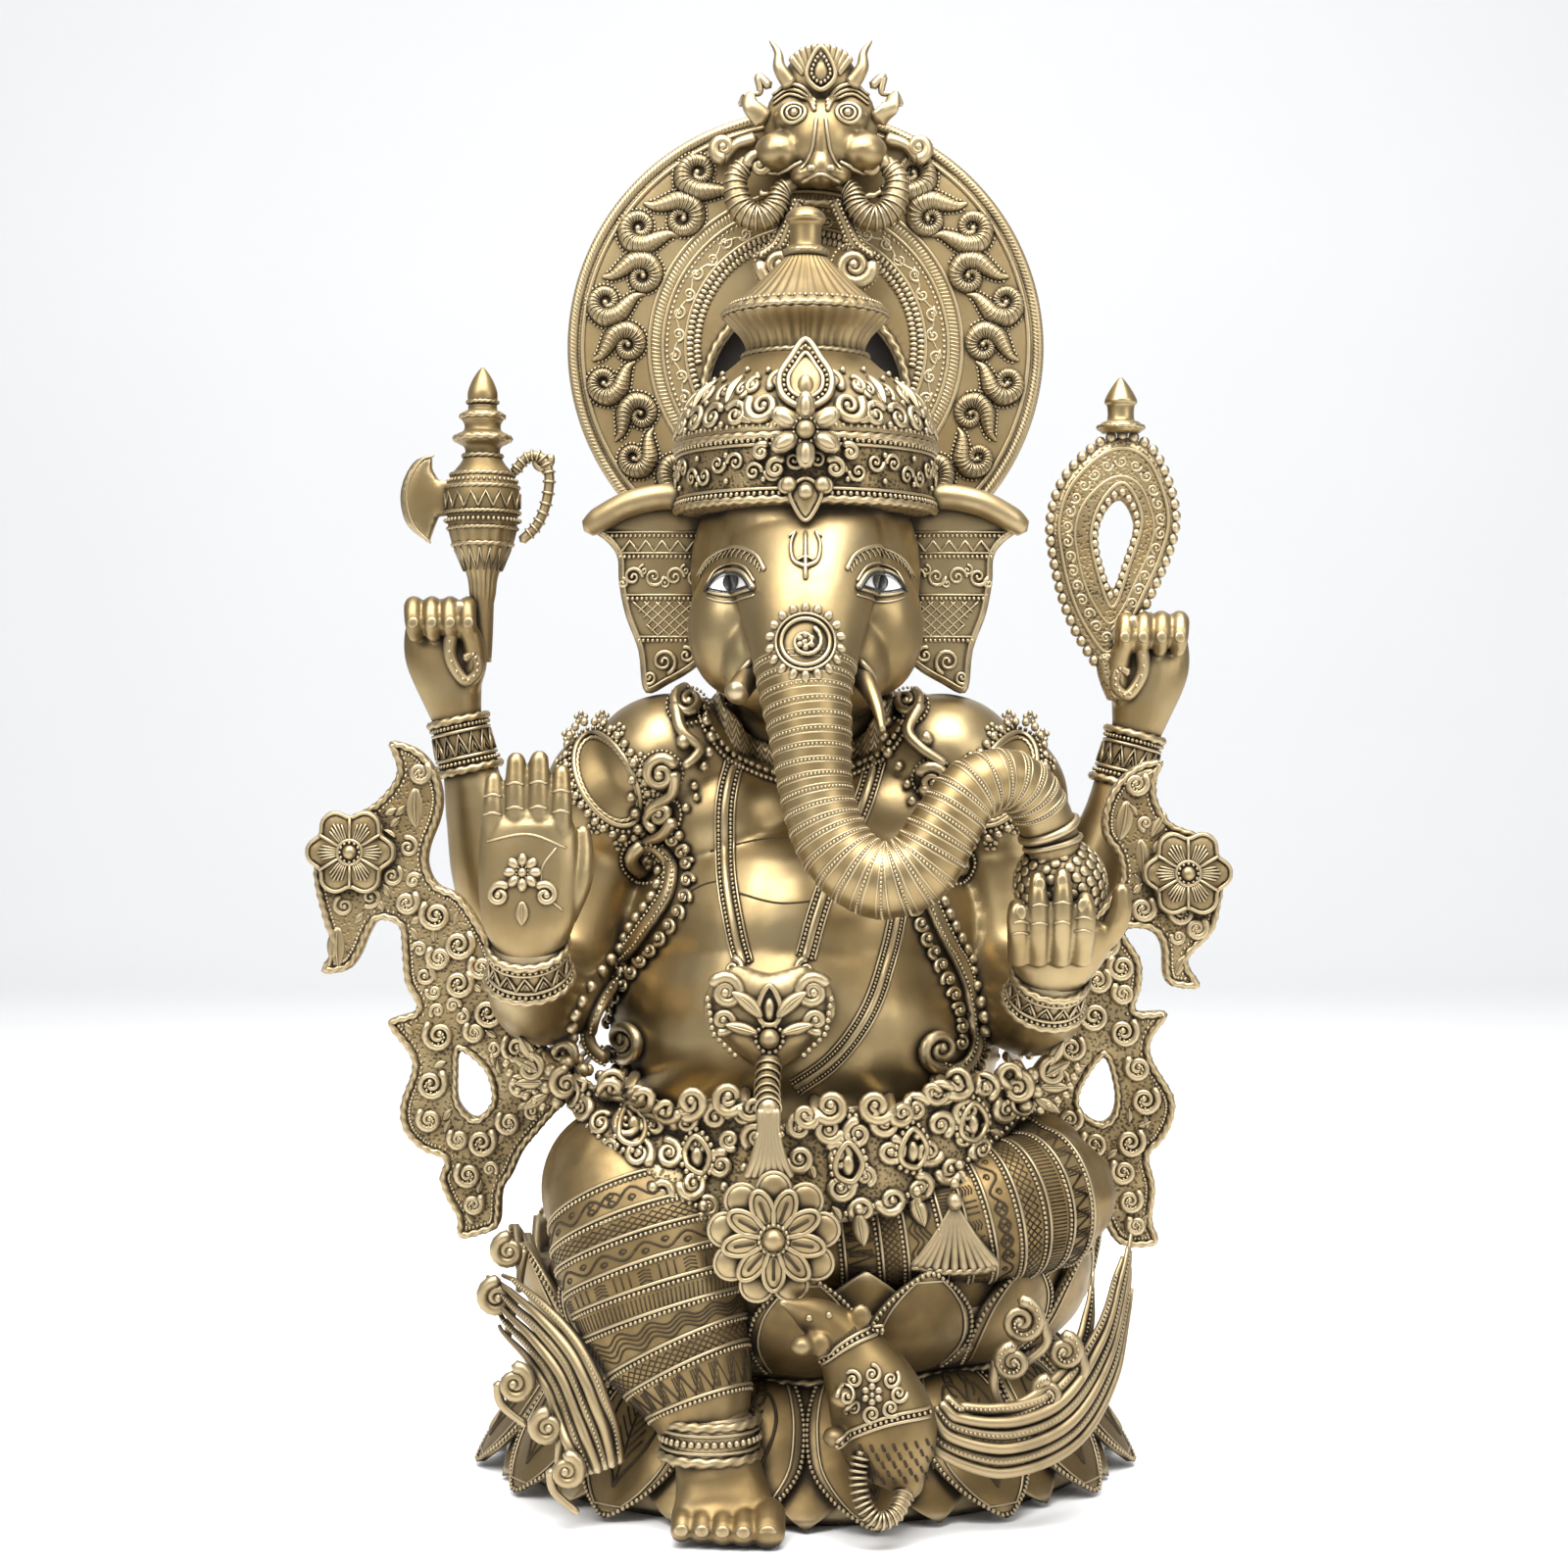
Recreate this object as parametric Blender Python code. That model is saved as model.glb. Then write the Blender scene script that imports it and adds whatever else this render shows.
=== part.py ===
"""A seated, elephant-headed temple figure of cast brass, as separate castings and fasteners.

Figure frame: X runs across the figure, Y runs backwards, Z is up, and all places are in millimetres.
Right and left are the figure's own, so its right hand is on the side of negative X.
"""

import math

import bmesh
import bpy
from mathutils import Vector
from mathutils.bvhtree import BVHTree

# ---- driving dimensions, in millimetres ------------------------------------------------------
FIGURE_HEIGHT = 914.0  # floor to the top of the lion mask
DRAWN_HEIGHT = 914.0  # the height at which the places below were drawn
CLEARANCE = 0.5  # gap between castings that are stacked
ROOM = 0.35  # gap where one casting is cut away round another
WALL = 6.0  # wall of the hollow castings
BASE_RADIUS = 210.0  # lotus base, over the petal tips
PETAL_DEPTH = 28.0  # how far the notches between lower petals cut in
PETALS = 16
WAIST_RADIUS = 150.0  # lotus base where its two rings meet
WAIST_HEIGHT = 76.0
DECK_HEIGHT = 126.0  # the seat on top of the lotus
FLANGE = 30.0  # width of the bolting flanges inside the base
DRAIN_RADIUS = 14.0  # hole through the middle of the deck
BOLT_RADIUS = 4.0
BOLT_HEAD = 7.5
BOLT_HOLE_GAP = 0.5
AUREOLE_RADIUS = 158.0
AUREOLE_BACK = 74.0  # Y of the aureole's back face
AUREOLE_THICK = 11.0
PAN_THICK = 3.0
AUREOLE_CENTRE = 714.0  # height of its centre
OPENING_RADIUS = 64.0  # arch behind the crown
LUG_HEIGHT = 452.0  # the bosses on the back that the aureole's legs are bolted to
LUG_SPACING = 48.0  # each boss's distance from the middle
LUG_START = 40.0  # Y where each boss starts inside the back
BRACKET_THICK = 11.0
BRACKET_FRONT = -62.0  # Y of the side brackets' front faces
EAR_THICK = 7.0
EAR_FRONT = -46.5  # Y of the ears' front faces
SWEET_RADIUS = 28.0

UNIT = 0.001 * FIGURE_HEIGHT / DRAWN_HEIGHT  # metres for one figure millimetre
MM = 0.001
WELD = 0.002  # corners nearer than this become one after a cut
SEAT_DRAWN = 126.0  # deck height and base radius that the places below were drawn for
BASE_DRAWN = 210.0
TURN = 2 * math.pi
BRASS = ((0.60, 0.50, 0.31), 0.32, 1.0)  # colour, roughness, metallic
OLD_BRASS = ((0.42, 0.33, 0.18), 0.42, 1.0)  # lower castings, browner with age
ENAMEL = ((0.90, 0.88, 0.82), 0.2, 0.0)
STEEL = ((0.55, 0.55, 0.56), 0.4, 1.0)
BLACKED = ((0.02, 0.015, 0.01), 0.8, 0.3)
COATS = {
    "right_eye": ENAMEL, "left_eye": ENAMEL, "aureole_back_pan": BLACKED, "lotus_lower_ring": OLD_BRASS,
    "lotus_upper_ring": OLD_BRASS, "right_leg": OLD_BRASS, "left_leg": OLD_BRASS,
    "right_foot": OLD_BRASS, "left_foot": OLD_BRASS, "right_anklet": OLD_BRASS, "mouse": OLD_BRASS,
    "base_bolt_1": STEEL, "base_bolt_2": STEEL, "base_bolt_3": STEEL, "right_aureole_bolt": STEEL,
    "left_aureole_bolt": STEEL,
}
built = []  # finished castings, each cut by those before it
forms = {}  # the plain solids each casting was joined from, before anything was cut away


# ---- shape tools --------------------------------------------------------------------------------
def share(value, low, high):
    """0 up to low, 1 from high, and even between."""
    return min(1.0, max(0.0, (value - low) / (high - low)))


def place(x, y, z):
    """A point of the figure, in metres. All above the deck rises and sinks with it, and what lies in
    front of the lotus base, such as the lowered foot, moves out and in with its petals."""
    deck_shift = (DECK_HEIGHT - SEAT_DRAWN) * share(z, 0, SEAT_DRAWN)
    base_shift = (BASE_RADIUS - BASE_DRAWN) * share(-y, 140, 190) * share(-z, -150, -90)
    return Vector((x, y - base_shift, z + deck_shift)) * UNIT


def coat(obj):
    """Gives a finished piece its own material."""
    colour, roughness, metallic = COATS.get(obj.name, BRASS)
    made = bpy.data.materials.new(obj.name)
    made.use_nodes = True
    shader = made.node_tree.nodes["Principled BSDF"]
    shader.inputs["Base Color"].default_value = (*colour, 1)
    shader.inputs["Roughness"].default_value = roughness
    shader.inputs["Metallic"].default_value = metallic
    obj.data.materials.clear()
    obj.data.materials.append(made)


def new_object(name, bm):
    bmesh.ops.triangulate(bm, faces=bm.faces)
    bmesh.ops.recalc_face_normals(bm, faces=bm.faces)
    mesh = bpy.data.meshes.new(name)
    bm.to_mesh(mesh)
    bm.free()
    mesh.shade_smooth()
    mesh.set_sharp_from_angle(angle=math.radians(40))
    obj = bpy.data.objects.new(name, mesh)
    bpy.context.scene.collection.objects.link(obj)
    forms[obj.name] = [mesh.copy()]
    return obj


def skin(name, rings):
    """A closed solid over a stack of rings, each capped by a fan at its ends."""
    bm = bmesh.new()
    loops = [[bm.verts.new(point) for point in ring] for ring in rings]
    for lower, upper in zip(loops, loops[1:]):
        for i in range(len(lower)):
            j = (i + 1) % len(lower)
            bm.faces.new((lower[i], lower[j], upper[j], upper[i]))
    for loop in (loops[0], loops[-1]):
        middle = bm.verts.new(sum((v.co for v in loop), Vector()) / len(loop))
        for i in range(len(loop)):
            bm.faces.new((loop[i], loop[(i + 1) % len(loop)], middle))
    return new_object(name, bm)


def spline(stations, steps):
    """Catmull-Rom points through the stations, with steps points for each span."""
    ends = [stations[0], *stations, stations[-1]]
    found = []
    for a, b, c, d in zip(ends, ends[1:], ends[2:], ends[3:]):
        for k in range(steps):
            t = k / steps
            found.append([
                0.5 * (2 * q + (r - p) * t + (2 * p - 5 * q + 4 * r - s) * t**2
                       + (3 * q - p - 3 * r + s) * t**3)
                for p, q, r, s in zip(a, b, c, d)
            ])
    found.append(list(stations[-1]))
    return found


def limb(name, stations, sides=12, steps=2, hint=(1, 0, 0), round_ends=True):
    """A swept solid. Each station is x, y, z, half-width along hint, half-depth across it."""
    path = spline(stations, steps)
    centres = [place(*p[:3]) for p in path]
    rings = []
    for i, station in enumerate(path):
        ahead, behind = centres[min(i + 1, len(path) - 1)], centres[max(i - 1, 0)]
        along = (ahead - behind).normalized()
        across = (Vector(hint) - along * along.dot(Vector(hint))).normalized()
        deep = along.cross(across)
        for push, share in end_rings(i, len(path)) if round_ends else [(0.0, 1.0)]:
            half = min(station[3], station[4])
            middle = centres[i] + along * push * half * UNIT
            rings.append([
                middle
                + across * (math.cos(TURN * k / sides) * station[3] * share * UNIT)
                + deep * (math.sin(TURN * k / sides) * station[4] * share * UNIT)
                for k in range(sides)
            ])
    return skin(name, rings)


def end_rings(index, count):
    """How far each ring at this station is pushed along the limb, and its share of the width."""
    if index == 0:
        return [(-0.7, 0.55), (0.0, 1.0)]
    if index == count - 1:
        return [(0.0, 1.0), (0.7, 0.55)]
    return [(0.0, 1.0)]


def ball(name, centre, radii, segments=12):
    bm = bmesh.new()
    bmesh.ops.create_uvsphere(bm, u_segments=segments, v_segments=segments // 2 + 2, radius=1)
    for vert in bm.verts:
        vert.co = place(*centre) + Vector(v * r * UNIT for v, r in zip(vert.co, radii))
    return new_object(name, bm)


def turned(name, profile, centre=(0, 0), segments=18):
    """A solid of revolution about a vertical axis, from (radius, height) pairs."""
    rings = []
    for radius, height in profile:
        ring = []
        for k in range(segments):
            angle = TURN * k / segments
            x, y = centre[0] + radius * math.sin(angle), centre[1] - radius * math.cos(angle)
            ring.append(place(x, y, height))
        rings.append(ring)
    return skin(name, rings)


def plate(name, outline, front, thick, holes=(), steps=2):
    """A flat casting that faces the front: closed smooth outlines of (x, z), with holes."""
    curve = bpy.data.curves.new(name, "CURVE")
    curve.dimensions, curve.fill_mode = "2D", "BOTH"
    curve.extrude = thick * UNIT / 2
    for points in (outline, *holes):
        smooth = closed_spline(points, steps)
        line = curve.splines.new("POLY")
        line.use_cyclic_u = True
        line.points.add(len(smooth) - 1)
        for point, (x, z) in zip(line.points, smooth):
            at = place(x, 0, z)
            point.co = (at.x, at.z, 0, 1)
    guide = bpy.data.objects.new(name + "_outline", curve)
    bpy.context.scene.collection.objects.link(guide)
    bpy.context.view_layer.update()
    bm = bmesh.new()
    bm.from_mesh(guide.to_mesh())
    bpy.data.objects.remove(guide)
    bmesh.ops.remove_doubles(bm, verts=bm.verts, dist=0.02 * MM)
    middle = (front + thick / 2) * UNIT
    for vert in bm.verts:
        vert.co = (vert.co.x, middle - vert.co.z, vert.co.y)
    return new_object(name, bm)


def closed_spline(points, steps):
    """Smooth points round a closed outline. A steps of 1 keeps the points as they are."""
    if steps == 1:
        return points
    count, found = len(points), []
    for i in range(count):
        a, b, c, d = (points[(i + k - 1) % count] for k in range(4))
        for k in range(steps):
            t = k / steps
            found.append([
                0.5 * (2 * q + (r - p) * t + (2 * p - 5 * q + 4 * r - s) * t**2
                       + (3 * q - p - 3 * r + s) * t**3)
                for p, q, r, s in zip(a, b, c, d)
            ])
    return found


def boolean(obj, tool, operation):
    """Applies one Boolean and removes its tool. The exact solver comes first."""
    before = closed_volume(obj.data)
    step = obj.modifiers.new(operation, "BOOLEAN")
    step.operation, step.object = operation, tool
    for solver, meets_itself in (("EXACT", False), ("EXACT", True), ("MANIFOLD", False)):
        step.solver, step.use_self = solver, meets_itself
        bpy.context.view_layer.update()
        graph = bpy.context.evaluated_depsgraph_get()
        mesh = bpy.data.meshes.new_from_object(obj.evaluated_get(graph), depsgraph=graph)
        after = closed_volume(mesh)
        change = before - after if operation == "DIFFERENCE" else after - before
        if after > 0 and change > 0:
            break
    obj.modifiers.clear()
    obj.data = mesh
    bpy.data.objects.remove(tool)


def closed_volume(mesh):
    """The volume inside a mesh in cubic metres, or 0 where it isn't closed."""
    bm = bmesh.new()
    bm.from_mesh(mesh)
    bmesh.ops.remove_doubles(bm, verts=bm.verts, dist=WELD * MM)
    closed = len(bm.faces) > 0 and all(len(edge.link_faces) == 2 for edge in bm.edges)
    volume = bm.calc_volume() if closed else 0.0
    bm.free()
    return volume


def join(obj, *others):
    for other in others:
        forms[obj.name] += forms[other.name]
        boolean(obj, other, "UNION")
    return obj


def swollen(form, by):
    """A plain solid grown by a distance in millimetres, to cut room for it in another piece."""
    bm = bmesh.new()
    bm.from_mesh(form)
    bm.normal_update()
    shifts = [vert.normal.copy() * vert.calc_shell_factor() for vert in bm.verts]
    for vert, shift in zip(bm.verts, shifts):
        vert.co += shift.normalized() * min(shift.length, 2.0) * by * MM
    tool = new_object("room", bm)
    tool.hide_render, tool.display_type = True, "WIRE"
    return tool


def largest_body(obj):
    """Removes the chips that a cut leaves beside the main body."""
    bm = bmesh.new()
    bm.from_mesh(obj.data)
    bmesh.ops.remove_doubles(bm, verts=bm.verts, dist=WELD * MM)
    left, bodies = set(bm.verts), []
    while left:
        body, front = set(), [left.pop()]
        while front:
            vert = front.pop()
            body.add(vert)
            for edge in vert.link_edges:
                other = edge.other_vert(vert)
                if other in left:
                    left.discard(other)
                    front.append(other)
        bodies.append(body)
    bodies.sort(key=len, reverse=True)
    chips = [vert for body in bodies[1:] for vert in body]
    bmesh.ops.delete(bm, geom=chips, context="VERTS")
    bm.to_mesh(obj.data)
    bm.free()


def tree_of(obj):
    bm = bmesh.new()
    bm.from_mesh(obj.data)
    tree = BVHTree.FromBMesh(bm)
    bm.free()
    return tree


def reach(mesh):
    """The lowest and highest corners of a mesh's box."""
    corners = [[vert.co[axis] for vert in mesh.vertices] for axis in range(3)]
    return [min(values) for values in corners], [max(values) for values in corners]


def boxes_meet(mesh, other):
    (low, high), (other_low, other_high) = reach(mesh), reach(other)
    return all(low[k] <= other_high[k] and other_low[k] <= high[k] for k in range(3))


def cut_round(obj, other, gap=ROOM):
    """Cuts room in obj for each plain solid of other."""
    for form in forms[other.name]:
        tool = swollen(form, gap)
        if boxes_meet(tool.data, obj.data) and tree_of(tool).overlap(tree_of(obj)):
            boolean(obj, tool, "DIFFERENCE")
            largest_body(obj)
        else:
            bpy.data.objects.remove(tool)


def finish(obj):
    """Cuts room in obj for every finished casting that it meets, and finishes it."""
    for other in built:
        cut_round(obj, other)
    built.append(obj)
    return obj


# ---- lotus base ----------------------------------------------------------------------------------
def petal_wave(angle):
    """1 on a petal's middle line and 0 in the notch between two, with a point at the tip."""
    phase = (angle / TURN * PETALS + 0.5) % 1.0
    return 1 - abs(2 * ((phase + 0.5) % 1.0) - 1) ** 1.3


def lower_petals(angle, radius, height):
    if radius <= WAIST_RADIUS:
        return radius, height
    reach = (radius - WAIST_RADIUS) / (BASE_RADIUS - WAIST_RADIUS)
    return radius - PETAL_DEPTH * reach * (1 - petal_wave(angle)), height


def upper_petals(angle, radius, height):
    if radius <= WAIST_RADIUS or height <= WAIST_HEIGHT + 1:
        return radius, height
    wave, rise = petal_wave(angle), (height - WAIST_HEIGHT) / (DECK_HEIGHT - WAIST_HEIGHT)
    return radius - 12 * rise * (1 - wave), height + 12 * rise * (wave - 0.5)


def base():
    inner, segments = WAIST_RADIUS - FLANGE, 3 * PETALS
    foot = BASE_RADIUS - PETAL_DEPTH - WALL
    lower = [
        (foot, 0), (BASE_RADIUS, 0), (BASE_RADIUS - 6, 14), (BASE_RADIUS - 26, 48),
        (WAIST_RADIUS, WAIST_HEIGHT), (inner, WAIST_HEIGHT), (inner, WAIST_HEIGHT - WALL),
        (WAIST_RADIUS - WALL, WAIST_HEIGHT - WALL), (foot - 12, 40),
    ]
    bottom = WAIST_HEIGHT + CLEARANCE
    upper = [
        (inner, bottom), (WAIST_RADIUS, bottom), (WAIST_RADIUS + 26, WAIST_HEIGHT + 20),
        (WAIST_RADIUS + 40, DECK_HEIGHT), (WAIST_RADIUS + 32, DECK_HEIGHT + 2),
        (WAIST_RADIUS + 8, DECK_HEIGHT - 6), (DRAIN_RADIUS, DECK_HEIGHT),
        (DRAIN_RADIUS, DECK_HEIGHT - WALL), (WAIST_RADIUS - WALL, DECK_HEIGHT - WALL),
        (WAIST_RADIUS - WALL, bottom + WALL), (inner, bottom + WALL),
    ]
    rings = (
        ring_casting("lotus_lower_ring", lower, segments, lower_petals),
        ring_casting("lotus_upper_ring", upper, segments, upper_petals),
    )
    return [finish_casting(ring) for ring in rings]


def ring_casting(name, profile, segments, shape):
    """A ring: the closed profile swept round the vertical axis."""
    bm = bmesh.new()
    loops = []
    for radius, height in profile:
        loop = []
        for k in range(segments):
            angle = TURN * (k + 0.5) / segments
            r, z = shape(angle, radius, height)
            point = Vector((r * math.sin(angle), -r * math.cos(angle), z)) * UNIT
            loop.append(bm.verts.new(point))
        loops.append(loop)
    for lower, upper in zip(loops, loops[1:] + loops[:1]):
        for i in range(segments):
            j = (i + 1) % segments
            bm.faces.new((lower[i], lower[j], upper[j], upper[i]))
    return new_object(name, bm)


def finish_casting(obj):
    built.append(obj)
    return obj


def screw(name, foot, direction, length, head_height=5.0):
    """A hexagon-headed bolt whose head's outer face is at foot."""
    bm = bmesh.new()
    axis = Vector(direction)
    side = axis.orthogonal().normalized()
    other = axis.cross(side)
    sections = [
        (0, BOLT_HEAD, 6), (head_height, BOLT_HEAD, 6),
        (head_height, BOLT_RADIUS, 12), (length, BOLT_RADIUS, 12),
    ]
    loops = []
    for reach, radius, sides in sections:
        centre = place(*foot) + axis * reach * MM
        loops.append([
            bm.verts.new(centre + (side * math.cos(TURN * k / sides)
                                   + other * math.sin(TURN * k / sides)) * radius * MM)
            for k in range(sides)
        ])
    head, neck = loops[:2], loops[2:]
    for lower, upper in (head, neck):
        for i in range(len(lower)):
            j = (i + 1) % len(lower)
            bm.faces.new((lower[i], lower[j], upper[j], upper[i]))
    for k in range(6):
        m = (k + 1) % 6
        first, middle, last = neck[0][2 * k], neck[0][2 * k + 1], neck[0][(2 * k + 2) % 12]
        bm.faces.new((head[1][k], middle, first))
        bm.faces.new((head[1][k], head[1][m], middle))
        bm.faces.new((head[1][m], last, middle))
    bm.faces.new(loops[0])
    bm.faces.new(loops[-1])
    return new_object(name, bm)


def base_screws():
    """Three bolts clamp the two lotus rings together at their flanges."""
    circle = WAIST_RADIUS - FLANGE / 2
    start = WAIST_HEIGHT - WALL - 5 - 0.5
    screws = []
    for number, angle in enumerate((60, 180, 300), start=1):
        x, y = circle * math.sin(math.radians(angle)), -circle * math.cos(math.radians(angle))
        screws.append(screw(f"base_bolt_{number}", (x, y, start), (0, 0, 1), 24))
    return screws


# ---- body ----------------------------------------------------------------------------------------
TORSO = [  # x, y, z, half-width, half-depth
    (0, 5, 127, 118, 92), (0, 4, 150, 126, 100), (0, -4, 190, 124, 110), (0, -12, 235, 122, 120),
    (0, -18, 285, 123, 126), (0, -14, 330, 117, 116), (0, -2, 378, 106, 92),
    (0, 2, 415, 110, 70), (0, 4, 442, 112, 58), (0, 6, 462, 98, 50), (0, 6, 476, 62, 42),
]
HEAD = [
    (0, -26, 478, 40, 38), (0, -38, 496, 54, 54), (0, -46, 522, 67, 68), (0, -50, 552, 73, 74),
    (0, -50, 584, 73, 74), (0, -48, 612, 68, 68), (0, -48, 630, 52, 52),
]


def hollow(stations, wall, open_by=20):
    """The stations of the space inside a casting, open at its first end."""
    inner = [(x, y, z, a - wall, b - wall) for x, y, z, a, b in stations]
    x, y, z, a, b = inner[0]
    top = inner[-1]
    inner[0] = (x, y, z - open_by, a, b)
    inner[-1] = (top[0], top[1], top[2] - wall - 6, top[3] * 0.8, top[4] * 0.8)
    return inner


def hollow_out(casting, stations, wall, sides):
    """Finishes a casting and opens it from its first end."""
    finish(casting)
    space = limb(casting.name + "_space", hollow(stations, wall), sides=sides, steps=1, round_ends=False)
    boolean(casting, space, "DIFFERENCE")


def torso():
    casting = limb("torso", TORSO, sides=18, steps=1, round_ends=False)
    front = AUREOLE_BACK - AUREOLE_THICK - CLEARANCE
    for side in (-1, 1):
        x = side * LUG_SPACING
        lug = limb("lug", [(x, LUG_START, LUG_HEIGHT, 11, 11), (x, front, LUG_HEIGHT, 11, 11)], sides=10,
                   steps=1, round_ends=False)
        join(casting, lug)
    hollow_out(casting, TORSO, WALL, 18)


def head():
    casting = limb("head", HEAD, sides=12,
             steps=1, round_ends=False)
    brow = ball("brow", (0, -92, 566), (44, 34, 34), segments=8)
    join(casting, brow)
    hollow_out(casting, HEAD, WALL + 2, 12)


TRUNK = [
    (0, -112, 566, 30, 26), (0, -124, 536, 34, 30), (0, -136, 508, 31, 27), (1, -145, 480, 26, 25),
    (4, -152, 450, 22.5, 22), (8, -160, 420, 21, 21), (14, -168, 395, 21, 21), (28, -175, 377, 22, 21),
    (50, -178, 372, 21.5, 21), (70, -178, 386, 21, 20.5), (84, -176, 408, 20, 19.5),
    (100, -172, 427, 19, 18.5), (120, -164, 430, 18, 17.5), (135, -154, 416, 17, 16.5),
    (143, -146, 399, 16, 16),
]


def trunk():
    return finish(limb("trunk", TRUNK, sides=12, steps=1, hint=(1, 0, 0.25)))


def tusks():
    right = limb("right_tusk", [(-34, -104, 490, 8, 8), (-38, -118, 478, 7.5, 7.5), (-40, -128, 472, 6, 6)],
                 sides=8, steps=1)
    left = limb("left_tusk", [(34, -104, 488, 8, 8), (38, -120, 472, 6.5, 6.5), (41, -134, 460, 2.5, 2.5)],
                sides=8, steps=1)
    return finish(right), finish(left)


EAR = [
    (-66, 606), (-86, 615), (-110, 610), (-136, 600), (-151, 588), (-142, 577), (-129, 562),
    (-119, 530), (-112, 500), (-117, 478), (-94, 489), (-76, 502), (-64, 516), (-70, 540), (-73, 572),
]


def ears():
    right = plate("right_ear", EAR, EAR_FRONT, EAR_THICK, steps=1)
    left = plate("left_ear", [(0.93 * -x, z - 3) for x, z in reversed(EAR)], EAR_FRONT, EAR_THICK, steps=1)
    for obj, side in ((right, -1), (left, 0.93)):
        roll = [(-side * x, -50, z + 3, 8, 8) for x, z in EAR[1:5]]
        join(obj, limb("roll", roll, sides=8, steps=1, hint=(0, 1, 0)))
    return finish(right), finish(left)


def eyes():
    made = []
    for side, name in ((-1, "right_eye"), (1, "left_eye")):
        eye = ball(name, (side * 45, -104, 545), (8, 7, 5.5), segments=10)
        made.append(finish_in_socket(eye))
    return made


def finish_in_socket(obj):
    """Cuts a socket for obj out of the castings built so far, so that obj keeps its whole form."""
    for other in built:
        cut_round(other, obj)
    built.append(obj)
    return obj


# ---- legs ----------------------------------------------------------------------------------------
def legs():
    anklet = finish(limb("right_anklet", [(-55, -189, 62, 29, 28), (-50, -193, 42, 27, 27)], sides=12,
             steps=1, round_ends=False))
    thigh = limb("right_leg", [
        (-70, -40, 178, 46, 44), (-100, -85, 186, 50, 46), (-112, -125, 184, 50, 44),
    ], sides=10, steps=1, hint=(0, 0, 1))
    shin = limb("shin", [
        (-108, -140, 196, 44, 38), (-96, -154, 168, 54, 44), (-87, -164, 138, 54, 43),
        (-77, -172, 108, 48, 39), (-65, -180, 82, 37, 32), (-57, -187, 62, 28, 27),
    ], sides=12, steps=1)
    right = finish(join(thigh, shin))
    foot = limb("right_foot", [(-50, -186, 41, 23, 22), (-48, -196, 26, 25, 20), (-46, -214, 13, 29, 11)],
                sides=10, steps=1)
    for k, x in enumerate((-70, -58, -46, -34, -22)):
        toe = ball("toe", (x, -222 + 2.5 * abs(k - 3), 9.5), (8 + (k == 4), 11, 8), segments=6)
        join(foot, toe)
    knee = limb("left_leg", [(70, -40, 172, 42, 42), (112, -70, 180, 44, 44), (138, -92, 178, 44, 40)],
                sides=10, steps=1, hint=(0, 0, 1))
    calf = limb("calf", [
        (152, -104, 178, 42, 34), (118, -128, 172, 41, 34), (75, -140, 163, 34, 32),
        (32, -146, 157, 29, 27), (-8, -148, 153, 23, 22),
    ], sides=12, steps=1, hint=(0, 0, 1))
    left = finish(join(knee, calf))
    sole = limb("left_foot", [(-9, -148, 152, 19, 18), (-28, -151, 148, 18, 17), (-44, -153, 145, 15, 13)],
                sides=8, steps=1, hint=(0, 0, 1))
    return [right, anklet, finish(foot), left, finish(sole)]


# ---- crown ---------------------------------------------------------------------------------------
CROWN_AXIS = (0, -48)


def crown():
    band = ring_round("crown_band", [(64, 588), (78, 592), (80, 612), (81, 634), (64, 634)])
    foot = 634 + CLEARANCE
    dome = ring_round("crown_dome", [
        (79, foot), (78, 646), (71, 660), (58, 674), (44, 684), (38, 690), (24, 690), (24, 682),
        (38, 676), (50, 666), (62, 654), (70, 642), (71, foot),
    ])
    cap = turned("crown_cap", [
        (38, 690 + CLEARANCE), (37, 696), (42, 704), (50, 713), (49, 716), (34, 732), (20, 746),
        (14, 752),
    ], CROWN_AXIS)
    finial = turned("crown_finial", [
        (13, 752 + CLEARANCE), (12, 757), (10, 760), (10.5, 772), (12.5, 776), (9, 782), (3, 785),
    ], CROWN_AXIS, segments=16)
    gem = ball("gem", (0, -118, 668), (15, 14, 20), segments=8)
    join(dome, gem)
    return [finish(piece) for piece in (band, dome, cap, finial)]


def ring_round(name, profile):
    """A ring about the crown's axis from a closed profile of (radius, height)."""
    bm = bmesh.new()
    loops, segments = [], 20
    for radius, height in profile:
        loop = []
        for k in range(segments):
            angle = TURN * k / segments
            x = CROWN_AXIS[0] + radius * math.sin(angle)
            y = CROWN_AXIS[1] - radius * math.cos(angle)
            loop.append(bm.verts.new(place(x, y, height)))
        loops.append(loop)
    for lower, upper in zip(loops, loops[1:] + loops[:1]):
        for i in range(segments):
            j = (i + 1) % segments
            bm.faces.new((lower[i], lower[j], upper[j], upper[i]))
    return new_object(name, bm)


# ---- aureole -------------------------------------------------------------------------------------
def arc(radius, centre, start, end, count):
    """Points on an arc in the XZ plane, with angles in degrees from straight up, clockwise."""
    return [
        (radius * math.sin(math.radians(a)), centre + radius * math.cos(math.radians(a)))
        for a in (start + (end - start) * k / (count - 1) for k in range(count))
    ]


TAB_HALF, TAB_FOOT = 60.0, 440.0  # the aureole's two legs


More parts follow.
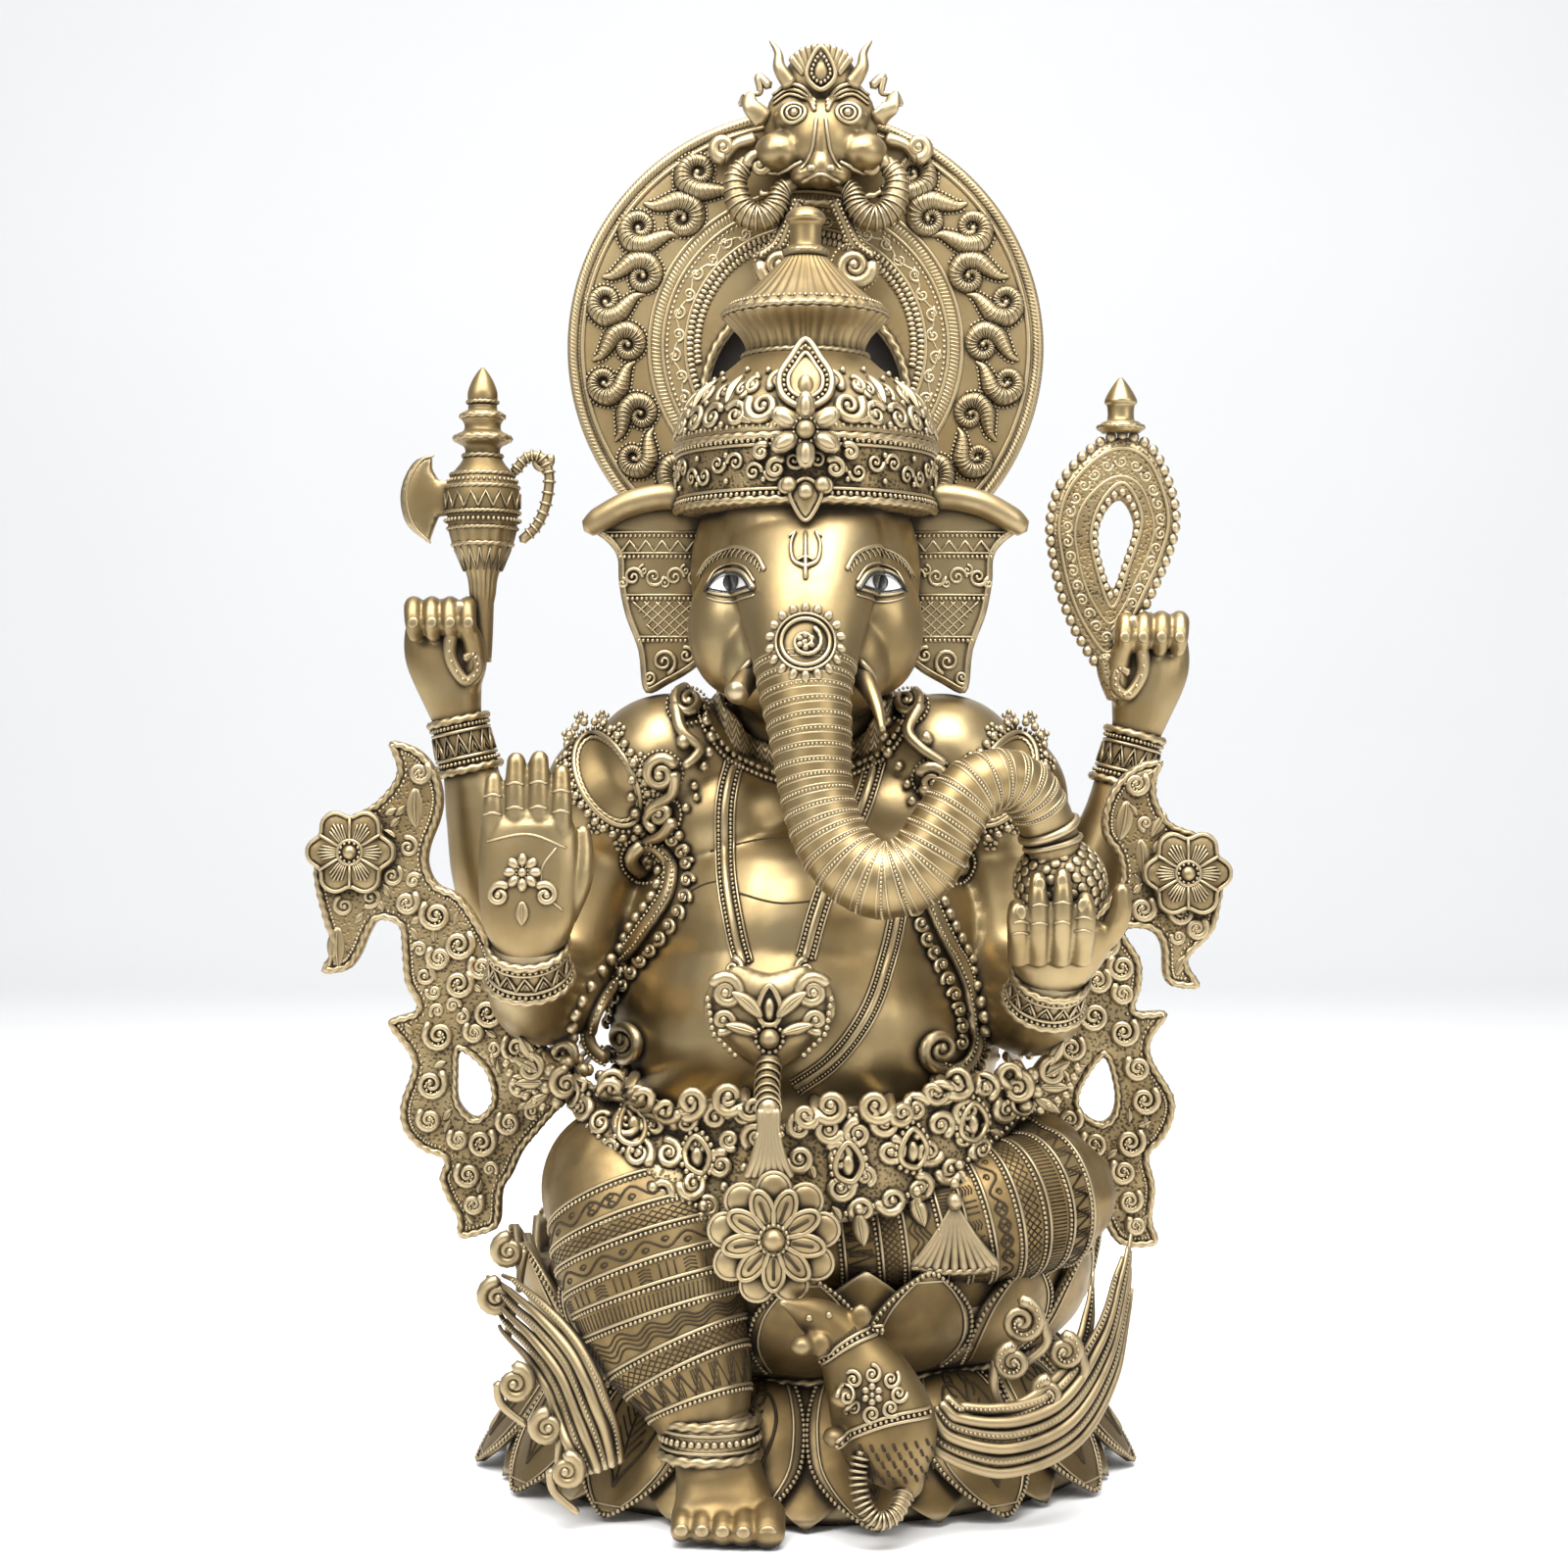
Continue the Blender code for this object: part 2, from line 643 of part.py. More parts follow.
def aureole():
    front = AUREOLE_BACK - AUREOLE_THICK
    outer = arc(AUREOLE_RADIUS, AUREOLE_CENTRE, -146, 146, 33)
    tabs = [(TAB_HALF, 582), (TAB_HALF, TAB_FOOT), (TAB_HALF - 24, TAB_FOOT), (TAB_HALF - 24, 560),
            (24 - TAB_HALF, 560), (24 - TAB_HALF, TAB_FOOT), (-TAB_HALF, TAB_FOOT), (-TAB_HALF, 582)]
    arch = arc(OPENING_RADIUS, 682, -100, 100, 17)
    opening = [*arch, (OPENING_RADIUS - 4, 600), (4 - OPENING_RADIUS, 600)]
    ring = plate("aureole", [*outer, *tabs], front, AUREOLE_THICK, holes=[opening], steps=1)
    pan_arch = arc(OPENING_RADIUS + 10, 682, -100, 100, 17)
    pan = plate("aureole_back_pan", [*pan_arch, (OPENING_RADIUS + 4, 592), (-OPENING_RADIUS - 4, 592)],
                AUREOLE_BACK + CLEARANCE, PAN_THICK, steps=1)
    return [finish(ring), finish(pan)]


def aureole_screws():
    made = []
    for name, side in (("right_aureole_bolt", -1), ("left_aureole_bolt", 1)):
        foot = (side * LUG_SPACING, AUREOLE_BACK + 5.5, LUG_HEIGHT)
        made.append(screw(name, foot, (0, -1, 0), 34))
    return made


def lion_mask():
    front = AUREOLE_BACK - AUREOLE_THICK
    outline = [
        (10, 914), (-6, 904), (-20, 906), (-24, 880), (-38, 868), (-42, 842), (-30, 824), (-14, 812),
        (10, 806), (34, 812), (50, 824), (62, 842), (58, 868), (44, 880), (40, 906), (26, 904),
    ]
    mask = plate("lion_mask", outline, front - 16, 16 - CLEARANCE, steps=1)
    for centre, radii in (
        ((-24, 42, 846), (20, 18, 15)), ((44, 42, 846), (20, 18, 15)), ((10, 38, 842), (17, 26, 30)),
        ((10, 42, 880), (27, 14, 22)),
    ):
        join(mask, ball("part", centre, radii, segments=8))
    for side in (-1, 1):
        scroll = [(10 + side * x, y, z, r, r) for x, y, z, r in (
            (22, 44, 818, 7), (34, 44, 800, 8), (28, 44, 782, 8), (42, 44, 782, 8), (52, 44, 804, 8),
        )]
        join(mask, limb("scroll", scroll, sides=6, steps=1, hint=(0, 1, 0)))
    return finish(mask)


# ---- arms and hands ------------------------------------------------------------------------------
def rear_arms():
    right = limb("right_rear_arm", [
        (-100, 22, 426, 30, 28), (-132, 18, 396, 31, 29), (-165, 6, 352, 31, 29), (-182, -2, 340, 30, 29),
        (-196, -6, 372, 27, 26), (-207, -8, 408, 22, 21), (-215, -10, 440, 17, 17),
    ], sides=10, steps=1, hint=(0, 1, 0))
    left = limb("left_rear_arm", [
        (100, 22, 426, 30, 28), (128, 18, 396, 30, 28), (156, 8, 362, 29, 27), (172, 0, 352, 28, 27),
        (184, -4, 380, 25, 24), (196, -7, 410, 20, 20), (204, -8, 430, 17, 17),
    ], sides=10, steps=1, hint=(0, 1, 0))
    cuffs = [
        limb("right_rear_cuff", [(-214, -10, 436, 20, 20), (-220, -11, 464, 18.5, 18.5)], sides=12,
             steps=1, round_ends=False),
        limb("left_rear_cuff", [(202, -8, 427, 20, 20), (209, -9, 455, 18.5, 18.5)], sides=12,
             steps=1, round_ends=False),
    ]
    return [finish(right), finish(left), *(finish(cuff) for cuff in cuffs)]


def fist(name, wrist, side):
    """A half-closed hand above its wrist. side is -1 for the figure's right hand."""
    x, y, z = wrist
    palm = limb(name, [
        (x, y, z, 14, 14), (x + side * 6, y - 2, z + 20, 22, 15), (x + side * 10, y - 2, z + 44, 25, 14),
        (x + side * 11, y - 2, z + 60, 24, 11),
    ], sides=10, steps=1)
    for k in range(4):
        fx = x + side * (24 - 11 * k)
        finger = limb("finger", [
            (fx, y - 2, z + 66, 6, 6), (fx, y - 15, z + 68, 6, 6),
            (fx - side * 2, y - 22, z + 58, 5.5, 5.5),
        ], sides=5, steps=1)
        join(palm, finger)
    thumb = limb("thumb", [
        (x - side * 8, y - 8, z + 22, 8, 8), (x - side * 14, y - 16, z + 42, 7, 7),
        (x - side * 10, y - 20, z + 60, 5.5, 5.5),
    ], sides=6, steps=1)
    return join(palm, thumb)


def front_arms():
    right = limb("right_front_arm", [
        (-104, -20, 426, 33, 31), (-128, -26, 392, 32, 30), (-146, -36, 345, 30, 30),
        (-156, -58, 305, 31, 31), (-160, -100, 300, 30, 29), (-162, -135, 312, 24, 23),
        (-162, -150, 322, 20, 19),
    ], sides=10, steps=1, hint=(1, 0, 0))
    left = limb("left_front_arm", [
        (104, -20, 426, 33, 31), (118, -26, 392, 32, 30), (126, -36, 345, 30, 30),
        (130, -56, 308, 31, 31), (136, -90, 292, 29, 29), (141, -118, 296, 24, 23),
        (143, -130, 303, 20, 19),
    ], sides=10, steps=1, hint=(1, 0, 0))
    cuffs = [
        limb("right_front_cuff", [(-162, -146, 316, 25, 24), (-162, -156, 330, 23, 22)], sides=12,
             steps=1, round_ends=False),
        limb("left_front_cuff", [(142, -124, 298, 24, 23), (144, -133, 310, 22, 21)], sides=12,
             steps=1, round_ends=False),
    ]
    return [finish(right), finish(left), *(finish(cuff) for cuff in cuffs)]


def blessing_hand():
    palm = limb("right_front_hand", [
        (-162, -159, 334, 21, 17), (-161, -163, 350, 28, 15), (-161, -164, 376, 29, 11),
        (-161, -163, 398, 27, 9),
    ], sides=10, steps=1)
    for x, top, radius in ((-182, 430, 6), (-168, 440, 6.8), (-153, 442, 6.8), (-140, 434, 6.2)):
        finger = limb("finger", [
            (x, -163, 394, radius, radius), (x, -163, (394 + top) / 2, radius, radius),
            (x, -162, top, radius - 1.5, radius - 1.5),
        ], sides=5, steps=1)
        join(palm, finger)
    thumb = limb("thumb", [(-138, -156, 352, 8, 8), (-131, -154, 376, 7, 7), (-130, -153, 396, 5, 5)],
                 sides=6, steps=1)
    return join(palm, thumb)


def offering_hand():
    palm = limb("left_front_hand", [
        (144, -136, 313, 20, 18), (147, -142, 328, 28, 19), (150, -142, 344, 30, 20),
    ], sides=10, steps=1)
    for x, top in ((124, 352), (134, 366), (147, 366), (158, 352)):
        finger = limb("finger", [
            (x, -160, 330, 6.5, 6.5), (x, -168, 346, 6, 6), (x + 1, -163, top, 4.5, 4.5),
        ], sides=5, steps=1)
        join(palm, finger)
    thumb = limb("thumb", [(168, -142, 332, 8, 8), (180, -144, 346, 7, 7), (186, -146, 360, 6, 6)],
                 sides=6, steps=1)
    return join(palm, thumb)


# ---- what the hands hold -------------------------------------------------------------------------
EWER_AXIS = (-204, -20)


def ewer():
    pot = turned("ewer", [
        (6, 500), (7, 520), (8, 546), (10, 560), (18, 574), (22, 592), (23, 608), (18, 622),
        (12, 634), (16, 642), (15, 647), (12, 655), (9, 664),
    ], EWER_AXIS, segments=12)
    finial = turned("ewer_finial", [(9, 664 + CLEARANCE), (9, 672), (6, 680), (1.5, 688)], EWER_AXIS,
                    segments=12)
    handle = limb("ewer_handle", [
        (-182, -20, 622, 4, 4), (-172, -20, 632, 4, 4), (-163, -20, 620, 4, 4), (-166, -20, 596, 4, 4),
        (-177, -20, 578, 4, 4),
    ], sides=6, steps=1, hint=(0, 1, 0))
    blade = plate("axe_blade", [
        (-222, 618), (-232, 620), (-236, 632), (-246, 629), (-256, 608), (-252, 588), (-238, 577),
        (-234, 588), (-222, 592),
    ], -23, 6, steps=1)
    return [finish(piece) for piece in (pot, finial, handle, blade)]


def noose():
    outline = [
        (200, 646), (180, 638), (160, 617), (152, 592), (154, 567), (161, 536), (172, 512), (188, 494),
        (202, 509), (215, 536), (229, 567), (235, 592), (230, 617), (219, 638),
    ]
    eye = [(199, 604), (189, 596), (184, 580), (188, 560), (194, 548), (201, 566), (207, 588)]
    loop = plate("noose", outline, -26, 9, holes=[eye], steps=1)
    tail = limb("tail", [(190, -21, 504, 7, 4), (196, -20, 480, 6, 6)], sides=8, steps=1)
    join(loop, tail)
    finial = turned("noose_finial", [(13, 646 + CLEARANCE), (14, 652), (9, 655), (9, 664), (10, 668),
                                     (1.5, 682)], (199, -21), segments=12)
    return [finish(loop), finish(finial)]


def sweet():
    return finish(ball("sweet_ball", (150, -138, 366), (SWEET_RADIUS,) * 3, segments=14))


# ---- side brackets -------------------------------------------------------------------------------
RIGHT_BRACKET = [
    (-257, 451), (-252, 432), (-266, 413), (-290, 400), (-302, 382), (-303, 364), (-297, 339),
    (-292, 324), (-299, 309), (-283, 310), (-275, 319), (-269, 333), (-263, 341), (-251, 337),
    (-249, 322), (-247, 302), (-240, 286), (-258, 278), (-245, 259), (-243, 248), (-250, 227),
    (-248, 211), (-237, 199), (-223, 193), (-226, 182), (-221, 168), (-215, 157), (-214, 145),
    (-200, 147), (-189, 153), (-187, 174), (-181, 184), (-174, 199), (-160, 216), (-142, 240),
    (-160, 262), (-183, 298), (-195, 328), (-212, 355), (-227, 363), (-233, 375), (-232, 387),
    (-226, 403), (-224, 418), (-229, 435), (-240, 447),
]
RIGHT_HOLE = [(-213, 260), (-215, 245), (-214, 229), (-204, 219), (-194, 228), (-194, 239), (-199, 250)]
LEFT_BRACKET = [
    (221, 439), (207, 438), (192, 426), (184, 410), (184, 393), (192, 381), (194, 366), (186, 353),
    (176, 341), (169, 319), (160, 279), (150, 262), (138, 240), (153, 201), (172, 182), (186, 151),
    (194, 141), (209, 139), (218, 143), (214, 156), (216, 176), (212, 195), (220, 204), (227, 218),
    (227, 233), (214, 255), (214, 268), (224, 284), (204, 285), (207, 299), (207, 316), (197, 333),
    (205, 336), (215, 333), (220, 324), (221, 307), (227, 300), (244, 300), (236, 316), (251, 333),
    (256, 350), (258, 372), (246, 392), (226, 401), (217, 416), (217, 429),
]
LEFT_HOLE = [(184, 256), (170, 237), (170, 224), (182, 216), (190, 222), (191, 237)]
RIGHT_FLOWER, LEFT_FLOWER, FLOWER_RADIUS = (-280, 383), (235, 370), 28.5


def scalloped(centre, radius, petals, depth, turn=0.0):
    """A flower's outline."""
    count = 4 * petals
    points = []
    for k in range(count):
        angle = TURN * k / count
        r = radius * (1 - depth * (0.5 - 0.5 * math.cos(petals * angle + turn)))
        points.append((centre[0] + r * math.sin(angle), centre[1] + r * math.cos(angle)))
    return points


def brackets():
    made = [
        plate("right_bracket", RIGHT_BRACKET, BRACKET_FRONT, BRACKET_THICK, [RIGHT_HOLE], steps=1),
        plate("left_bracket", LEFT_BRACKET, BRACKET_FRONT, BRACKET_THICK, [LEFT_HOLE], steps=1),
    ]
    front = BRACKET_FRONT - CLEARANCE - 6
    for name, centre in (("right_flower", RIGHT_FLOWER), ("left_flower", LEFT_FLOWER)):
        flower = plate(name, scalloped(centre, FLOWER_RADIUS, 6, 0.16), front, 6, steps=1)
        knob = ball("knob", (centre[0], front, centre[1]), (8, 5, 8), segments=8)
        made.append(join(flower, knob))
    return [finish(piece) for piece in made]


# ---- dress ---------------------------------------------------------------------------------------
def dress():
    belt = limb("belt", [
        (-158, -62, 254, 13, 8), (-128, -112, 240, 22, 8), (-84, -156, 214, 30, 8), (-18, -180, 206, 34, 9),
        (46, -172, 208, 32, 8), (96, -136, 224, 26, 8), (138, -88, 244, 14, 8),
    ], sides=8, steps=2, hint=(0, 0, 1))
    flower = plate("belt_flower", scalloped((-18, 168), 37, 8, 0.12), -206, 14, steps=1)
    join(flower, ball("boss", (-18, -206, 168), (9, 8, 9), segments=10))
    brooch = plate("navel_brooch", [
        (-21, 316), (-40, 318), (-57, 306), (-60, 288), (-48, 272), (-34, 262), (-28, 244), (-32, 210),
        (-19, 202), (-6, 210), (-14, 244), (-8, 262), (8, 272), (18, 288), (16, 306), (0, 318),
    ], -166, 26, steps=1)
    garlands = [
        limb("right_garland", [
            (-72, -52, 468, 15, 6), (-86, -54, 440, 16, 7), (-90, -62, 408, 15, 7), (-84, -78, 384, 14, 7),
            (-97, -84, 362, 13, 7), (-108, -84, 336, 13, 7), (-122, -80, 308, 13, 7),
            (-127, -84, 284, 12, 6),
        ], sides=8, steps=1),
        limb("left_garland", [
            (68, -52, 468, 15, 6), (80, -54, 440, 16, 7), (74, -64, 408, 15, 7), (74, -84, 380, 14, 7),
            (82, -94, 352, 13, 7), (96, -94, 326, 13, 7), (106, -92, 298, 13, 7),
            (106, -96, 276, 12, 6),
        ], sides=8, steps=1),
    ]
    collar = limb("collar", [
        (-52, -36, 474, 9, 6), (-46, -56, 456, 10, 6), (-26, -76, 440, 10, 6), (0, -84, 434, 11, 6),
        (26, -76, 440, 10, 6), (46, -56, 456, 10, 6), (52, -36, 474, 9, 6),
    ], sides=6, steps=2, hint=(0, 0, 1))
    return [finish(piece) for piece in (belt, brooch, flower, *garlands, collar)]


def sashes():
    left = limb("left_sash", [
        (84, -206, 62, 12, 6), (116, -200, 58, 15, 6), (148, -182, 68, 17, 6), (172, -160, 96, 18, 5),
        (186, -138, 132, 14, 5), (192, -126, 156, 6, 4),
    ], sides=8, steps=1, hint=(0, 0, 1))
    right = limb("right_sash", [
        (-114, -186, 40, 12, 6), (-124, -184, 66, 16, 7), (-134, -176, 88, 18, 8), (-152, -160, 108, 20, 8),
        (-172, -138, 118, 18, 7), (-186, -118, 128, 12, 5),
    ], sides=8, steps=1, hint=(0, 0, 1))
    return finish(right), finish(left)


def mouse():
    body = limb("mouse", [
        (-13, -222, 137, 1.5, 1.5), (0, -214, 130, 8, 7), (14, -208, 120, 15, 13), (25, -206, 106, 19, 17),
        (36, -208, 86, 26, 22), (45, -212, 64, 29, 23), (52, -215, 46, 23, 19), (57, -218, 32, 12, 10),
    ], sides=12, steps=1, hint=(1, 0, 0.3))
    for centre in ((2, -212, 138), (26, -214, 132)):
        join(body, ball("ear", centre, (8, 4, 8), segments=6))
    tail = limb("tail", [
        (54, -222, 34, 5, 5), (48, -232, 22, 5, 5), (37, -234, 22, 4.5, 4.5), (32, -230, 36, 4, 4),
        (30, -224, 52, 3.5, 3.5),
    ], sides=6, steps=1, hint=(0, 1, 0))
    return finish(join(body, tail))


def bolt_up(screws):
    """Fits screws: each makes its own hole through what it joins."""
    for piece in screws:
        for other in built:
            cut_round(other, piece, BOLT_HOLE_GAP)
        built.append(piece)


def main():
    for obj in list(bpy.data.objects):
        bpy.data.objects.remove(obj)
    base()
    torso()
    legs()
    head()
    trunk()
    tusks()
    eyes()
    crown()
    front_arms()
    sweet()
    finish(blessing_hand())
    finish(offering_hand())
    rear_arms()
    ewer()
    noose()
    finish(fist("right_rear_hand", (-220, -11, 466), -1))
    finish(fist("left_rear_hand", (209, -9, 457), 1))
    ears()
    dress()
    brackets()
    aureole()
    lion_mask()
    mouse()
    sashes()
    bolt_up([*base_screws(), *aureole_screws()])
    frame = bpy.data.objects.new("figure_frame", None)
    bpy.context.scene.collection.objects.link(frame)
    for obj in built:
        coat(obj)
        obj.parent = frame
    boxes = [reach(obj.data) for obj in built]
    for axis in (0, 1):
        low, high = min(box[0][axis] for box in boxes), max(box[1][axis] for box in boxes)
        frame.location[axis] = -(low + high) / 2
    frame.location.z = -min(box[0][2] for box in boxes)


main()
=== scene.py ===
"""Cast and chased brass finishes for a seated, elephant-headed temple figure.

Pieces are laid out in the figure's own millimetres: x across, y backwards, z up from the floor,
with the figure's middle at x = 0 and the lotus base's axis at y = 0.
"""

import math
import random

import bmesh
import bpy
import numpy as np
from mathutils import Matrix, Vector
from mathutils.bvhtree import BVHTree


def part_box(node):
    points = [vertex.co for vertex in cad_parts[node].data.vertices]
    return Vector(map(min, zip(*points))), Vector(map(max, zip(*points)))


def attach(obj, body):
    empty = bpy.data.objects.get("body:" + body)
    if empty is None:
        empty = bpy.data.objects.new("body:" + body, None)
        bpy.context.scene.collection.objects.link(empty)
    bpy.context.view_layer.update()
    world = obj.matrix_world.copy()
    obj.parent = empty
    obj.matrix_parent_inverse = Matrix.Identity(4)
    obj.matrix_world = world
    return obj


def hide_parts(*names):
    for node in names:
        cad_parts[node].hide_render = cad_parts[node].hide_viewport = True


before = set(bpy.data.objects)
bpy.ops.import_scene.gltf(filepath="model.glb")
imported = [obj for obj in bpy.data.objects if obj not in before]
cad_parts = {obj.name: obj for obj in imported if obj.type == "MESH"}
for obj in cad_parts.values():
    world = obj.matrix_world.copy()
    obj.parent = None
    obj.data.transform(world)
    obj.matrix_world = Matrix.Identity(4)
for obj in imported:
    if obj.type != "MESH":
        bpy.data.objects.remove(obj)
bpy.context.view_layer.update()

DRAWN_HEIGHT = 914.0
TURN = 2 * math.pi
HEAD_BOX, BASE_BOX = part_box("head"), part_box("lotus_lower_ring")
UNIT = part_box("lion_mask")[1].z / DRAWN_HEIGHT
ORIGIN = np.array([
    (HEAD_BOX[0].x + HEAD_BOX[1].x) / 2,
    (BASE_BOX[0].y + BASE_BOX[1].y) / 2,
    0.0,
])


# ---- shader maths ----------------------------------------------------------------------------
class Value:
    """A number or colour inside a material, which the usual operators build on."""

    def __init__(self, maker, socket):
        self.maker, self.socket = maker, socket

    def __add__(self, other):
        return self.maker.math("ADD", self, other)

    __radd__ = __add__

    def __sub__(self, other):
        return self.maker.math("SUBTRACT", self, other)

    def __rsub__(self, other):
        return self.maker.math("SUBTRACT", other, self)

    def __mul__(self, other):
        return self.maker.math("MULTIPLY", self, other)

    __rmul__ = __mul__


class Maker:
    """One material under construction."""

    def __init__(self, name):
        self.material = bpy.data.materials.new(name)
        self.material.use_nodes = True
        self.tree = self.material.node_tree
        self.shader = self.tree.nodes["Principled BSDF"]

    def node(self, kind, settings=None, values=None, out=0):
        made = self.tree.nodes.new("ShaderNode" + kind)
        for key, setting in (settings or {}).items():
            setattr(made, key, setting)
        for key, value in (values or {}).items():
            self.put(value, made.inputs[key])
        return Value(self, made.outputs[out])

    def put(self, value, socket):
        if isinstance(value, Value):
            self.tree.links.new(value.socket, socket)
        else:
            socket.default_value = value

    def math(self, operation, *values):
        return self.node("Math", {"operation": operation}, dict(enumerate(values)))

    def clamp(self, value):
        return self.node("Clamp", None, {"Value": value})

    def ramp(self, value, low, high):
        """0 at low and 1 at high, smoothly between."""
        return self.node("MapRange", {"interpolation_type": "SMOOTHSTEP"}, {0: value, 1: low, 2: high})

    def mix(self, share, first, second):
        made = self.tree.nodes.new("ShaderNodeMix")
        made.data_type = "RGBA"
        self.put(share, made.inputs[0])
        self.put(first, made.inputs[6])
        self.put(second, made.inputs[7])
        return Value(self, made.outputs[2])

    def noise(self, scale, detail):
        return self.node("TexNoise", None, {"Scale": scale, "Detail": detail, "Vector": self.place()})

    def place(self):
        return self.node("TexCoord", None, None, out="Object")

    def parts(self, vector):
        made = self.tree.nodes.new("ShaderNodeSeparateXYZ")
        self.put(vector, made.inputs[0])
        return [Value(self, output) for output in made.outputs]

    def wave(self, value, pitch):
        """Runs from 0 to 1 and back over each pitch."""
        return self.math("SINE", value * (TURN / pitch)) * 0.5 + 0.5


GOLD = (0.385, 0.295, 0.155, 1)
# The pale brass colour of worn high spots, also used as a painted highlight on sharp edges.
PALE_WEAR_AND_HIGHLIGHT = (0.585, 0.485, 0.315, 1)
BROWN = (0.27, 0.195, 0.092, 1)
PATINA = (0.026, 0.016, 0.006, 1)


def brass(name, colour=GOLD, shade=0.5, engraving=None, depth=1.0, reach=0.010, polish=0.27):
    """Aged cast brass: light where it is worn smooth, with a highlight painted on its sharp edges, and dark
    brown in the hollows.
    engraving(maker) gives its raised pattern, from 0 to 1."""
    m = Maker(name)
    cloudy = m.noise(16.0, 4.0)
    blotches = m.noise(55.0, 3.0)
    grain = m.noise(700.0, 4.0)
    occlusion = m.node("AmbientOcclusion", {"samples": 8}, {"Distance": reach * UNIT * 1000}, out="AO")
    sheltered = m.ramp(occlusion, 0.96, 0.42)
    # Sharp convex edges turn pale and lose patina: partly worn brass, partly a painted highlight.
    sharp = m.node("NewGeometry", None, None, out="Pointiness")
    rubbed_and_highlight = m.ramp(sharp, 0.50, 0.60)
    grime = m.ramp(blotches + cloudy * 0.6, 0.62, 1.05) * shade
    dirt = m.clamp(sheltered * (0.75 + shade * 0.5) + grime * 0.55 - rubbed_and_highlight * 0.35)
    height = grain * 0.06 + blotches * 0.10
    if engraving is not None:
        raised = engraving(m)
        dirt = m.clamp(dirt + (1.0 - raised) * 0.62)
        height = height + raised
    tarnish = m.noise(7.0, 3.0)
    warm = m.mix(m.ramp(cloudy, 0.35, 0.65), colour, tuple(c * s for c,
                                                           s in zip(colour, (0.84, 0.78, 0.68, 1))))
    warm = m.mix(m.ramp(tarnish, 0.46, 0.66) * 0.6, warm, tuple(c * s for c,
                                                                s in zip(colour, (0.52, 0.47, 0.38, 1))))
    # Paints the pale highlight, together with worn brass, onto sharp edges.
    wear_and_highlight_tone = m.mix(rubbed_and_highlight * 0.6, warm, PALE_WEAR_AND_HIGHLIGHT)
    m.put(m.mix(dirt, wear_and_highlight_tone, PATINA), m.shader.inputs["Base Color"])
    m.put(m.clamp(1.0 - dirt * 0.55), m.shader.inputs["Metallic"])
    m.put(m.clamp(polish + dirt * 0.35 + grain * 0.10 + cloudy * 0.08 + tarnish * 0.12),
          m.shader.inputs["Roughness"])
    bump = m.node("Bump", None, {"Strength": 0.55, "Distance": 0.0011 * depth, "Height": height},
                  out="Normal")
    m.put(bump, m.shader.inputs["Normal"])
    return m.material


# ---- mesh tools ------------------------------------------------------------------------------
class Work:
    """Plain shapes gathered into one mesh, in figure millimetres."""

    def __init__(self):
        self.points, self.faces, self.count = [], [], 0

    def add(self, points, faces):
        self.points.append(np.asarray(points, float))
        self.faces += [tuple(k + self.count for k in face) for face in faces]
        self.count += len(points)
        return self

    def build(self, name, finish, *nodes):
        points = np.concatenate(self.points) * UNIT + ORIGIN
        mesh = bpy.data.meshes.new(name)
        mesh.from_pydata(points.tolist(), [], self.faces)
        mesh.materials.append(finish)
        bm = bmesh.new()
        bm.from_mesh(mesh)
        bmesh.ops.recalc_face_normals(bm, faces=bm.faces)
        bm.to_mesh(mesh)
        bm.free()
        mesh.shade_smooth()
        obj = bpy.data.objects.new(name, mesh)
        bpy.context.scene.collection.objects.link(obj)
        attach(obj, "root")
        if nodes:
            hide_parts(*nodes)
        return obj


def apply_modifiers(obj):
    bpy.ops.object.select_all(action="DESELECT")
    bpy.context.view_layer.objects.active = obj
    obj.select_set(True)
    for step in list(obj.modifiers):
        bpy.ops.object.modifier_apply(modifier=step.name)
    return obj


def fuse(obj, cell, passes=6, factor=0.5):
    """Melts a gathered mesh into one smooth skin."""
    step = obj.modifiers.new("skin", "REMESH")
    step.mode, step.voxel_size, step.use_smooth_shade = "VOXEL", cell * UNIT, True
    relax = obj.modifiers.new("relax", "SMOOTH")
    relax.iterations, relax.factor = passes, factor
    apply_modifiers(obj)
    obj.data.shade_smooth()
    return obj


def circle(count):
    """Equal angles round a full turn."""
    return np.arange(count) * TURN / count


def unit(vectors):
    """The same directions, one millimetre long."""
    return vectors / (np.linalg.norm(vectors, axis=-1, keepdims=True) + 1e-12)


def mirrored(side, *places):
    """Places whose x is turned to one side, 1 or -1."""
    return [(side * x, *rest) for x, *rest in places]


def grown(outline, centre, scale):
    """An outline scaled about a centre."""
    return (outline - centre) * scale + centre


def oval(centre, wide, tall, count):
    """Points round an ellipse."""
    a = circle(count)
    return np.stack([centre[0] + wide * np.cos(a), centre[1] + tall * np.sin(a)], axis=1)


def hoop(centre, across, deep, wide, thick, count):
    """Points round an ellipse in space, whose axes lie along across and deep."""
    a = circle(count)
    return centre + np.outer(np.cos(a), across) * wide + np.outer(np.sin(a), deep) * thick


def fade(count, places, values):
    """Values that run along a line of count points, given at places from 0 to 1."""
    return np.interp(np.linspace(0, 1, count), places, values)


def wall(rings, sides, closed=False):
    """The faces between equal rings of points that follow one another."""
    faces = []
    for i in range(rings if closed else rings - 1):
        a, b = i * sides, ((i + 1) % rings) * sides
        for k in range(sides):
            j = (k + 1) % sides
            faces.append((a + k, a + j, b + j, b + k))
    return faces


def catmull(a, b, c, d, t):
    """The curve from b to c, with a before it and d after it."""
    return 0.5 * (2 * b + (c - a) * t + (2 * a - 5 * b + 4 * c - d) * t**2 + (3 * b - a - 3 * c + d) * t**3)


